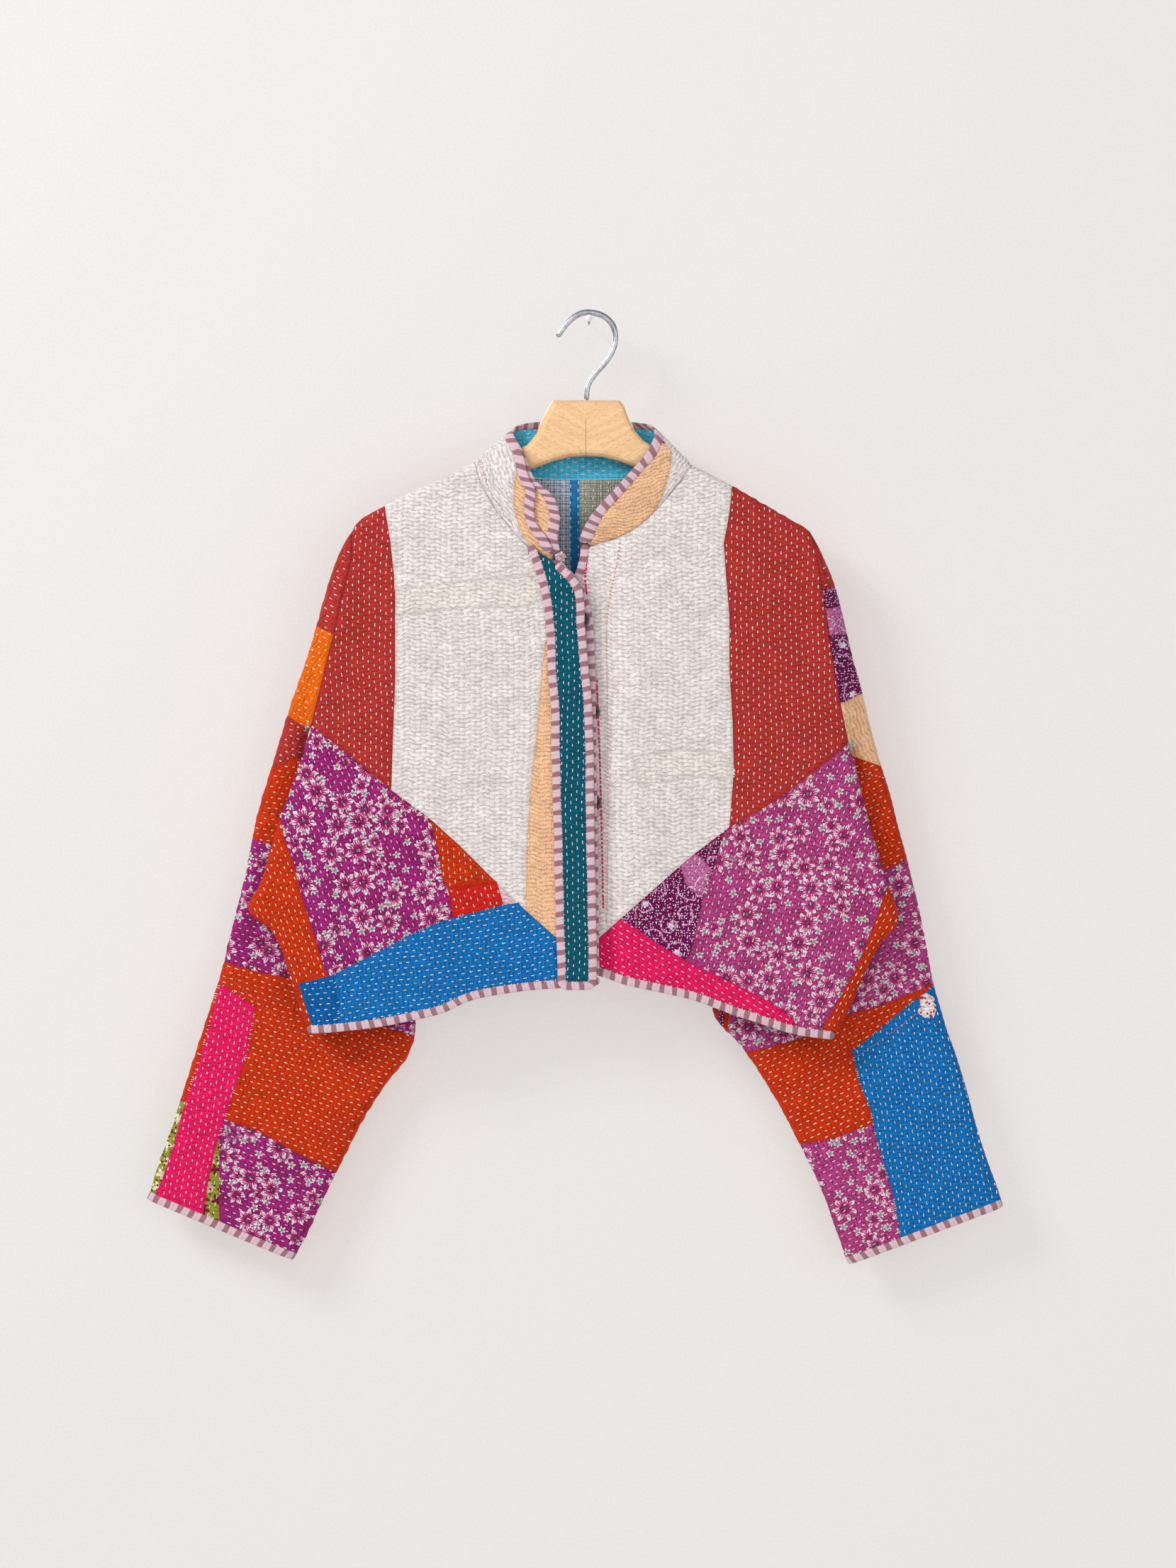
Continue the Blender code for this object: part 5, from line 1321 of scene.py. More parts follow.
class Builder:
    """Collects points, faces, materials and surface coordinates, then makes one object."""

    def __init__(self, name):
        self.name = name
        self.points = []
        self.faces = []
        self.rows = []
        self.prints = []
        self.materials = []
        self.used = []
        self.count = 0

    def add(self, points, faces, material, rows, prints):
        """Add faces of one material; rows has a row for each face corner, prints one for each point."""
        if material not in self.used:
            self.used.append(material)
        faces = np.asarray(faces, dtype=int)
        self.faces.append(faces + self.count)
        self.points.append(points)
        self.rows.append(rows)
        self.prints.append(prints)
        self.materials.append(np.full(len(faces), self.used.index(material)))
        self.count += len(points)

    def make(self, weld=0.0):
        """The finished object, smooth except at sharp edges."""
        mesh = bpy.data.meshes.new(self.name)
        points = np.vstack(self.points) * MM
        polygons = [face for group in self.faces for face in group.tolist()]
        mesh.from_pydata(points.tolist(), [], polygons)
        mesh.polygons.foreach_set("material_index", np.concatenate(self.materials))
        rows = mesh.attributes.new("rows", "FLOAT_VECTOR", "CORNER")
        rows.data.foreach_set("vector", np.vstack(self.rows).astype(np.float32).ravel())
        prints = mesh.attributes.new("print", "FLOAT_VECTOR", "POINT")
        prints.data.foreach_set("vector", np.vstack(self.prints).astype(np.float32).ravel())
        for material in self.used:
            mesh.materials.append(material_named(material))
        if weld:
            weld_close(mesh, weld)
        mesh.shade_smooth()
        mesh.set_sharp_from_angle(angle=SHARP_ANGLE)
        return link(bpy.data.objects.new(self.name, mesh))


def weld_close(mesh, distance):
    """Join the points of a mesh that lie closer together than a distance."""
    bm = bmesh.new()
    bm.from_mesh(mesh)
    bmesh.ops.remove_doubles(bm, verts=bm.verts, dist=distance * MM)
    bm.to_mesh(mesh)
    bm.free()


def with_zero(points):
    """Flat points with a third number of 0."""
    return np.column_stack((points, np.zeros(len(points))))


def grid_faces(rows, columns):
    """Four-sided faces of a grid of points, closed round its columns."""
    faces = []
    for i in range(rows - 1):
        for j in range(columns):
            k = (j + 1) % columns
            faces.append((i * columns + j, i * columns + k, (i + 1) * columns + k, (i + 1) * columns + j))
    return np.array(faces)


def halved(quads):
    """Each four-sided face as two triangles."""
    return np.stack((quads[:, (0, 1, 2)], quads[:, (0, 2, 3)]), axis=1).reshape(-1, 3)


def end_fans(rows, columns):
    """Triangles that close both ends of a grid, each round a middle point added after its points."""
    total = rows * columns
    start = total - columns
    fans = []
    for j in range(columns):
        k = (j + 1) % columns
        fans += [(total, k, j), (total + 1, start + j, start + k)]
    return np.array(fans)


def outward(points, faces):
    """The faces of a closed shape, turned over if they look inwards."""
    a, b, c = (points[faces[:, k]] for k in range(3))
    return faces[:, ::-1] if np.sum(a * np.cross(b, c)) < 0 else faces


def add_patches(builder, patches, numbers, faces, placed, points, rows_of):
    """Add each patch's faces in its fabric; rows_of gives the places of its points in its rows."""
    for number, (fabric, lean, _, _) in enumerate(patches):
        mine = faces[numbers == number]
        if len(mine):
            kept, local = np.unique(mine, return_inverse=True)
            local = local.reshape(mine.shape)
            rows = rows_of(number, lean, kept)[local.ravel()]
            builder.add(placed[kept], local, fabric, rows, with_zero(points[kept]))


def add_outer(builder, layer):
    """The stitched outer side of a layer, patch by patch."""
    points, faces, ring_index = layer.cut_triangles(layer.fine_points(), *layer.seams[:2])
    centre = points[faces].mean(axis=1)
    numbers = patch_at(layer.patches, *centre.T)
    owner = np.zeros(len(points), dtype=int)
    for corner in range(3):
        owner[faces[:, corner]] = numbers
    height = layer.heights(points, owner)
    placed = layer.place(points[:, 0], points[:, 1], -height)
    # The relief goes to the cloth material, which paints shade from it: darker where the cloth is low.
    relief = height - layer.soft(points)
    if layer.back:
        faces = faces[:, ::-1]

    def rows_of(number, lean, kept):
        """Places in the patch's rows, with the relief as the third number."""
        return np.column_stack((*to_rows(layer.patch_seed(number), lean, points[kept]), relief[kept]))

    add_patches(builder, layer.patches, numbers, faces, placed, points, rows_of)
    return placed[ring_index]


def add_lining(builder, layer, outer_ring):
    """The plain inner side of a layer and the rims that close its cut edges."""
    points, faces, ring_index = layer.lining_triangles()
    placed = layer.place(points[:, 0], points[:, 1], LINING_INSET - layer.soft(points))
    numbers = patch_at(layer.lining, *points[faces].mean(axis=1).T)
    if not layer.back:
        faces = faces[:, ::-1]
    flat = with_zero(points)
    add_patches(builder, layer.lining, numbers, faces, placed, points, lambda number, lean, kept: flat[kept])
    add_rims(builder, layer, outer_ring, placed[ring_index])


def add_rims(builder, layer, outer_ring, inner_ring):
    """The narrow faces that join the outer and inner side of a layer along its outline."""
    count = len(outer_ring)
    quads = np.array([(i, (i + 1) % count, (i + 1) % count + count, i + count) for i in range(count)])
    if layer.welded:
        quads = quads[~layer.folded]
    if not layer.back:
        quads = quads[:, ::-1]
    both = np.vstack((outer_ring, inner_ring))
    flat = with_zero(np.vstack((layer.ring, layer.ring)))
    owners = patch_at(layer.patches, *layer.ring.T)[quads.min(axis=1)]
    for number in np.unique(owners):
        mine = quads[owners == number]
        builder.add(both, mine, layer.patches[number][0], flat[mine.ravel()], flat)


def cloth_piece(name, layers):
    """One cloth piece as a closed thin shell of its layers."""
    builder = Builder(name)
    for layer in layers:
        add_lining(builder, layer, add_outer(builder, layer))
    return builder.make(weld=SAME_POINT * 10)


def stitch_solids(ends_first, ends_last, half_width):
    """Chart points and heights of each stitch: a sunk tip, two rounded sections and a sunk tip."""
    along = ends_last - ends_first
    length = np.linalg.norm(along, axis=1)[:, None]
    across = np.column_stack((along[:, 1], -along[:, 0])) / length * half_width
    points = [ends_first]
    heights = [STITCH_TIP]
    for share in STITCH_SECTIONS:
        middle = ends_first + along * share
        points += [middle - across, middle, middle + across]
        heights += [STITCH_SIDE, STITCH_TOP, STITCH_SIDE]
    points.append(ends_last)
    heights.append(STITCH_TIP)
    return np.stack(points, axis=1), np.array(heights)


def stitch_faces(numbers, points_each):
    """Faces of the stitches with the given numbers."""
    return (STITCH_FACES[None] + points_each * numbers[:, None, None]).reshape(-1, 3)


def add_stitches(builder, layer, stitches, inner=False):
    """Raised thread for one set of stitches."""
    count = len(stitches.first)
    if not count:
        return
    points, heights = stitch_solids(stitches.first, stitches.last, stitches.half_width)
    flat = points.reshape(-1, 2)
    lift = np.tile(heights, count) + stitches.lift
    if inner:
        placed = layer.place(flat[:, 0], flat[:, 1], LINING_INSET - layer.soft(flat) + lift)
    else:
        owner = np.full(len(flat), stitches.patch)
        placed = layer.place(flat[:, 0], flat[:, 1], -layer.heights(flat, owner) - lift)
    faces = stitch_faces(np.arange(count), len(heights))
    if layer.back == inner:
        faces = faces[:, ::-1]
    own_number = np.repeat(np.arange(count), len(heights)) % STITCH_SHADES
    coordinates = np.column_stack((np.tile(STITCH_ALONG, count), np.tile(STITCH_ACROSS, count), own_number))
    builder.add(placed, faces, stitches.thread, coordinates[faces.ravel()], with_zero(flat))


def dashes(path, pitch, length, rng):
    """Ends of running stitches along a path."""
    travel = lengths_along(path)
    starts = np.arange(pitch / 2, travel[-1] - pitch, pitch)
    starts = starts + rng.uniform(-DASH_SLIP, DASH_SLIP, len(starts)) * pitch
    stops = starts + length * rng.uniform(*DASH_LENGTHS, len(starts))
    return read_table(starts, travel, path), read_table(stops, travel, path)


def topstitching(layer):
    """The lines of fine machine-like stitching that belong to a layer."""
    found = []
    for name, thread, corners in TOPSTITCH:
        if name == layer.name:
            path = smooth_path(corners, 1.0)
            pitch, length, half_width = BOLD_DASHES if thread in BOLD_THREADS else FINE_DASHES
            first, last = dashes(path, pitch, length, layer.rng)
            keep = inside(layer.ring, *first.T) & inside(layer.ring, *last.T)
            number = patch_at(layer.patches, *path[len(path) // 2][:, None])[0]
            found.append(Stitches(first[keep], last[keep], number, half_width, thread, FINE_LIFT))
    return found


def stitch_piece(name, layers):
    """All the hand stitching of one cloth piece as one object."""
    builder = Builder(name)
    for layer in layers:
        sets = layer.stitches() + topstitching(layer) + layer.oversewing(OVERSEWN.get(layer.name, ()))
        for stitches in sets:
            add_stitches(builder, layer, stitches)
        for stitches in lining_stitches(layer):
            add_stitches(builder, layer, stitches, inner=True)
    return builder.make()


def lining_stitches(layer):
    """Upright running stitches on the inner side where the neck opening shows it."""
    if layer.name not in LINING_STITCHES:
        return []
    low_x, high_x, low_z, high_z, spacing = LINING_STITCHES[layer.name]
    x, z = all_pairs(np.arange(low_x, high_x, spacing), np.arange(low_z, high_z, STITCH_PITCH))
    points = np.column_stack((x, z + STITCH_PITCH / 2 * (np.round(x / spacing) % 2)))
    points += layer.rng.uniform(-STITCH_SLIP, STITCH_SLIP, points.shape)
    half = np.array((0.0, STITCH_LENGTH / 2))
    if layer.name == "collar":
        half = half[::-1]
    keep = inside(layer.ring, *(points - half).T) & inside(layer.ring, *(points + half).T)
    keep[keep] = near_distance(layer.marks, points[keep]) > STITCH_LENGTH / 2
    points = points[keep]
    return [Stitches(points - half, points + half, 0, STITCH_HALF_WIDTH, WHITE_THREAD)]


# Binding tapes

def tape_profile():
    """Section of a folded tape: places across it and heights, from 0 under it to 1 on top."""
    turns = np.arange(TAPE_SIDES) * 2 * math.pi / TAPE_SIDES
    across = np.sign(np.cos(turns)) * np.abs(np.cos(turns)) ** TAPE_SQUARENESS / 2
    height = 0.5 + np.sign(np.sin(turns)) * np.abs(np.sin(turns)) ** TAPE_SQUARENESS / 2
    return across, height


def swept(builder, loops, rows, material):
    """Add a closed tube of section loops with rounded-off ends."""
    count = len(loops)
    sides = len(loops[0])
    points = np.vstack(loops + [loops[0].mean(axis=0)[None], loops[-1].mean(axis=0)[None]])
    rows = np.vstack((rows, rows[0], rows[-1]))
    faces = outward(points, np.vstack((halved(grid_faces(count, sides)), end_fans(count, sides))))
    builder.add(points, faces, material, rows[faces.ravel()], rows)


def two_waves(at, lengths, phases):
    """The mean of two waves of different lengths."""
    return (np.sin(at / lengths[0] + phases[0]) + np.sin(at / lengths[1] + phases[1])) / 2


def tape_piece(node, path, place, seed, insets=FOLDED_OVER, material="stripe", whip=None):
    """A binding tape of rounded section along a path, which stands for its solid."""
    builder = Builder(node + "_tape")
    low_inset, high_inset = insets
    path = np.array(path)
    across, height = tape_profile()
    travel = lengths_along(path)
    rng = np.random.default_rng(seed)
    phases = rng.uniform(0, 2 * math.pi, 4)
    wander = TAPE_WANDER * two_waves(travel, TAPE_WANDER_LENGTHS, phases[:2])
    pucker = TAPE_PUCKER * two_waves(travel, TAPE_PUCKER_LENGTHS, phases[2:])
    end = smoothstep(np.minimum(travel, travel[-1] - travel) / TAPE_END_ROUNDING + TAPE_END_SIZE)
    width = (BINDING_WIDTH - SEAM_GAP) * (0.5 + end / 2)
    sideways = wander[:, None] + across * width[:, None]
    flat = path[:, None] + side_normals(path)[:, None] * sideways[:, :, None]
    top = high_inset - pucker[:, None] * np.sin(math.pi * height)
    thickness = TAPE_END_HEIGHT + (1.0 - TAPE_END_HEIGHT) * end[:, None]
    inset = low_inset + (top - low_inset) * (0.5 + (height - 0.5) * thickness)
    loops = list(place(flat[:, :, 0], flat[:, :, 1], inset))
    swept(builder, loops, profile_rows(travel, across * width[:, None], height), material)
    if whip:
        add_whip_stitches(builder, path, place, high_inset, rng, whip)
    tape = builder.make()
    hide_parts(node)
    return tape


def profile_rows(travel, across, height):
    """Distances along and across a tape, and heights, for each point of its section loops."""
    return np.stack(np.broadcast_arrays(travel[:, None], across, height), axis=-1).reshape(-1, 3)


def add_whip_stitches(builder, path, place, inset, rng, threads):
    """Tiny slanted stitches that hold one edge of a tape, in a few thread colours."""
    side, *shades = threads
    travel = lengths_along(path)
    spots = np.arange(WHIP_PITCH, travel[-1] - WHIP_PITCH, WHIP_PITCH)
    spots += rng.uniform(-WHIP_SLIP, WHIP_SLIP, len(spots)) * WHIP_PITCH
    centre = read_table(spots, travel, path)
    normal = read_table(spots, travel, side_normals(path))
    along = np.column_stack((normal[:, 1], -normal[:, 0]))
    edge = centre + normal * side * (BINDING_WIDTH / 2 - WHIP_SETBACK)
    slant = along * rng.uniform(*WHIP_SLANT, len(spots))[:, None]
    first = edge - normal * side * WHIP_INWARD - slant
    last = edge + normal * side * WHIP_OUTWARD + slant
    points, heights = stitch_solids(first, last, FINE_HALF_WIDTH)
    flat = points.reshape(-1, 2)
    lift = np.tile(heights * WHIP_HEIGHT, len(spots))
    placed = place(flat[:, 0], flat[:, 1], inset - lift)
    base = np.arange(len(spots))
    for number, thread in enumerate(shades):
        mine = base[base % len(shades) == number]
        faces = stitch_faces(mine, len(heights))
        builder.add(placed, faces, thread, np.zeros((faces.size, 3)), with_zero(flat))


def run_up(path):
    """The path with a straight run added before its start, over the neck seam."""
    back = path[0] - path[1]
    count = int(TAPE_REACH / TAPE_STEP)
    steps = np.arange(count, 0, -1)[:, None] * TAPE_STEP
    return np.vstack((path[0] + back / np.linalg.norm(back) * steps, path))


def front_edge_tape_path(side):
    """The middle of a front's edge binding, down to the hem binding."""
    edge = shifted(smooth_path(FRONT_EDGE[side], TAPE_STEP), -INWARD[side] * BINDING_WIDTH / 2)
    return run_up(cut_path(edge, HEM[side][-1][1] + BINDING_WIDTH + SEAM_GAP))


def placket_tape_path():
    """The middle of the placket's binding: down one side, round the foot and up the other."""
    half = BINDING_WIDTH / 2
    bottom = PLACKET_BOTTOM + half
    sewn = shifted(smooth_path(PLACKET_OUTER, TAPE_STEP), half)
    free = placket_free_path(TAPE_STEP, half)
    left = cut_path(sewn, bottom + PLACKET_CORNER)
    right = cut_path(free, bottom + PLACKET_CORNER)
    centre_left = left[-1] + (PLACKET_CORNER, 0.0)
    centre_right = right[-1] - (PLACKET_CORNER, 0.0)
    turns = np.linspace(0.0, math.pi / 2, TAPE_BEND_POINTS)[:, None]
    low_left = centre_left - PLACKET_CORNER * np.hstack((np.cos(turns), np.sin(turns)))
    low_right = centre_right + PLACKET_CORNER * np.hstack((np.sin(turns), -np.cos(turns)))
    foot = straight_path((low_left[-1], low_right[0]), TAPE_STEP)[1:-1]
    return np.vstack((left, low_left[1:], foot, low_right, right[-2::-1]))


def cuff_tape(side):
    """The bound edge of a cuff as a ring of tape folded over the sleeve's end."""
    node = "binding_cuff_" + side
    builder = Builder(node + "_tape")
    width, height = tape_profile()
    middle = SLEEVE_CUFF_RING + 0.5
    values = ring_values(side, np.array(middle))
    flat_width = math.hypot(values[3] - values[0], values[4] - values[1])
    girth = 2 * (flat_width + (math.pi - 2) * SLEEVE_FOLD_RADIUS)
    count = int(girth / TAPE_STEP)
    around = np.linspace(-1.0, 1.0, count + 1)
    wave = CUFF_WAVE * np.sin(around * CUFF_WAVE_TURN + 1.0)
    pucker = TAPE_PUCKER * np.sin(np.arange(count + 1) * CUFF_PUCKER_TURN) / 2
    ring = middle + width[None] * CUFF_RING_WIDTH + wave[:, None]
    low, high = FOLDED_OVER
    top = high - pucker[:, None] * np.sin(math.pi * height)
    placed = sleeve_point(side, ring, around[:, None], low + (top - low) * height)
    placed[-1] = placed[0]
    rows = profile_rows(around * girth / 2, width * BINDING_WIDTH, height)
    points = placed.reshape(-1, 3)
    faces = outward(points, grid_faces(count + 1, len(width)))
    builder.add(points, faces, "stripe", rows[faces.ravel()], rows)
    tape = builder.make(weld=SAME_POINT)
    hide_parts(node)
    return tape


# Collar, laid out flat as distance along it and height above its seam

def collar_table():
    """Fine stations of the collar: distance along it, its height there, its seam and its edge."""
    seam, edge = collar_curves()
    both = smooth_path(np.hstack((seam, edge)), COLLAR_STEP)
    middle = (both[:, :3] + both[:, 3:]) / 2
    width = np.linalg.norm(both[:, 3:] - both[:, :3], axis=1)
    return lengths_along(middle), width, both


COLLAR_TABLE = collar_table()


def collar_place(s, v, inset):
    """Points of the collar; an inset goes from its outer face towards the neck."""
    s, v, inset = np.broadcast_arrays(np.asarray(s, dtype=float), np.asarray(v, dtype=float), inset)
    travel, width, both = COLLAR_TABLE
    here, ahead, behind = (read_table(s + way * COLLAR_AHEAD, travel, both) for way in (0.0, 1.0, -1.0))
    share = (v / np.interp(s, travel, width))[..., None]
    start, end = here[..., :3], here[..., 3:]
    point = start + (end - start) * share
    away = point - (*COLLAR_CENTRE, 0.0)
    away[..., 2] = 0.0
    away /= np.linalg.norm(away, axis=-1)[..., None]
    point = point + away * COLLAR_BOW * np.sin(math.pi * np.clip(share, 0.0, 1.0))
    rise = end - start
    along = (ahead - behind)[..., :3] * (1 - share) + (ahead - behind)[..., 3:] * share
    normal = np.cross(rise, along)
    normal /= np.linalg.norm(normal, axis=-1)[..., None]
    return point - normal * inset[..., None]


def collar_ring():
    """The outline of the collar cloth, from its seam to just under its binding."""
    travel, width, _ = COLLAR_TABLE
    low = np.column_stack((travel, np.full(len(travel), COLLAR_SEAT)))
    top = np.column_stack((travel, np.maximum(width - BINDING_WIDTH + CLOTH_UNDER_TAPE, COLLAR_LEAST)))
    low = smooth_path(low, RING_STEP)
    top = smooth_path(top, RING_STEP)
    first = straight_path((top[0], low[0]), RING_STEP)
    last = straight_path((low[-1], top[-1]), RING_STEP)
    return closed_ring(((first, False), (low, False), (last, False), (top[::-1], False)))


def collar_edge_path():
    """The middle of the collar's edge binding."""
    travel, width, _ = COLLAR_TABLE
    return smooth_path(np.column_stack((travel, width - BINDING_WIDTH / 2)), TAPE_STEP)


def collar_fold_path():
    """The middle of the second tape on the outside of the collar's right end."""
    travel, width, _ = COLLAR_TABLE
    stations = np.linspace(0, len(COLLAR_STATIONS) - 1, len(travel))
    path = smooth_path(COLLAR_TAPE, 0.25)
    along = np.interp(path[:, 0], stations, travel)
    return smooth_path(np.column_stack((along, path[:, 1] * np.interp(along, travel, width))), TAPE_STEP)


# Small parts

def button_height(radius, turn):
    """Height of the button's face above its back, with the four thread holes."""
    face = np.interp(radius, BUTTON_FACE[0], BUTTON_FACE[1])
    near = np.full(np.shape(radius), np.inf)
    for quarter in range(4):
        angle = math.pi / 4 + quarter * math.pi / 2
        hole = np.hypot(radius * np.cos(turn) - BUTTON_HOLE_REACH * math.cos(angle),
                        radius * np.sin(turn) - BUTTON_HOLE_REACH * math.sin(angle))
        near = np.minimum(near, hole)
    into = (near - BUTTON_HOLE + BUTTON_HOLE_SOFTNESS) / (2 * BUTTON_HOLE_SOFTNESS)
    return face - BUTTON_HOLE_DEPTH * (1.0 - smoothstep(into))


def button_piece(node, turn_offset):
    """A four-hole button with a dished face, sewn on with two bars of thread."""
    low, high = (np.array(corner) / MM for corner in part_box(node))
    centre = (low + high) / 2
    radius = (high[0] - low[0]) / 2
    thickness = high[1] - low[1]
    builder = Builder(node + "_horn")
    turns = np.arange(BUTTON_COLUMNS) * 2 * math.pi / BUTTON_COLUMNS
    back_shares, back_levels = np.transpose(BUTTON_BACK)
    shares = np.concatenate((np.linspace(BUTTON_MIDDLE, 1.0, BUTTON_ROWS), back_shares))
    grid, angle = np.meshgrid(shares * radius, turns, indexing="ij")
    level = button_height(grid / radius * BUTTON_DIAMETER / 2, angle) * thickness
    level[BUTTON_ROWS:] = back_levels[:, None] * thickness
    x = centre[0] + grid * np.cos(angle + turn_offset)
    z = centre[2] + grid * np.sin(angle + turn_offset)
    points = np.stack((x, high[1] - level, z), axis=-1).reshape(-1, 3)
    ends = [points[:BUTTON_COLUMNS].mean(axis=0), points[-BUTTON_COLUMNS:].mean(axis=0)]
    points = np.vstack((points, *ends))
    flat = points - centre
    for faces in (grid_faces(len(shares), BUTTON_COLUMNS), end_fans(len(shares), BUTTON_COLUMNS)):
        faces = outward(flat, faces)
        builder.add(points, faces, "horn", flat[faces.ravel()], flat)
    for sign in (-1.0, 1.0):
        for strand in (-1.0, 1.0):
            line = thread_bar(sign, strand, turn_offset, thickness)
            line += (centre[0], high[1], centre[2])
            add_wire(builder, line, BUTTON_THREAD_RADIUS, BUTTON_THREAD_SIDES, "thread_dark")
    return builder.make(weld=SAME_POINT)


def thread_bar(sign, strand, turn_offset, thickness):
    """One strand of a bar of sewing thread between two holes, from the middle of a button's back."""
    across = BUTTON_HOLE_REACH * math.sqrt(0.5)
    run = np.linspace(-BUTTON_THREAD_REACH, BUTTON_THREAD_REACH, BUTTON_THREAD_POINTS)
    side = np.full(len(run), sign * across + strand * BUTTON_THREAD_SIDE)
    turn = np.array(((math.cos(turn_offset), math.sin(turn_offset)),
                     (-math.sin(turn_offset), math.cos(turn_offset))))
    path = np.column_stack((run * across, side)) @ turn
    rise = BUTTON_THREAD_RISE * (1.0 - (run / BUTTON_THREAD_REACH) ** 4)
    return np.column_stack((path[:, 0], -(thickness * BUTTON_THREAD_SEAT + rise), path[:, 1]))


def add_wire(builder, line, radius, sides, material):
    """A round wire along a line of points, with domed ends."""
    tangent = np.gradient(line, axis=0)
    tangent /= np.linalg.norm(tangent, axis=1)[:, None]
    reference = np.array((0.0, 1.0, 0.0)) if abs(tangent[0][1]) < 0.9 else np.array((1.0, 0.0, 0.0))
    side = np.cross(tangent, reference)
    side /= np.linalg.norm(side, axis=1)[:, None]
    up = np.cross(side, tangent)
    travel = lengths_along(line)
    left = np.minimum(travel, travel[-1] - travel)
    size = np.sqrt(1.0 - np.clip(1.0 - left / radius, 0.0, 0.98) ** 2)
    turns = np.arange(sides) * 2 * math.pi / sides
    offsets = side[:, None] * np.cos(turns)[:, None] + up[:, None] * np.sin(turns)[:, None]
    loops = list(line[:, None] + offsets * (radius * size)[:, None, None])
    swept(builder, loops, profile_rows(travel, turns * radius, 0.0), material)


def hook_piece(name):
    """The bent wire hook with domed ends."""
    builder = Builder(name)
    path = smooth_path(HOOK_PATH, HOOK_STEP)
    radius = WIRE_DIAMETER / 2
    outward_step = (path[0] - path[1]) / np.linalg.norm(path[0] - path[1]) * radius / 2
    path = np.vstack(([path[0] + outward_step * share for share in HOOK_DOME], path))
    line = np.column_stack((path[:, 0], np.zeros(len(path)), path[:, 1]))
    add_wire(builder, line, radius, HOOK_SIDES, "steel")
    return builder.make()


def knot_piece(name):
    """The little crumpled knot of cloth at the collar's right front end."""
    builder = Builder(name)
    rows, columns = KNOT_GRID
    polar, turn = all_pairs(
        np.linspace(KNOT_TIP, math.pi - KNOT_TIP, rows), np.arange(columns) * 2 * math.pi / columns)
    folds = 0.16 * np.sin(5 * turn + 2.2 * np.sin(2 * polar)) + 0.10 * np.sin(8 * turn - 3 * polar + 1.0)
    folds += 0.12 * np.sin(6 * polar + 1.4 * np.sin(turn * 2))
    size = KNOT_RADIUS * (0.86 + folds)
    round_shape = (np.sin(polar) * np.cos(turn), -np.cos(polar), np.sin(polar) * np.sin(turn))
    flat = size[:, None] * np.column_stack(round_shape) * KNOT_SIZES
    faces = outward(flat, halved(grid_faces(rows, columns)))
    builder.add(flat + KNOT_CENTRE, faces, "knot", flat[faces.ravel()], flat)
    return builder.make(weld=KNOT_POLE)


# Materials

def colour(red, green, blue):
    """A linear colour from screen values of 0 to 255."""
    out = []
    for value in (red, green, blue):
        value /= 255.0
        out.append(value / 12.92 if value <= 0.04045 else ((value + 0.055) / 1.055) ** 2.4)
    return (*out, 1.0)


def scaled(shade, factor):
    """A colour with its three channels multiplied."""
    return (*(channel * factor for channel in shade[:3]), 1.0)


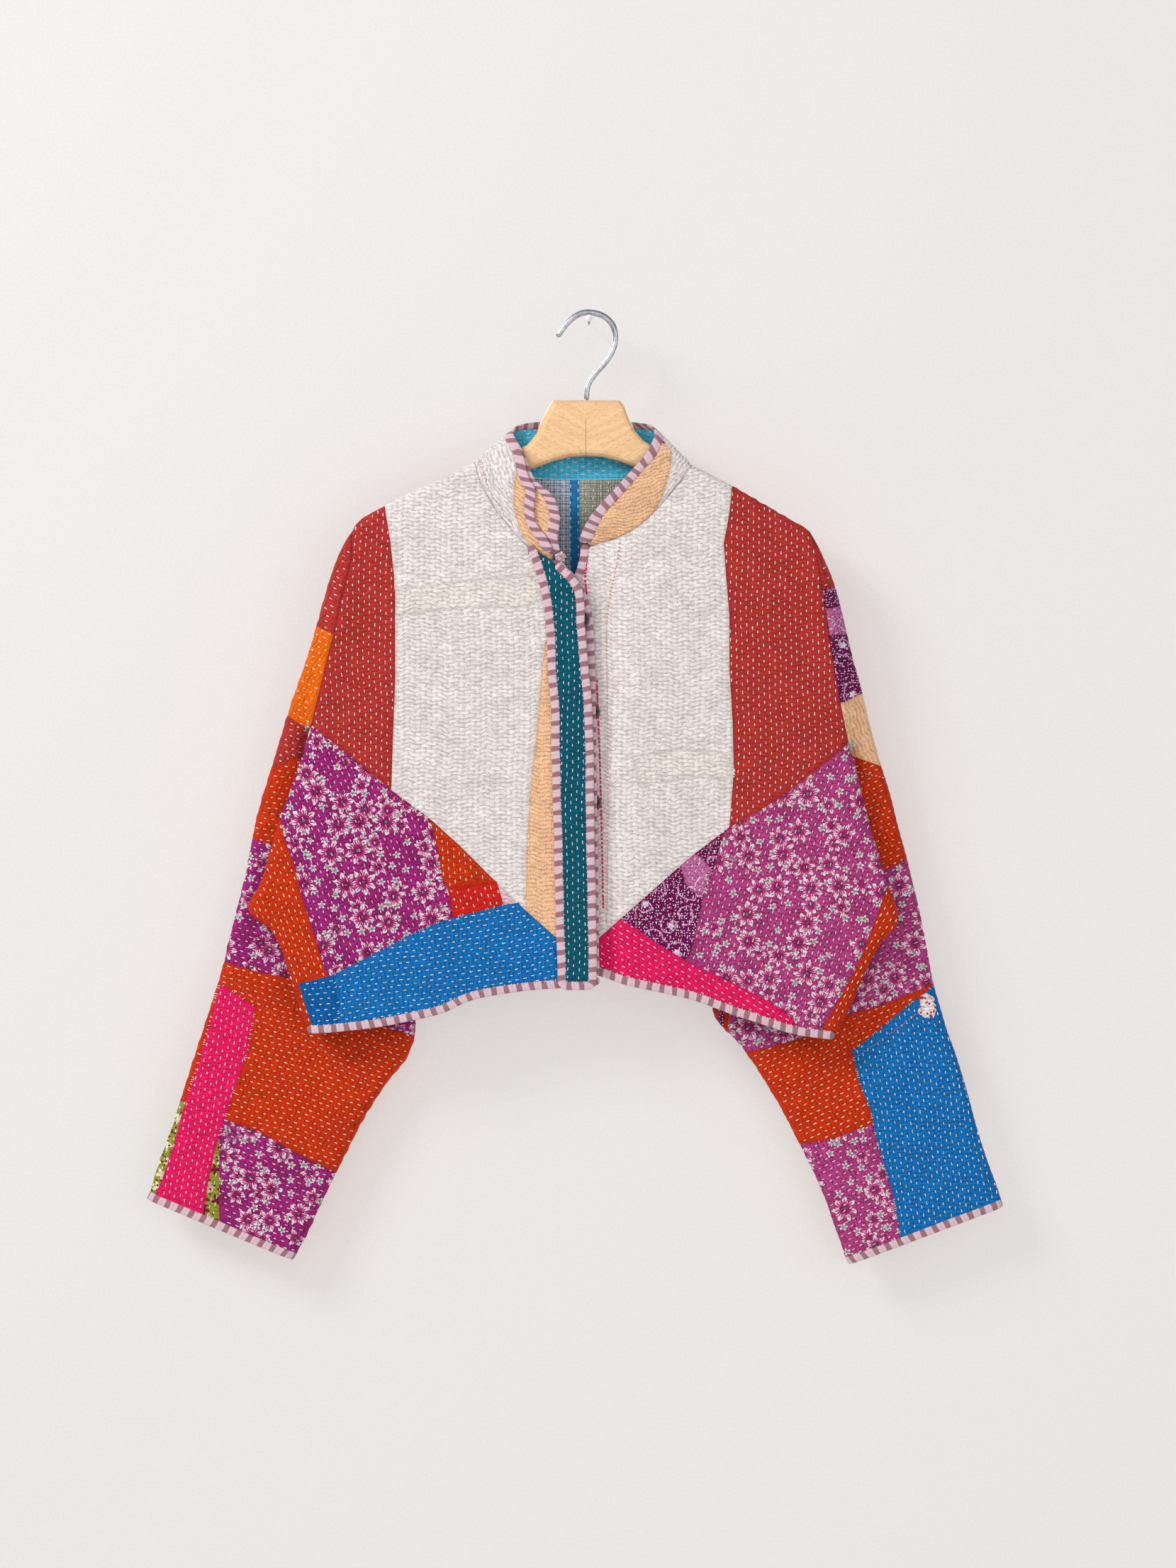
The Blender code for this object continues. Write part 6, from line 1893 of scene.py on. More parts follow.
class Shader:
    """A material under construction, with short ways to add its nodes."""

    def __init__(self, name, settings):
        """A new material with plain numbers on some sockets of its shader."""
        self.material = bpy.data.materials.new(name)
        self.material.use_nodes = True
        self.tree = self.material.node_tree
        self.surface = self.tree.nodes["Principled BSDF"]
        for socket, value in settings.items():
            self.surface.inputs[socket].default_value = value

    def put(self, value, socket):
        """Link a node's output to a socket, or set the socket to a plain value."""
        if isinstance(value, bpy.types.NodeSocket):
            self.tree.links.new(value, socket)
        else:
            socket.default_value = value

    def finish(self, shade, roughness, height):
        """Link the colour, the roughness and a bump from a height in millimetres."""
        self.put(shade, self.surface.inputs["Base Color"])
        self.put(roughness, self.surface.inputs["Roughness"])
        bump = self.tree.nodes.new("ShaderNodeBump")
        bump.inputs["Distance"].default_value = MM
        self.put(height, bump.inputs["Height"])
        self.tree.links.new(bump.outputs["Normal"], self.surface.inputs["Normal"])
        return self.material

    def math(self, operation, *values):
        """The result of one sum."""
        node = self.tree.nodes.new("ShaderNodeMath")
        node.operation = operation
        for value, socket in zip(values, node.inputs):
            self.put(value, socket)
        return node.outputs[0]

    def add(self, *values):
        """Two or more values added up."""
        total = values[0]
        for value in values[1:]:
            total = self.math("ADD", total, value)
        return total

    def minus(self, a, b):
        """The second value taken from the first."""
        return self.math("SUBTRACT", a, b)

    def times(self, *values):
        """Two or more values multiplied."""
        total = values[0]
        for value in values[1:]:
            total = self.math("MULTIPLY", total, value)
        return total

    def wave(self, at, length):
        """A sine wave of a given length."""
        return self.math("SINE", self.times(at, 2 * math.pi / length))

    def attribute(self, name):
        """The three numbers of a mesh attribute."""
        node = self.tree.nodes.new("ShaderNodeAttribute")
        node.attribute_name = name
        return self.split(node.outputs["Vector"])

    def object_place(self):
        """The place on the piece, in metres."""
        node = self.tree.nodes.new("ShaderNodeTexCoord")
        return self.split(node.outputs["Object"])

    def split(self, vector):
        """The three numbers of a vector."""
        node = self.tree.nodes.new("ShaderNodeSeparateXYZ")
        self.put(vector, node.inputs[0])
        return tuple(node.outputs)

    def join(self, x, y, z=0.0):
        """A vector of three numbers."""
        node = self.tree.nodes.new("ShaderNodeCombineXYZ")
        for value, socket in zip((x, y, z), node.inputs):
            self.put(value, socket)
        return node.outputs[0]

    def noise(self, vector, scale, detail=2.0):
        """Soft uneven noise at a place."""
        node = self.tree.nodes.new("ShaderNodeTexNoise")
        self.put(vector, node.inputs["Vector"])
        node.inputs["Scale"].default_value = scale
        node.inputs["Detail"].default_value = detail
        return node.outputs["Fac"]

    def stretched(self, x, y, x_scale, y_scale, detail):
        """Noise that is stretched along one of two directions."""
        return self.noise(self.join(self.times(x, x_scale), self.times(y, y_scale)), 1.0, detail)

    def cells(self, vector, loose):
        """Scattered centres: the place of the nearest one and its random colour."""
        node = self.tree.nodes.new("ShaderNodeTexVoronoi")
        node.voronoi_dimensions = "2D"
        self.put(vector, node.inputs["Vector"])
        node.inputs["Scale"].default_value = 1.0
        node.inputs["Randomness"].default_value = loose
        return node.outputs["Position"], node.outputs["Color"]

    def step(self, value, low, high, start=0.0, stop=1.0):
        """A smooth change from start to stop as the value goes from low to high."""
        node = self.tree.nodes.new("ShaderNodeMapRange")
        node.interpolation_type = "SMOOTHSTEP"
        for number, item in enumerate((value, low, high, start, stop)):
            self.put(item, node.inputs[number])
        return node.outputs[0]

    def fall(self, value, low, high):
        """A smooth fall from 1 to 0 as the value goes from low to high."""
        return self.step(value, low, high, 1.0, 0.0)

    def chosen(self, chance, rarity):
        """1 where a random value is above the rarity and 0 elsewhere."""
        return self.step(chance, rarity, rarity + 0.02)

    def mix(self, share, a, b, blend="MIX"):
        """A mix of two colours."""
        node = self.tree.nodes.new("ShaderNodeMix")
        node.data_type = "RGBA"
        node.blend_type = blend
        self.put(share, node.inputs[0])
        self.put(a, node.inputs[6])
        self.put(b, node.inputs[7])
        return node.outputs[2]

    def shade_by(self, shade, factor):
        """A colour made lighter or darker by a factor."""
        return self.mix(1.0, shade, self.join(factor, factor, factor), "MULTIPLY")


def cotton(name, paint, *colours):
    """Worn hand-quilted cotton: soft mottling, painted shade in the low pinched rows, fine creases and cracks
    that are also painted darker as shade, and a plain weave.
    """
    s = Shader(name, {
        "Roughness": 0.9, "Sheen Weight": 0.02, "Sheen Roughness": 0.5, "Specular IOR Level": 0.15,
    })
    p, q, relief = s.attribute("rows")
    x, z, _ = s.attribute("print")
    place = s.join(x, z)
    shade = paint(s, x, z, *colours)
    mottle = s.noise(place, 1 / 28.0, 3.0)
    fine = s.noise(place, 1 / 0.9, 2.0)
    # The pinch factor is painted shade: darker where the quilted relief is low, a little lighter on the
    # puffs.
    pinch_shade = s.step(relief, -0.85, 0.5, 0.80, 1.06)
    uneven = s.stretched(p, q, 0.30, 0.22, 2.0)
    bent = s.add(q, s.times(s.minus(uneven, 0.5), 5.0))
    gathers = s.math("COSINE", s.times(bent, 4 * math.pi / STITCH_PITCH))
    seldom = s.step(s.stretched(p, q, 0.16, 0.3, 1.0), 0.36, 0.52)
    crack = s.times(s.fall(gathers, -1.0, -CRACK_SHARP), seldom)
    crease_field = s.stretched(p, q, 0.13, 0.5, 3.0)
    crease = s.step(s.math("ABSOLUTE", s.minus(crease_field, 0.5)), 0.0, 0.045)
    # Random mottling, multiplied below by painted shade in the pinched rows, the crease lines and the cracks.
    factor = s.times(s.step(mottle, 0.25, 0.75, 0.94, 1.05), s.step(fine, 0.2, 0.8, 0.95, 1.05))
    # Painted shade: the crease lines (here) and the cracks (next line) are darker, in the grooves that the
    # bump also makes.
    crease_shade = s.step(crease, 0.0, 1.0, 0.92, 1.0)
    factor = s.times(factor, s.times(pinch_shade, crease_shade), s.step(crack, 0.0, 1.0, 1.0, 0.84))
    weave = s.times(s.wave(p, THREAD_SPACING), s.wave(q, THREAD_SPACING), 0.02)
    lumps = s.times(s.stretched(p, q, 0.5, 0.8, 3.0), 0.55)
    height = s.add(s.times(crease, 0.16), s.times(crack, -0.5), lumps, weave, s.times(fine, 0.06))
    return s.finish(s.shade_by(shade, factor), s.step(fine, 0.2, 0.8, 0.84, 0.95), height)


def plain(s, x, z, base):
    """Dyed cloth, a little uneven."""
    uneven = s.noise(s.join(x, z), 1 / 9.0, 3.0)
    return s.mix(s.step(uneven, 0.35, 0.7), base, scaled(base, 0.87))


def round_each(s, x, z, size, loose):
    """Local place, distance and direction round scattered centres, and their random values."""
    at = s.join(s.times(x, 1 / size), s.times(z, 1 / size))
    centre, chance = s.cells(at, loose)
    cx, cz, _ = s.split(centre)
    ax, az, _ = s.split(at)
    dx = s.minus(ax, cx)
    dz = s.minus(az, cz)
    reach = s.math("SQRT", s.add(s.times(dx, dx), s.times(dz, dz)))
    first, second, third = s.split(chance)
    turn = s.add(s.math("ARCTAN2", dz, dx), s.times(first, 2 * math.pi))
    return reach, turn, second, third


def petal_edge(s, turn, count, short):
    """How far the petals reach in each direction, from short between them to 1 at their tips."""
    around = s.math("FRACT", s.times(turn, count / (2 * math.pi)))
    tip = s.minus(1.0, s.math("ABSOLUTE", s.minus(s.times(around, 2.0), 1.0)))
    return s.add(short, s.times(s.math("POWER", tip, 0.8), 1.0 - short))


def petal_share(s, reach, turn, count, short, size):
    """Distance from a centre as a share of how far its petals reach in that direction."""
    return s.math("DIVIDE", reach, s.times(petal_edge(s, turn, count, short), size))


def dots(s, shade, x, z, size, loose, edge, rarity, ink):
    """Scattered round dots of one colour, painted over another."""
    reach, _, chance, _ = round_each(s, x, z, size, loose)
    return s.mix(s.times(s.fall(reach, *edge), s.chosen(chance, rarity)), shade, ink)


def flower_layer(s, shade, x, z, size, petals, rarity, rim, inner, eye):
    """One layer of scattered flowers with pale pointed petal tips, painted over a colour."""
    reach, turn, chance, shift = round_each(s, x, z, size, 0.85)
    wobble = s.noise(s.join(x, z), 0.45, 2.0)
    grown = s.add(0.36, s.times(chance, 0.12))
    edge = s.times(s.times(petal_edge(s, turn, petals, 0.46), grown), s.add(0.8, s.times(wobble, 0.4)))
    share = s.math("DIVIDE", reach, edge)
    body = s.fall(share, 0.95, 1.04)
    outline = s.fall(share, 1.05, 1.25)
    veins = s.math("SINE", s.times(turn, petals * 3.0))
    far = s.math("DIVIDE", reach, grown)
    ragged = s.add(far, s.times(veins, 0.14), s.times(wobble, 0.5))
    petal = s.mix(s.step(ragged, 0.72, 1.08), inner, rim)
    petal = s.mix(s.fall(ragged, 0.40, 0.74), petal, scaled(inner, 0.45))
    petal = s.mix(s.fall(s.add(far, s.times(shift, 0.05)), 0.08, 0.13), petal, eye)
    present = s.chosen(chance, rarity)
    shade = s.mix(s.times(s.times(outline, present), 0.6), shade, scaled(inner, 0.5))
    return s.mix(s.times(body, present), shade, petal)


def floral(s, x, z, ground, rim, inner, leaf):
    """A crowded flower print: flowers of two sizes, star-shaped leaves and dots."""
    patchy = s.noise(s.join(x, z), 1 / 17.0, 2.0)
    shade = s.mix(s.step(patchy, 0.4, 0.62), ground, scaled(ground, 0.8))
    shade = dots(s, shade, s.add(x, 31.0), s.add(z, 7.0), 3.1, 0.9, (0.20, 0.26), 0.45, scaled(inner, 0.4))
    reach, turn, chance, _ = round_each(s, s.add(x, 3.0), s.add(z, 19.0), 11.5, 0.9)
    leaf_share = petal_share(s, reach, turn, 5, 0.22, 0.34)
    leaf_in = s.times(s.fall(leaf_share, 0.95, 1.05), s.chosen(chance, 0.42))
    leaf_shade = s.mix(s.step(leaf_share, 0.3, 0.8), leaf, rim)
    shade = s.mix(leaf_in, shade, leaf_shade)
    shade = flower_layer(s, shade, s.add(x, 11.0), s.add(z, 5.0), 19.0, 6, 0.66, rim, inner, leaf)
    return flower_layer(s, shade, x, z, 27.0, 7, 0.22, rim, inner, leaf)


def swirls(s, x, z, ground, line, dot):
    """Curling vines and fine dots."""
    bend = s.noise(s.join(x, z), 1 / 13.0, 1.0)
    reach, turn, chance, _ = round_each(s, x, z, 24.0, 0.8)
    spiral = s.math("SINE", s.add(turn, s.times(reach, 17.0), s.times(bend, 7.0)))
    stroke = s.times(s.step(spiral, 0.82, 0.93), s.step(reach, 0.05, 0.1))
    shade = s.mix(s.times(stroke, s.fall(reach, 0.42, 0.5)), ground, line)
    petal = petal_share(s, reach, turn, 5, 0.5, 0.15)
    shade = s.mix(s.times(s.fall(petal, 0.93, 1.05), s.chosen(chance, 0.4)), shade, dot)
    return dots(s, shade, s.add(x, 5.0), z, 2.6, 0.7, (0.16, 0.24), 0.3, dot)


def sprigs(s, x, z, ground, first, second):
    """Small sprigs in two colours on a quiet ground."""
    reach, turn, chance, _ = round_each(s, x, z, 13.0, 0.85)
    leaf = s.fall(petal_share(s, reach, turn, 4, 0.25, 0.45), 0.92, 1.05)
    shade = s.mix(leaf, ground, s.mix(s.chosen(chance, 0.5), first, second))
    return dots(s, shade, s.add(x, 4.0), s.add(z, 9.0), 4.4, 0.8, (0.2, 0.28), 0.4, second)


def lines_of(s, at, period, low, high):
    """Soft-edged lines that repeat at a period and fill the share from low to high of it."""
    phase = s.math("FRACT", s.times(at, 1 / period))
    return s.times(s.step(phase, low - 0.03, low + 0.03), s.fall(phase, high - 0.03, high + 0.03))


def plaid(s, x, z, ground, line, fine):
    """Woven checks: broad and fine lines both ways, darker where they cross."""
    broad = s.add(s.times(lines_of(s, x, 5.6, 0.1, 0.38), 0.5), s.times(lines_of(s, z, 5.6, 0.1, 0.38), 0.5))
    thin = s.math("MAXIMUM", lines_of(s, x, 5.6, 0.62, 0.72), lines_of(s, z, 5.6, 0.62, 0.72))
    return s.mix(s.times(thin, 0.8), s.mix(broad, ground, line), fine)


def faint_grid(s, x, z, ground, line):
    """A thin woven grid, hardly lighter than the cloth."""
    net = s.math("MAXIMUM", lines_of(s, x, 4.2, 0.1, 0.25), lines_of(s, z, 4.2, 0.1, 0.25))
    return s.mix(s.times(net, 0.35), plain(s, x, z, ground), line)


def ticked(s, x, z, ground, line):
    """Rows of tiny printed ticks."""
    net = s.times(lines_of(s, x, 3.3, 0.2, 0.45), lines_of(s, z, 2.4, 0.2, 0.7))
    return s.mix(s.times(net, 0.7), plain(s, x, z, ground), line)


WALL_COLOUR = colour(240, 236, 233)
WHITE_LILAC = colour(246, 226, 232)
MAGENTA = colour(178, 30, 118)
LEAF = colour(60, 150, 105)
FABRICS = {
    "rust": (plain, colour(186, 52, 47)),
    "orange": (plain, colour(240, 106, 0)),
    "orange_red": (plain, colour(208, 52, 6)),
    "dark_red": (plain, colour(150, 32, 28)),
    "red": (plain, colour(215, 35, 25)),
    "peach": (plain, colour(255, 202, 156)),
    "cream": (plain, colour(246, 236, 226)),
    "pale_grey": (plain, colour(244, 234, 230)),
    "blush": (plain, colour(240, 200, 205)),
    "pink": (ticked, colour(240, 20, 96), colour(235, 40, 120)),
    "blue": (faint_grid, colour(0, 110, 185), colour(60, 150, 215)),
    "blue_dark": (plain, colour(0, 98, 172)),
    "teal": (plain, colour(0, 88, 108)),
    "turquoise": (faint_grid, colour(70, 196, 236), colour(170, 228, 240)),
    "plain_blue": (faint_grid, colour(40, 130, 190), colour(20, 90, 150)),
    "floral": (floral, colour(166, 36, 122), WHITE_LILAC, MAGENTA, LEAF),
    "floral_pink": (floral, colour(188, 66, 134), WHITE_LILAC, colour(190, 46, 126), LEAF),
    "purple": (swirls, colour(112, 12, 80), colour(215, 150, 195), colour(240, 215, 235)),
    "lilac": (swirls, colour(200, 110, 165), colour(240, 200, 225), colour(130, 30, 90)),
    "olive": (sprigs, colour(150, 150, 45), colour(240, 228, 190), colour(120, 25, 45)),
    "white_print": (sprigs, colour(240, 232, 230), colour(60, 90, 160), colour(200, 40, 60)),
    "plaid_navy": (plaid, colour(214, 216, 222), colour(70, 98, 140), colour(60, 84, 120)),
    "plaid_olive": (plaid, colour(190, 190, 170), colour(120, 124, 108), colour(86, 96, 92)),
}
YARNS = {
    "thread_white": colour(240, 236, 230), "thread_cream": colour(252, 228, 198),
    "thread_grey": colour(226, 219, 216), "thread_blush": colour(252, 226, 234),
    "thread_yellow": colour(240, 218, 150), "thread_orange": colour(240, 120, 90),
    "thread_dark": colour(52, 38, 36), "thread_red": colour(200, 50, 50),
    "thread_lilac": colour(205, 190, 225), "nail_white": colour(240, 238, 235),
    "thread_pink": colour(226, 30, 105), "thread_red_faded": colour(205, 150, 150),
}


def yarn(name, shade):
    """Soft cotton thread with a visible twist, painted darker as shade in the grooves of the twist."""
    s = Shader(name, {"Roughness": 0.8, "Sheen Weight": 0.2, "Specular IOR Level": 0.3})
    along, side, number = s.attribute("rows")
    twist = s.math("SINE", s.add(s.times(along, 5.0), s.times(side, 1.6)))
    worn = s.noise(s.join(number, along, side), 0.9, 2.0)
    # Painted shade: the grooves of the twist are darker; the worn noise is the thread's own uneven colour.
    factor = s.times(s.step(twist, -1.0, 1.0, 0.86, 1.04), s.step(worn, 0.3, 0.7, 0.9, 1.04))
    return s.finish(s.shade_by(shade, factor), s.step(worn, 0.3, 0.7, 0.7, 0.9), s.times(twist, 0.05))


def striped(name, lean):
    """The woven striped cotton of the binding tapes, with stripes that lean by a share, and painted shade low
    on the tape's rounded sides.
    """
    s = Shader(name, {"Roughness": 0.85, "Sheen Weight": 0.2, "Specular IOR Level": 0.25})
    along, across, level = s.attribute("rows")
    wobble = s.times(s.noise(s.join(along, across), 0.12, 2.0), 2.4)
    at = s.add(along, s.times(across, lean), wobble)
    dark = lines_of(s, at, STRIPE_PERIOD, 0.08, 0.50)
    hair = lines_of(s, at, STRIPE_PERIOD, 0.72, 0.76)
    streak = s.stretched(at, across, 2.2, 0.1, 2.0)
    light = s.mix(s.step(streak, 0.35, 0.65), colour(222, 194, 201), colour(211, 180, 189))
    deep = s.mix(s.step(streak, 0.35, 0.65), colour(163, 118, 126), colour(146, 100, 110))
    shade = s.mix(s.times(hair, 0.5), s.mix(dark, light, deep), colour(190, 140, 155))
    fine = s.noise(s.join(along, across), 1.3, 2.0)
    # The edge factor is painted shade: the tape is darker low on its rounded sides, where it turns under
    # towards the cloth.
    edge = s.step(level, 0.2, 0.9, 0.72, 1.0)
    factor = s.times(edge, s.step(fine, 0.25, 0.75, 0.92, 1.04))
    ribs = s.times(s.wave(along, THREAD_SPACING), 0.03)
    creases = s.times(s.stretched(along, across, 0.8, 0.2, 3.0), 0.5)
    return s.finish(s.shade_by(shade, factor), s.step(fine, 0.25, 0.75, 0.78, 0.92), s.add(ribs, creases))


def crumpled(name):
    """Pink-grey tape gathered into a knot."""
    s = Shader(name, {"Roughness": 0.9})
    x, y, z = s.attribute("print")
    fine = s.noise(s.join(x, z, y), 0.9, 3.0)
    shade = s.mix(s.step(fine, 0.38, 0.62), colour(226, 202, 204), colour(168, 124, 130))
    return s.finish(shade, s.step(fine, 0.2, 0.8, 0.82, 0.95), s.times(fine, 0.8))


def beech(name, lean):
    """Planed beech: long pale grain along the arm, short brown flecks and a thin satin lacquer."""
    s = Shader(name, {"Roughness": 0.4, "Coat Weight": 0.25, "Coat Roughness": 0.25})
    x, y, z = s.object_place()
    along = s.add(s.times(x, math.cos(lean)), s.times(z, math.sin(lean)))
    across = s.add(s.times(x, -math.sin(lean)), s.times(z, math.cos(lean)))
    bend = s.noise(s.join(s.times(along, 9.0), s.times(across, 30.0), s.times(y, 30.0)), 1.0, 2.0)
    field = s.join(s.times(along, 6.0), s.add(s.times(across, 260.0), s.times(bend, 5.0)), s.times(y, 260.0))
    grain = s.noise(field, 1.0, 4.0)
    fleck = s.noise(s.join(s.times(along, 260.0), s.times(across, 1500.0), s.times(y, 900.0)), 1.0, 1.0)
    shade = s.mix(s.step(grain, 0.32, 0.68), colour(242, 200, 150), colour(232, 184, 130))
    shade = s.mix(s.step(fleck, 0.56, 0.68, 0.0, 0.6), shade, colour(190, 134, 86))
    rough = s.step(grain, 0.3, 0.7, 0.34, 0.46)
    return s.finish(shade, rough, s.add(s.times(grain, 0.08), s.times(fleck, -0.05)))


def brushed_steel(name):
    """Satin steel wire with fine drawn marks."""
    s = Shader(name, {"Roughness": 0.28, "Metallic": 1.0})
    along, around, _ = s.attribute("rows")
    marks = s.stretched(along, around, 0.12, 6.0, 3.0)
    cloud = s.stretched(along, around, 0.3, 0.3, 2.0)
    shade = s.mix(s.step(cloud, 0.3, 0.7), colour(198, 198, 202), colour(168, 168, 174))
    return s.finish(shade, s.step(marks, 0.3, 0.7, 0.22, 0.36), s.times(marks, 0.03))


def dark_horn(name):
    """Polished dark brown horn with a faint swirl."""
    s = Shader(name, {"Roughness": 0.3, "Coat Weight": 0.4, "Coat Roughness": 0.12})
    x, y, z = s.attribute("print")
    bend = s.noise(s.join(x, z, y), 0.16, 2.0)
    swirl = s.noise(s.join(s.add(s.times(x, 0.15), s.times(bend, 3.0)), s.times(z, 0.5)), 1.0, 3.0)
    shade = s.mix(s.step(swirl, 0.35, 0.68), colour(46, 28, 24), colour(92, 60, 46))
    return s.finish(shade, s.step(swirl, 0.3, 0.7, 0.24, 0.38), s.times(swirl, 0.04))


def plaster(name):
    """Painted plaster, evened out by a soft glow of its own."""
    s = Shader(name, {"Roughness": 0.85, "Emission Color": WALL_COLOUR, "Emission Strength": WALL_GLOW})
    x, y, z = s.object_place()
    fine = s.noise(s.join(x, z, y), 420.0, 3.0)
    lit = scaled(WALL_COLOUR, WALL_SHARE)
    shade = s.mix(s.step(fine, 0.3, 0.7), lit, scaled(lit, 0.93))
    return s.finish(shade, s.step(fine, 0.3, 0.7, 0.8, 0.9), s.times(fine, 0.25))


SPECIAL_MATERIALS = {"knot": crumpled, "steel": brushed_steel, "horn": dark_horn}


def material_named(name):
    """The material of a fabric, thread or hard part, made when it is first asked for."""
    look = "look_" + name
    if look in bpy.data.materials:
        return bpy.data.materials[look]
    if name in FABRICS:
        return cotton(look, *FABRICS[name])
    if name in YARNS:
        return yarn(look, YARNS[name])
    if name in STRIPE_LEANS:
        return striped(look, STRIPE_LEANS[name])
    return SPECIAL_MATERIALS[name](look)


# Whole pieces

def finish_cloth(name, layers, nodes, extra=()):
    piece = cloth_piece(name, layers)
    threads = stitch_piece(name + "_stitches", layers)
    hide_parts(*nodes)
    for obj in (piece, threads, *extra):
        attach(obj, "root")


def front(side, patches, area):
    """One front with its edge and hem bindings."""
    sign = INWARD[side]
    face = "front_" + side
    place = body_layer_place(face)
    layer = Layer(face, front_ring(side), patches, place)
    hem = shifted(smooth_path(HEM[side], TAPE_STEP), sign * BINDING_WIDTH / 2)
    edge_whip = (-sign, "thread_white", "thread_red", "thread_lilac")
    tapes = (
        tape_piece("binding_hem_" + side, hem, place, 1, whip=(sign, *HEM_THREADS)),
        tape_piece("binding_front_" + side, front_edge_tape_path(side), place, 2, whip=edge_whip),
    )
    nodes = (face + "_upper", face + "_lower")
    finish_cloth(face + "_cloth", (layer,), nodes, tapes)


def back():
    """The back with its hem binding; its inner side shows in the neck."""
    place = body_layer_place("back")
    layer = Layer("back", back_ring(), BACK_PATCHES, place, back=True, lining=NECK_LINING)
    hem = shifted(smooth_path(BACK_HEM, TAPE_STEP), BINDING_WIDTH / 2)
    tape = tape_piece("binding_hem_back", hem, place, 3, whip=(1.0, *HEM_THREADS))
    finish_cloth("back_cloth", (layer,), ("back",), (tape,))


def sleeve(side):
    """One sleeve as a flattened tube of two layers joined along its folds, with its cuff binding."""
    outline = sleeve_ring(side)
    layers = (
        Layer("sleeve_" + side, outline, SLEEVE_FRONT_PATCHES[side], sleeve_layer_place(side, "front"),
              lining=BLUE_LINING, welded=True),
        Layer("sleeve_back_" + side, outline, SLEEVE_BACK_PATCHES[side], sleeve_layer_place(side, "back"),
              back=True, lining=BLUE_LINING, welded=True),
    )
    name = "sleeve_" + side
    finish_cloth(name + "_cloth", layers, (name + "_upper", name + "_lower"),
                 (cuff_tape(side),))


def collar():
    """The stand collar with its edge binding, the second tape and the knot at its end."""
    layer = Layer("collar", collar_ring(), COLLAR_PATCHES, collar_place, back=True, lining=BLUE_LINING)
    fold_insets = (-COLLAR_TAPE_LIFT, -COLLAR_TAPE_LIFT - COLLAR_TAPE_THICKNESS)
    fold = tape_piece("binding_collar_fold", collar_fold_path(), collar_place, 5, fold_insets,
                      "stripe_slanted")
    knot = knot_piece("collar_knot")
    tape = tape_piece("binding_collar", collar_edge_path(), collar_place, 4, material="stripe_slanted")
    finish_cloth("collar_cloth", (layer,), ("collar",), (tape, fold, knot))


def placket():
    """The narrow flap on the right front, bound on both sides and at its foot."""
    layer = Layer("placket", placket_ring(), TEAL_STRIP, placket_point)
    insets = (WALL + PLACKET_TAPE_UNDER, -BINDING_PROUD)
    tape = tape_piece("binding_placket", placket_tape_path(), placket_point, 6, insets,
                      whip=(1.0, "thread_white", "thread_lilac"))
    finish_cloth("placket_cloth", (layer,), ("placket",),
                 (tape,))


def hard_parts():
    """Buttons, hook and the wooden hanger."""
    pieces = {}
    for number, turn_offset in enumerate(BUTTON_TURNS, start=1):
        node = "button_%d" % number
        pieces[node] = button_piece(node, turn_offset)
    pieces["hook"] = hook_piece("hook_wire")
    for node, piece in pieces.items():
        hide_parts(node)
        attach(piece, "root")
    for side, lean in (("right", HANGER_GRAIN_LEAN), ("left", -HANGER_GRAIN_LEAN)):
        board = bpy.data.objects["hanger_" + side]
        for slot in board.material_slots:
            slot.material = beech("look_beech_" + side, lean)


def link(obj):
    """Put an object into the scene."""
    bpy.context.scene.collection.objects.link(obj)
    return obj


def stage():
    """The wall behind, the floor, the nail, the camera, the lights and the sky."""
    wall = plane("wall", ((-1, 0, -1), (1, 0, -1), (1, 0, 1), (-1, 0, 1)), (0.0, WALL_Y, 0.0))
    floor = plane("floor", ((-1, -1, 0), (1, -1, 0), (1, 1, 0), (-1, 1, 0)), (0.0, 0.0, FLOOR_Z))
    for part in ("visible_diffuse", "visible_glossy", "visible_shadow"):
        setattr(wall, part, False)
    nail_piece()
    add_camera()
    add_lights()
    add_sky()


def add_camera():
    """The camera in front of the jacket, with the photograph's view."""
    data = bpy.data.cameras.new("camera")
    data.sensor_fit = "VERTICAL"
    data.sensor_height = CAMERA_SENSOR
    data.lens = CAMERA_LENS
    camera = link(bpy.data.objects.new("camera", data))
    camera.location = CAMERA_PLACE
    camera.rotation_euler = (math.pi / 2, 0.0, 0.0)
    bpy.context.scene.camera = camera


def add_lights():
    """Square lamps that all face the middle of the jacket."""
    for name, place, size, power in LIGHTS:
        lamp = bpy.data.lights.new(name, "AREA")
        lamp.size = size
        lamp.energy = power
        obj = link(bpy.data.objects.new(name, lamp))
        obj.location = place
        obj.rotation_euler = (Vector(LIGHT_AIM) - Vector(place)).to_track_quat("-Z", "Y").to_euler()


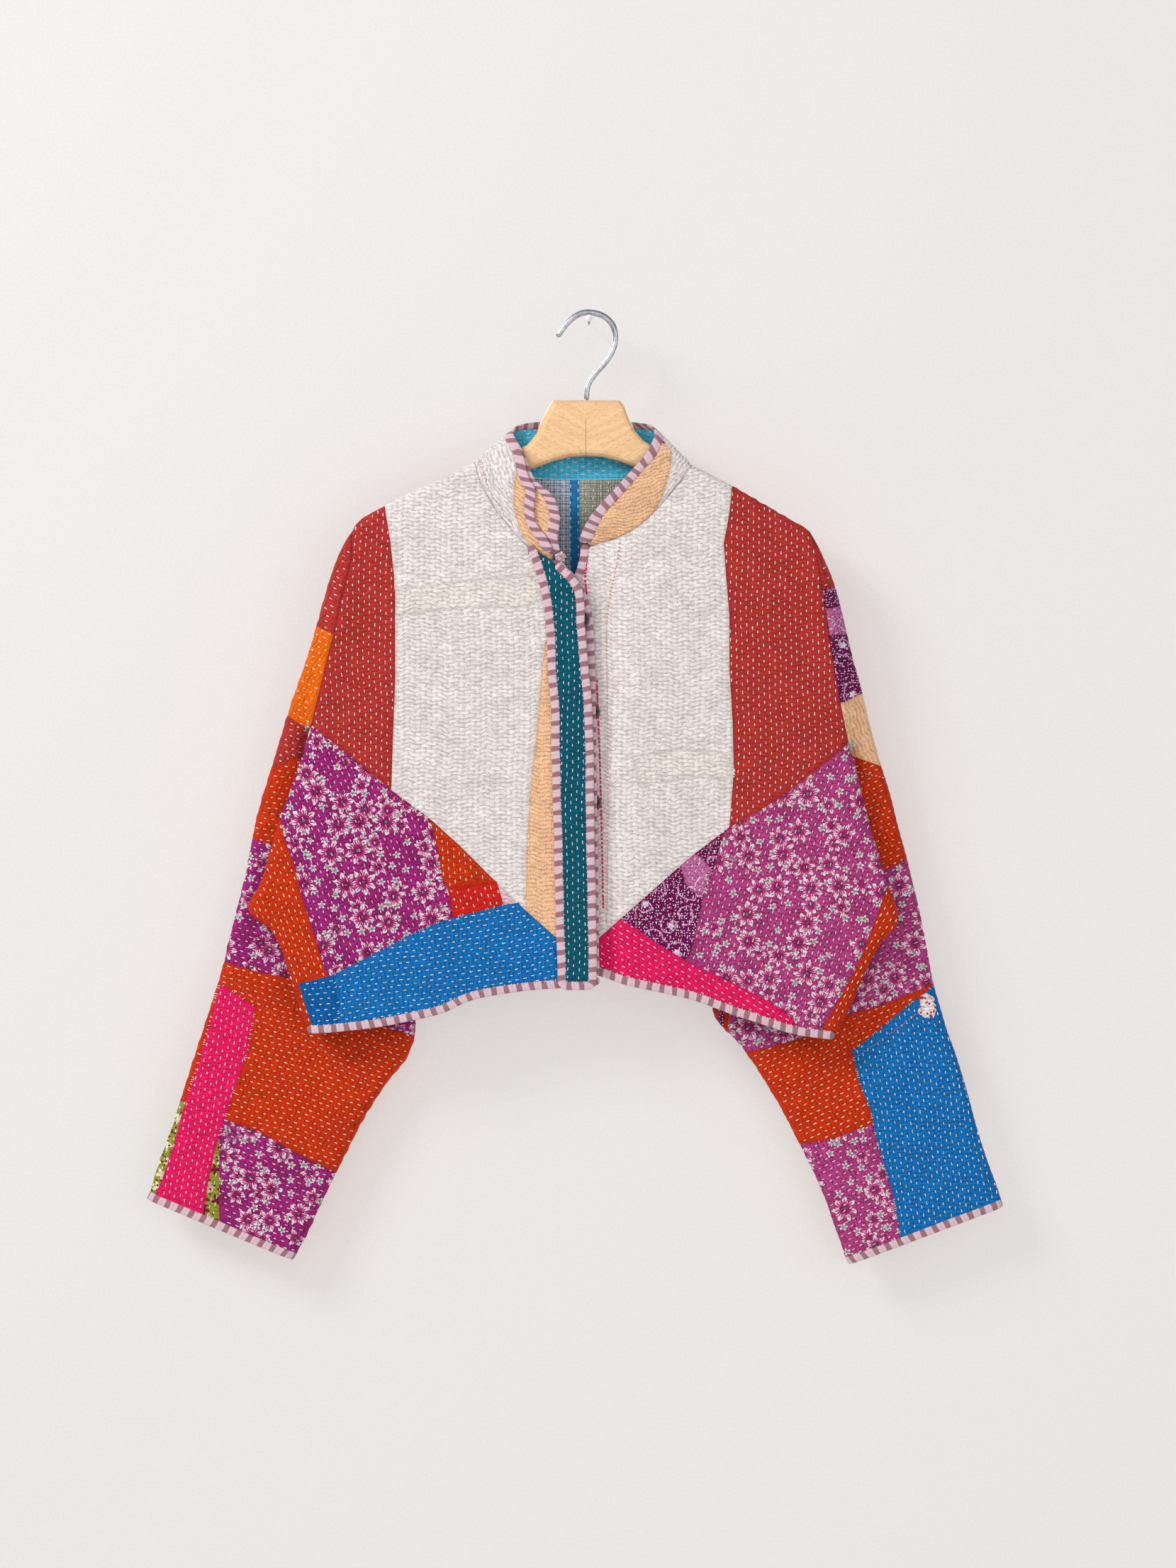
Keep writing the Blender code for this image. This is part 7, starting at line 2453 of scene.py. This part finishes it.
def add_sky():
    """Soft even light from all round."""
    world = bpy.data.worlds.new("world")
    world.use_nodes = True
    sky = world.node_tree.nodes["Background"]
    sky.inputs["Color"].default_value = (*WORLD_COLOUR, 1.0)
    sky.inputs["Strength"].default_value = WORLD_STRENGTH
    bpy.context.scene.world = world
    bpy.context.scene.view_settings.view_transform = "Standard"


def one_sided(name):
    """The wall's material, which is clear when it is seen from behind."""
    material = plaster(name)
    nodes = material.node_tree.nodes
    clear = nodes.new("ShaderNodeBsdfTransparent")
    mixer = nodes.new("ShaderNodeMixShader")
    facing = nodes.new("ShaderNodeNewGeometry")
    for source, target in (
        (facing.outputs["Backfacing"], mixer.inputs["Fac"]),
        (nodes["Principled BSDF"].outputs["BSDF"], mixer.inputs[1]),
        (clear.outputs["BSDF"], mixer.inputs[2]),
        (mixer.outputs["Shader"], nodes["Material Output"].inputs["Surface"]),
    ):
        material.node_tree.links.new(source, target)
    return material


def plane(name, corners, centre):
    """A large flat square of the stage."""
    mesh = bpy.data.meshes.new(name)
    half = STAGE_SIZE / 2
    mesh.from_pydata([tuple(half * value for value in corner) for corner in corners], [], [(0, 1, 2, 3)])
    mesh.materials.append(one_sided("look_" + name))
    obj = link(bpy.data.objects.new(name, mesh))
    obj.location = centre
    return obj


def nail_piece():
    """The round nail head on the wall inside the hook's bend, and its shank."""
    builder = Builder("nail")
    line = np.array([(NAIL_CENTRE[0], y, NAIL_CENTRE[1]) for y in NAIL_LINE])
    add_wire(builder, line, NAIL_RADIUS, NAIL_SIDES, "steel")
    head = line[0] + np.array([(0.0, offset, 0.0) for offset in NAIL_HEAD_LINE])
    add_wire(builder, head, NAIL_HEAD_RADIUS, NAIL_HEAD_SIDES, "nail_white")
    return builder.make()


def main():
    """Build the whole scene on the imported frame."""
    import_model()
    stage()
    front("right", FRONT_RIGHT_PATCHES, FRONT_RIGHT_AREA)
    front("left", FRONT_LEFT_PATCHES, FRONT_LEFT_AREA)
    back()
    sleeve("right")
    sleeve("left")
    collar()
    placket()
    hard_parts()


main()
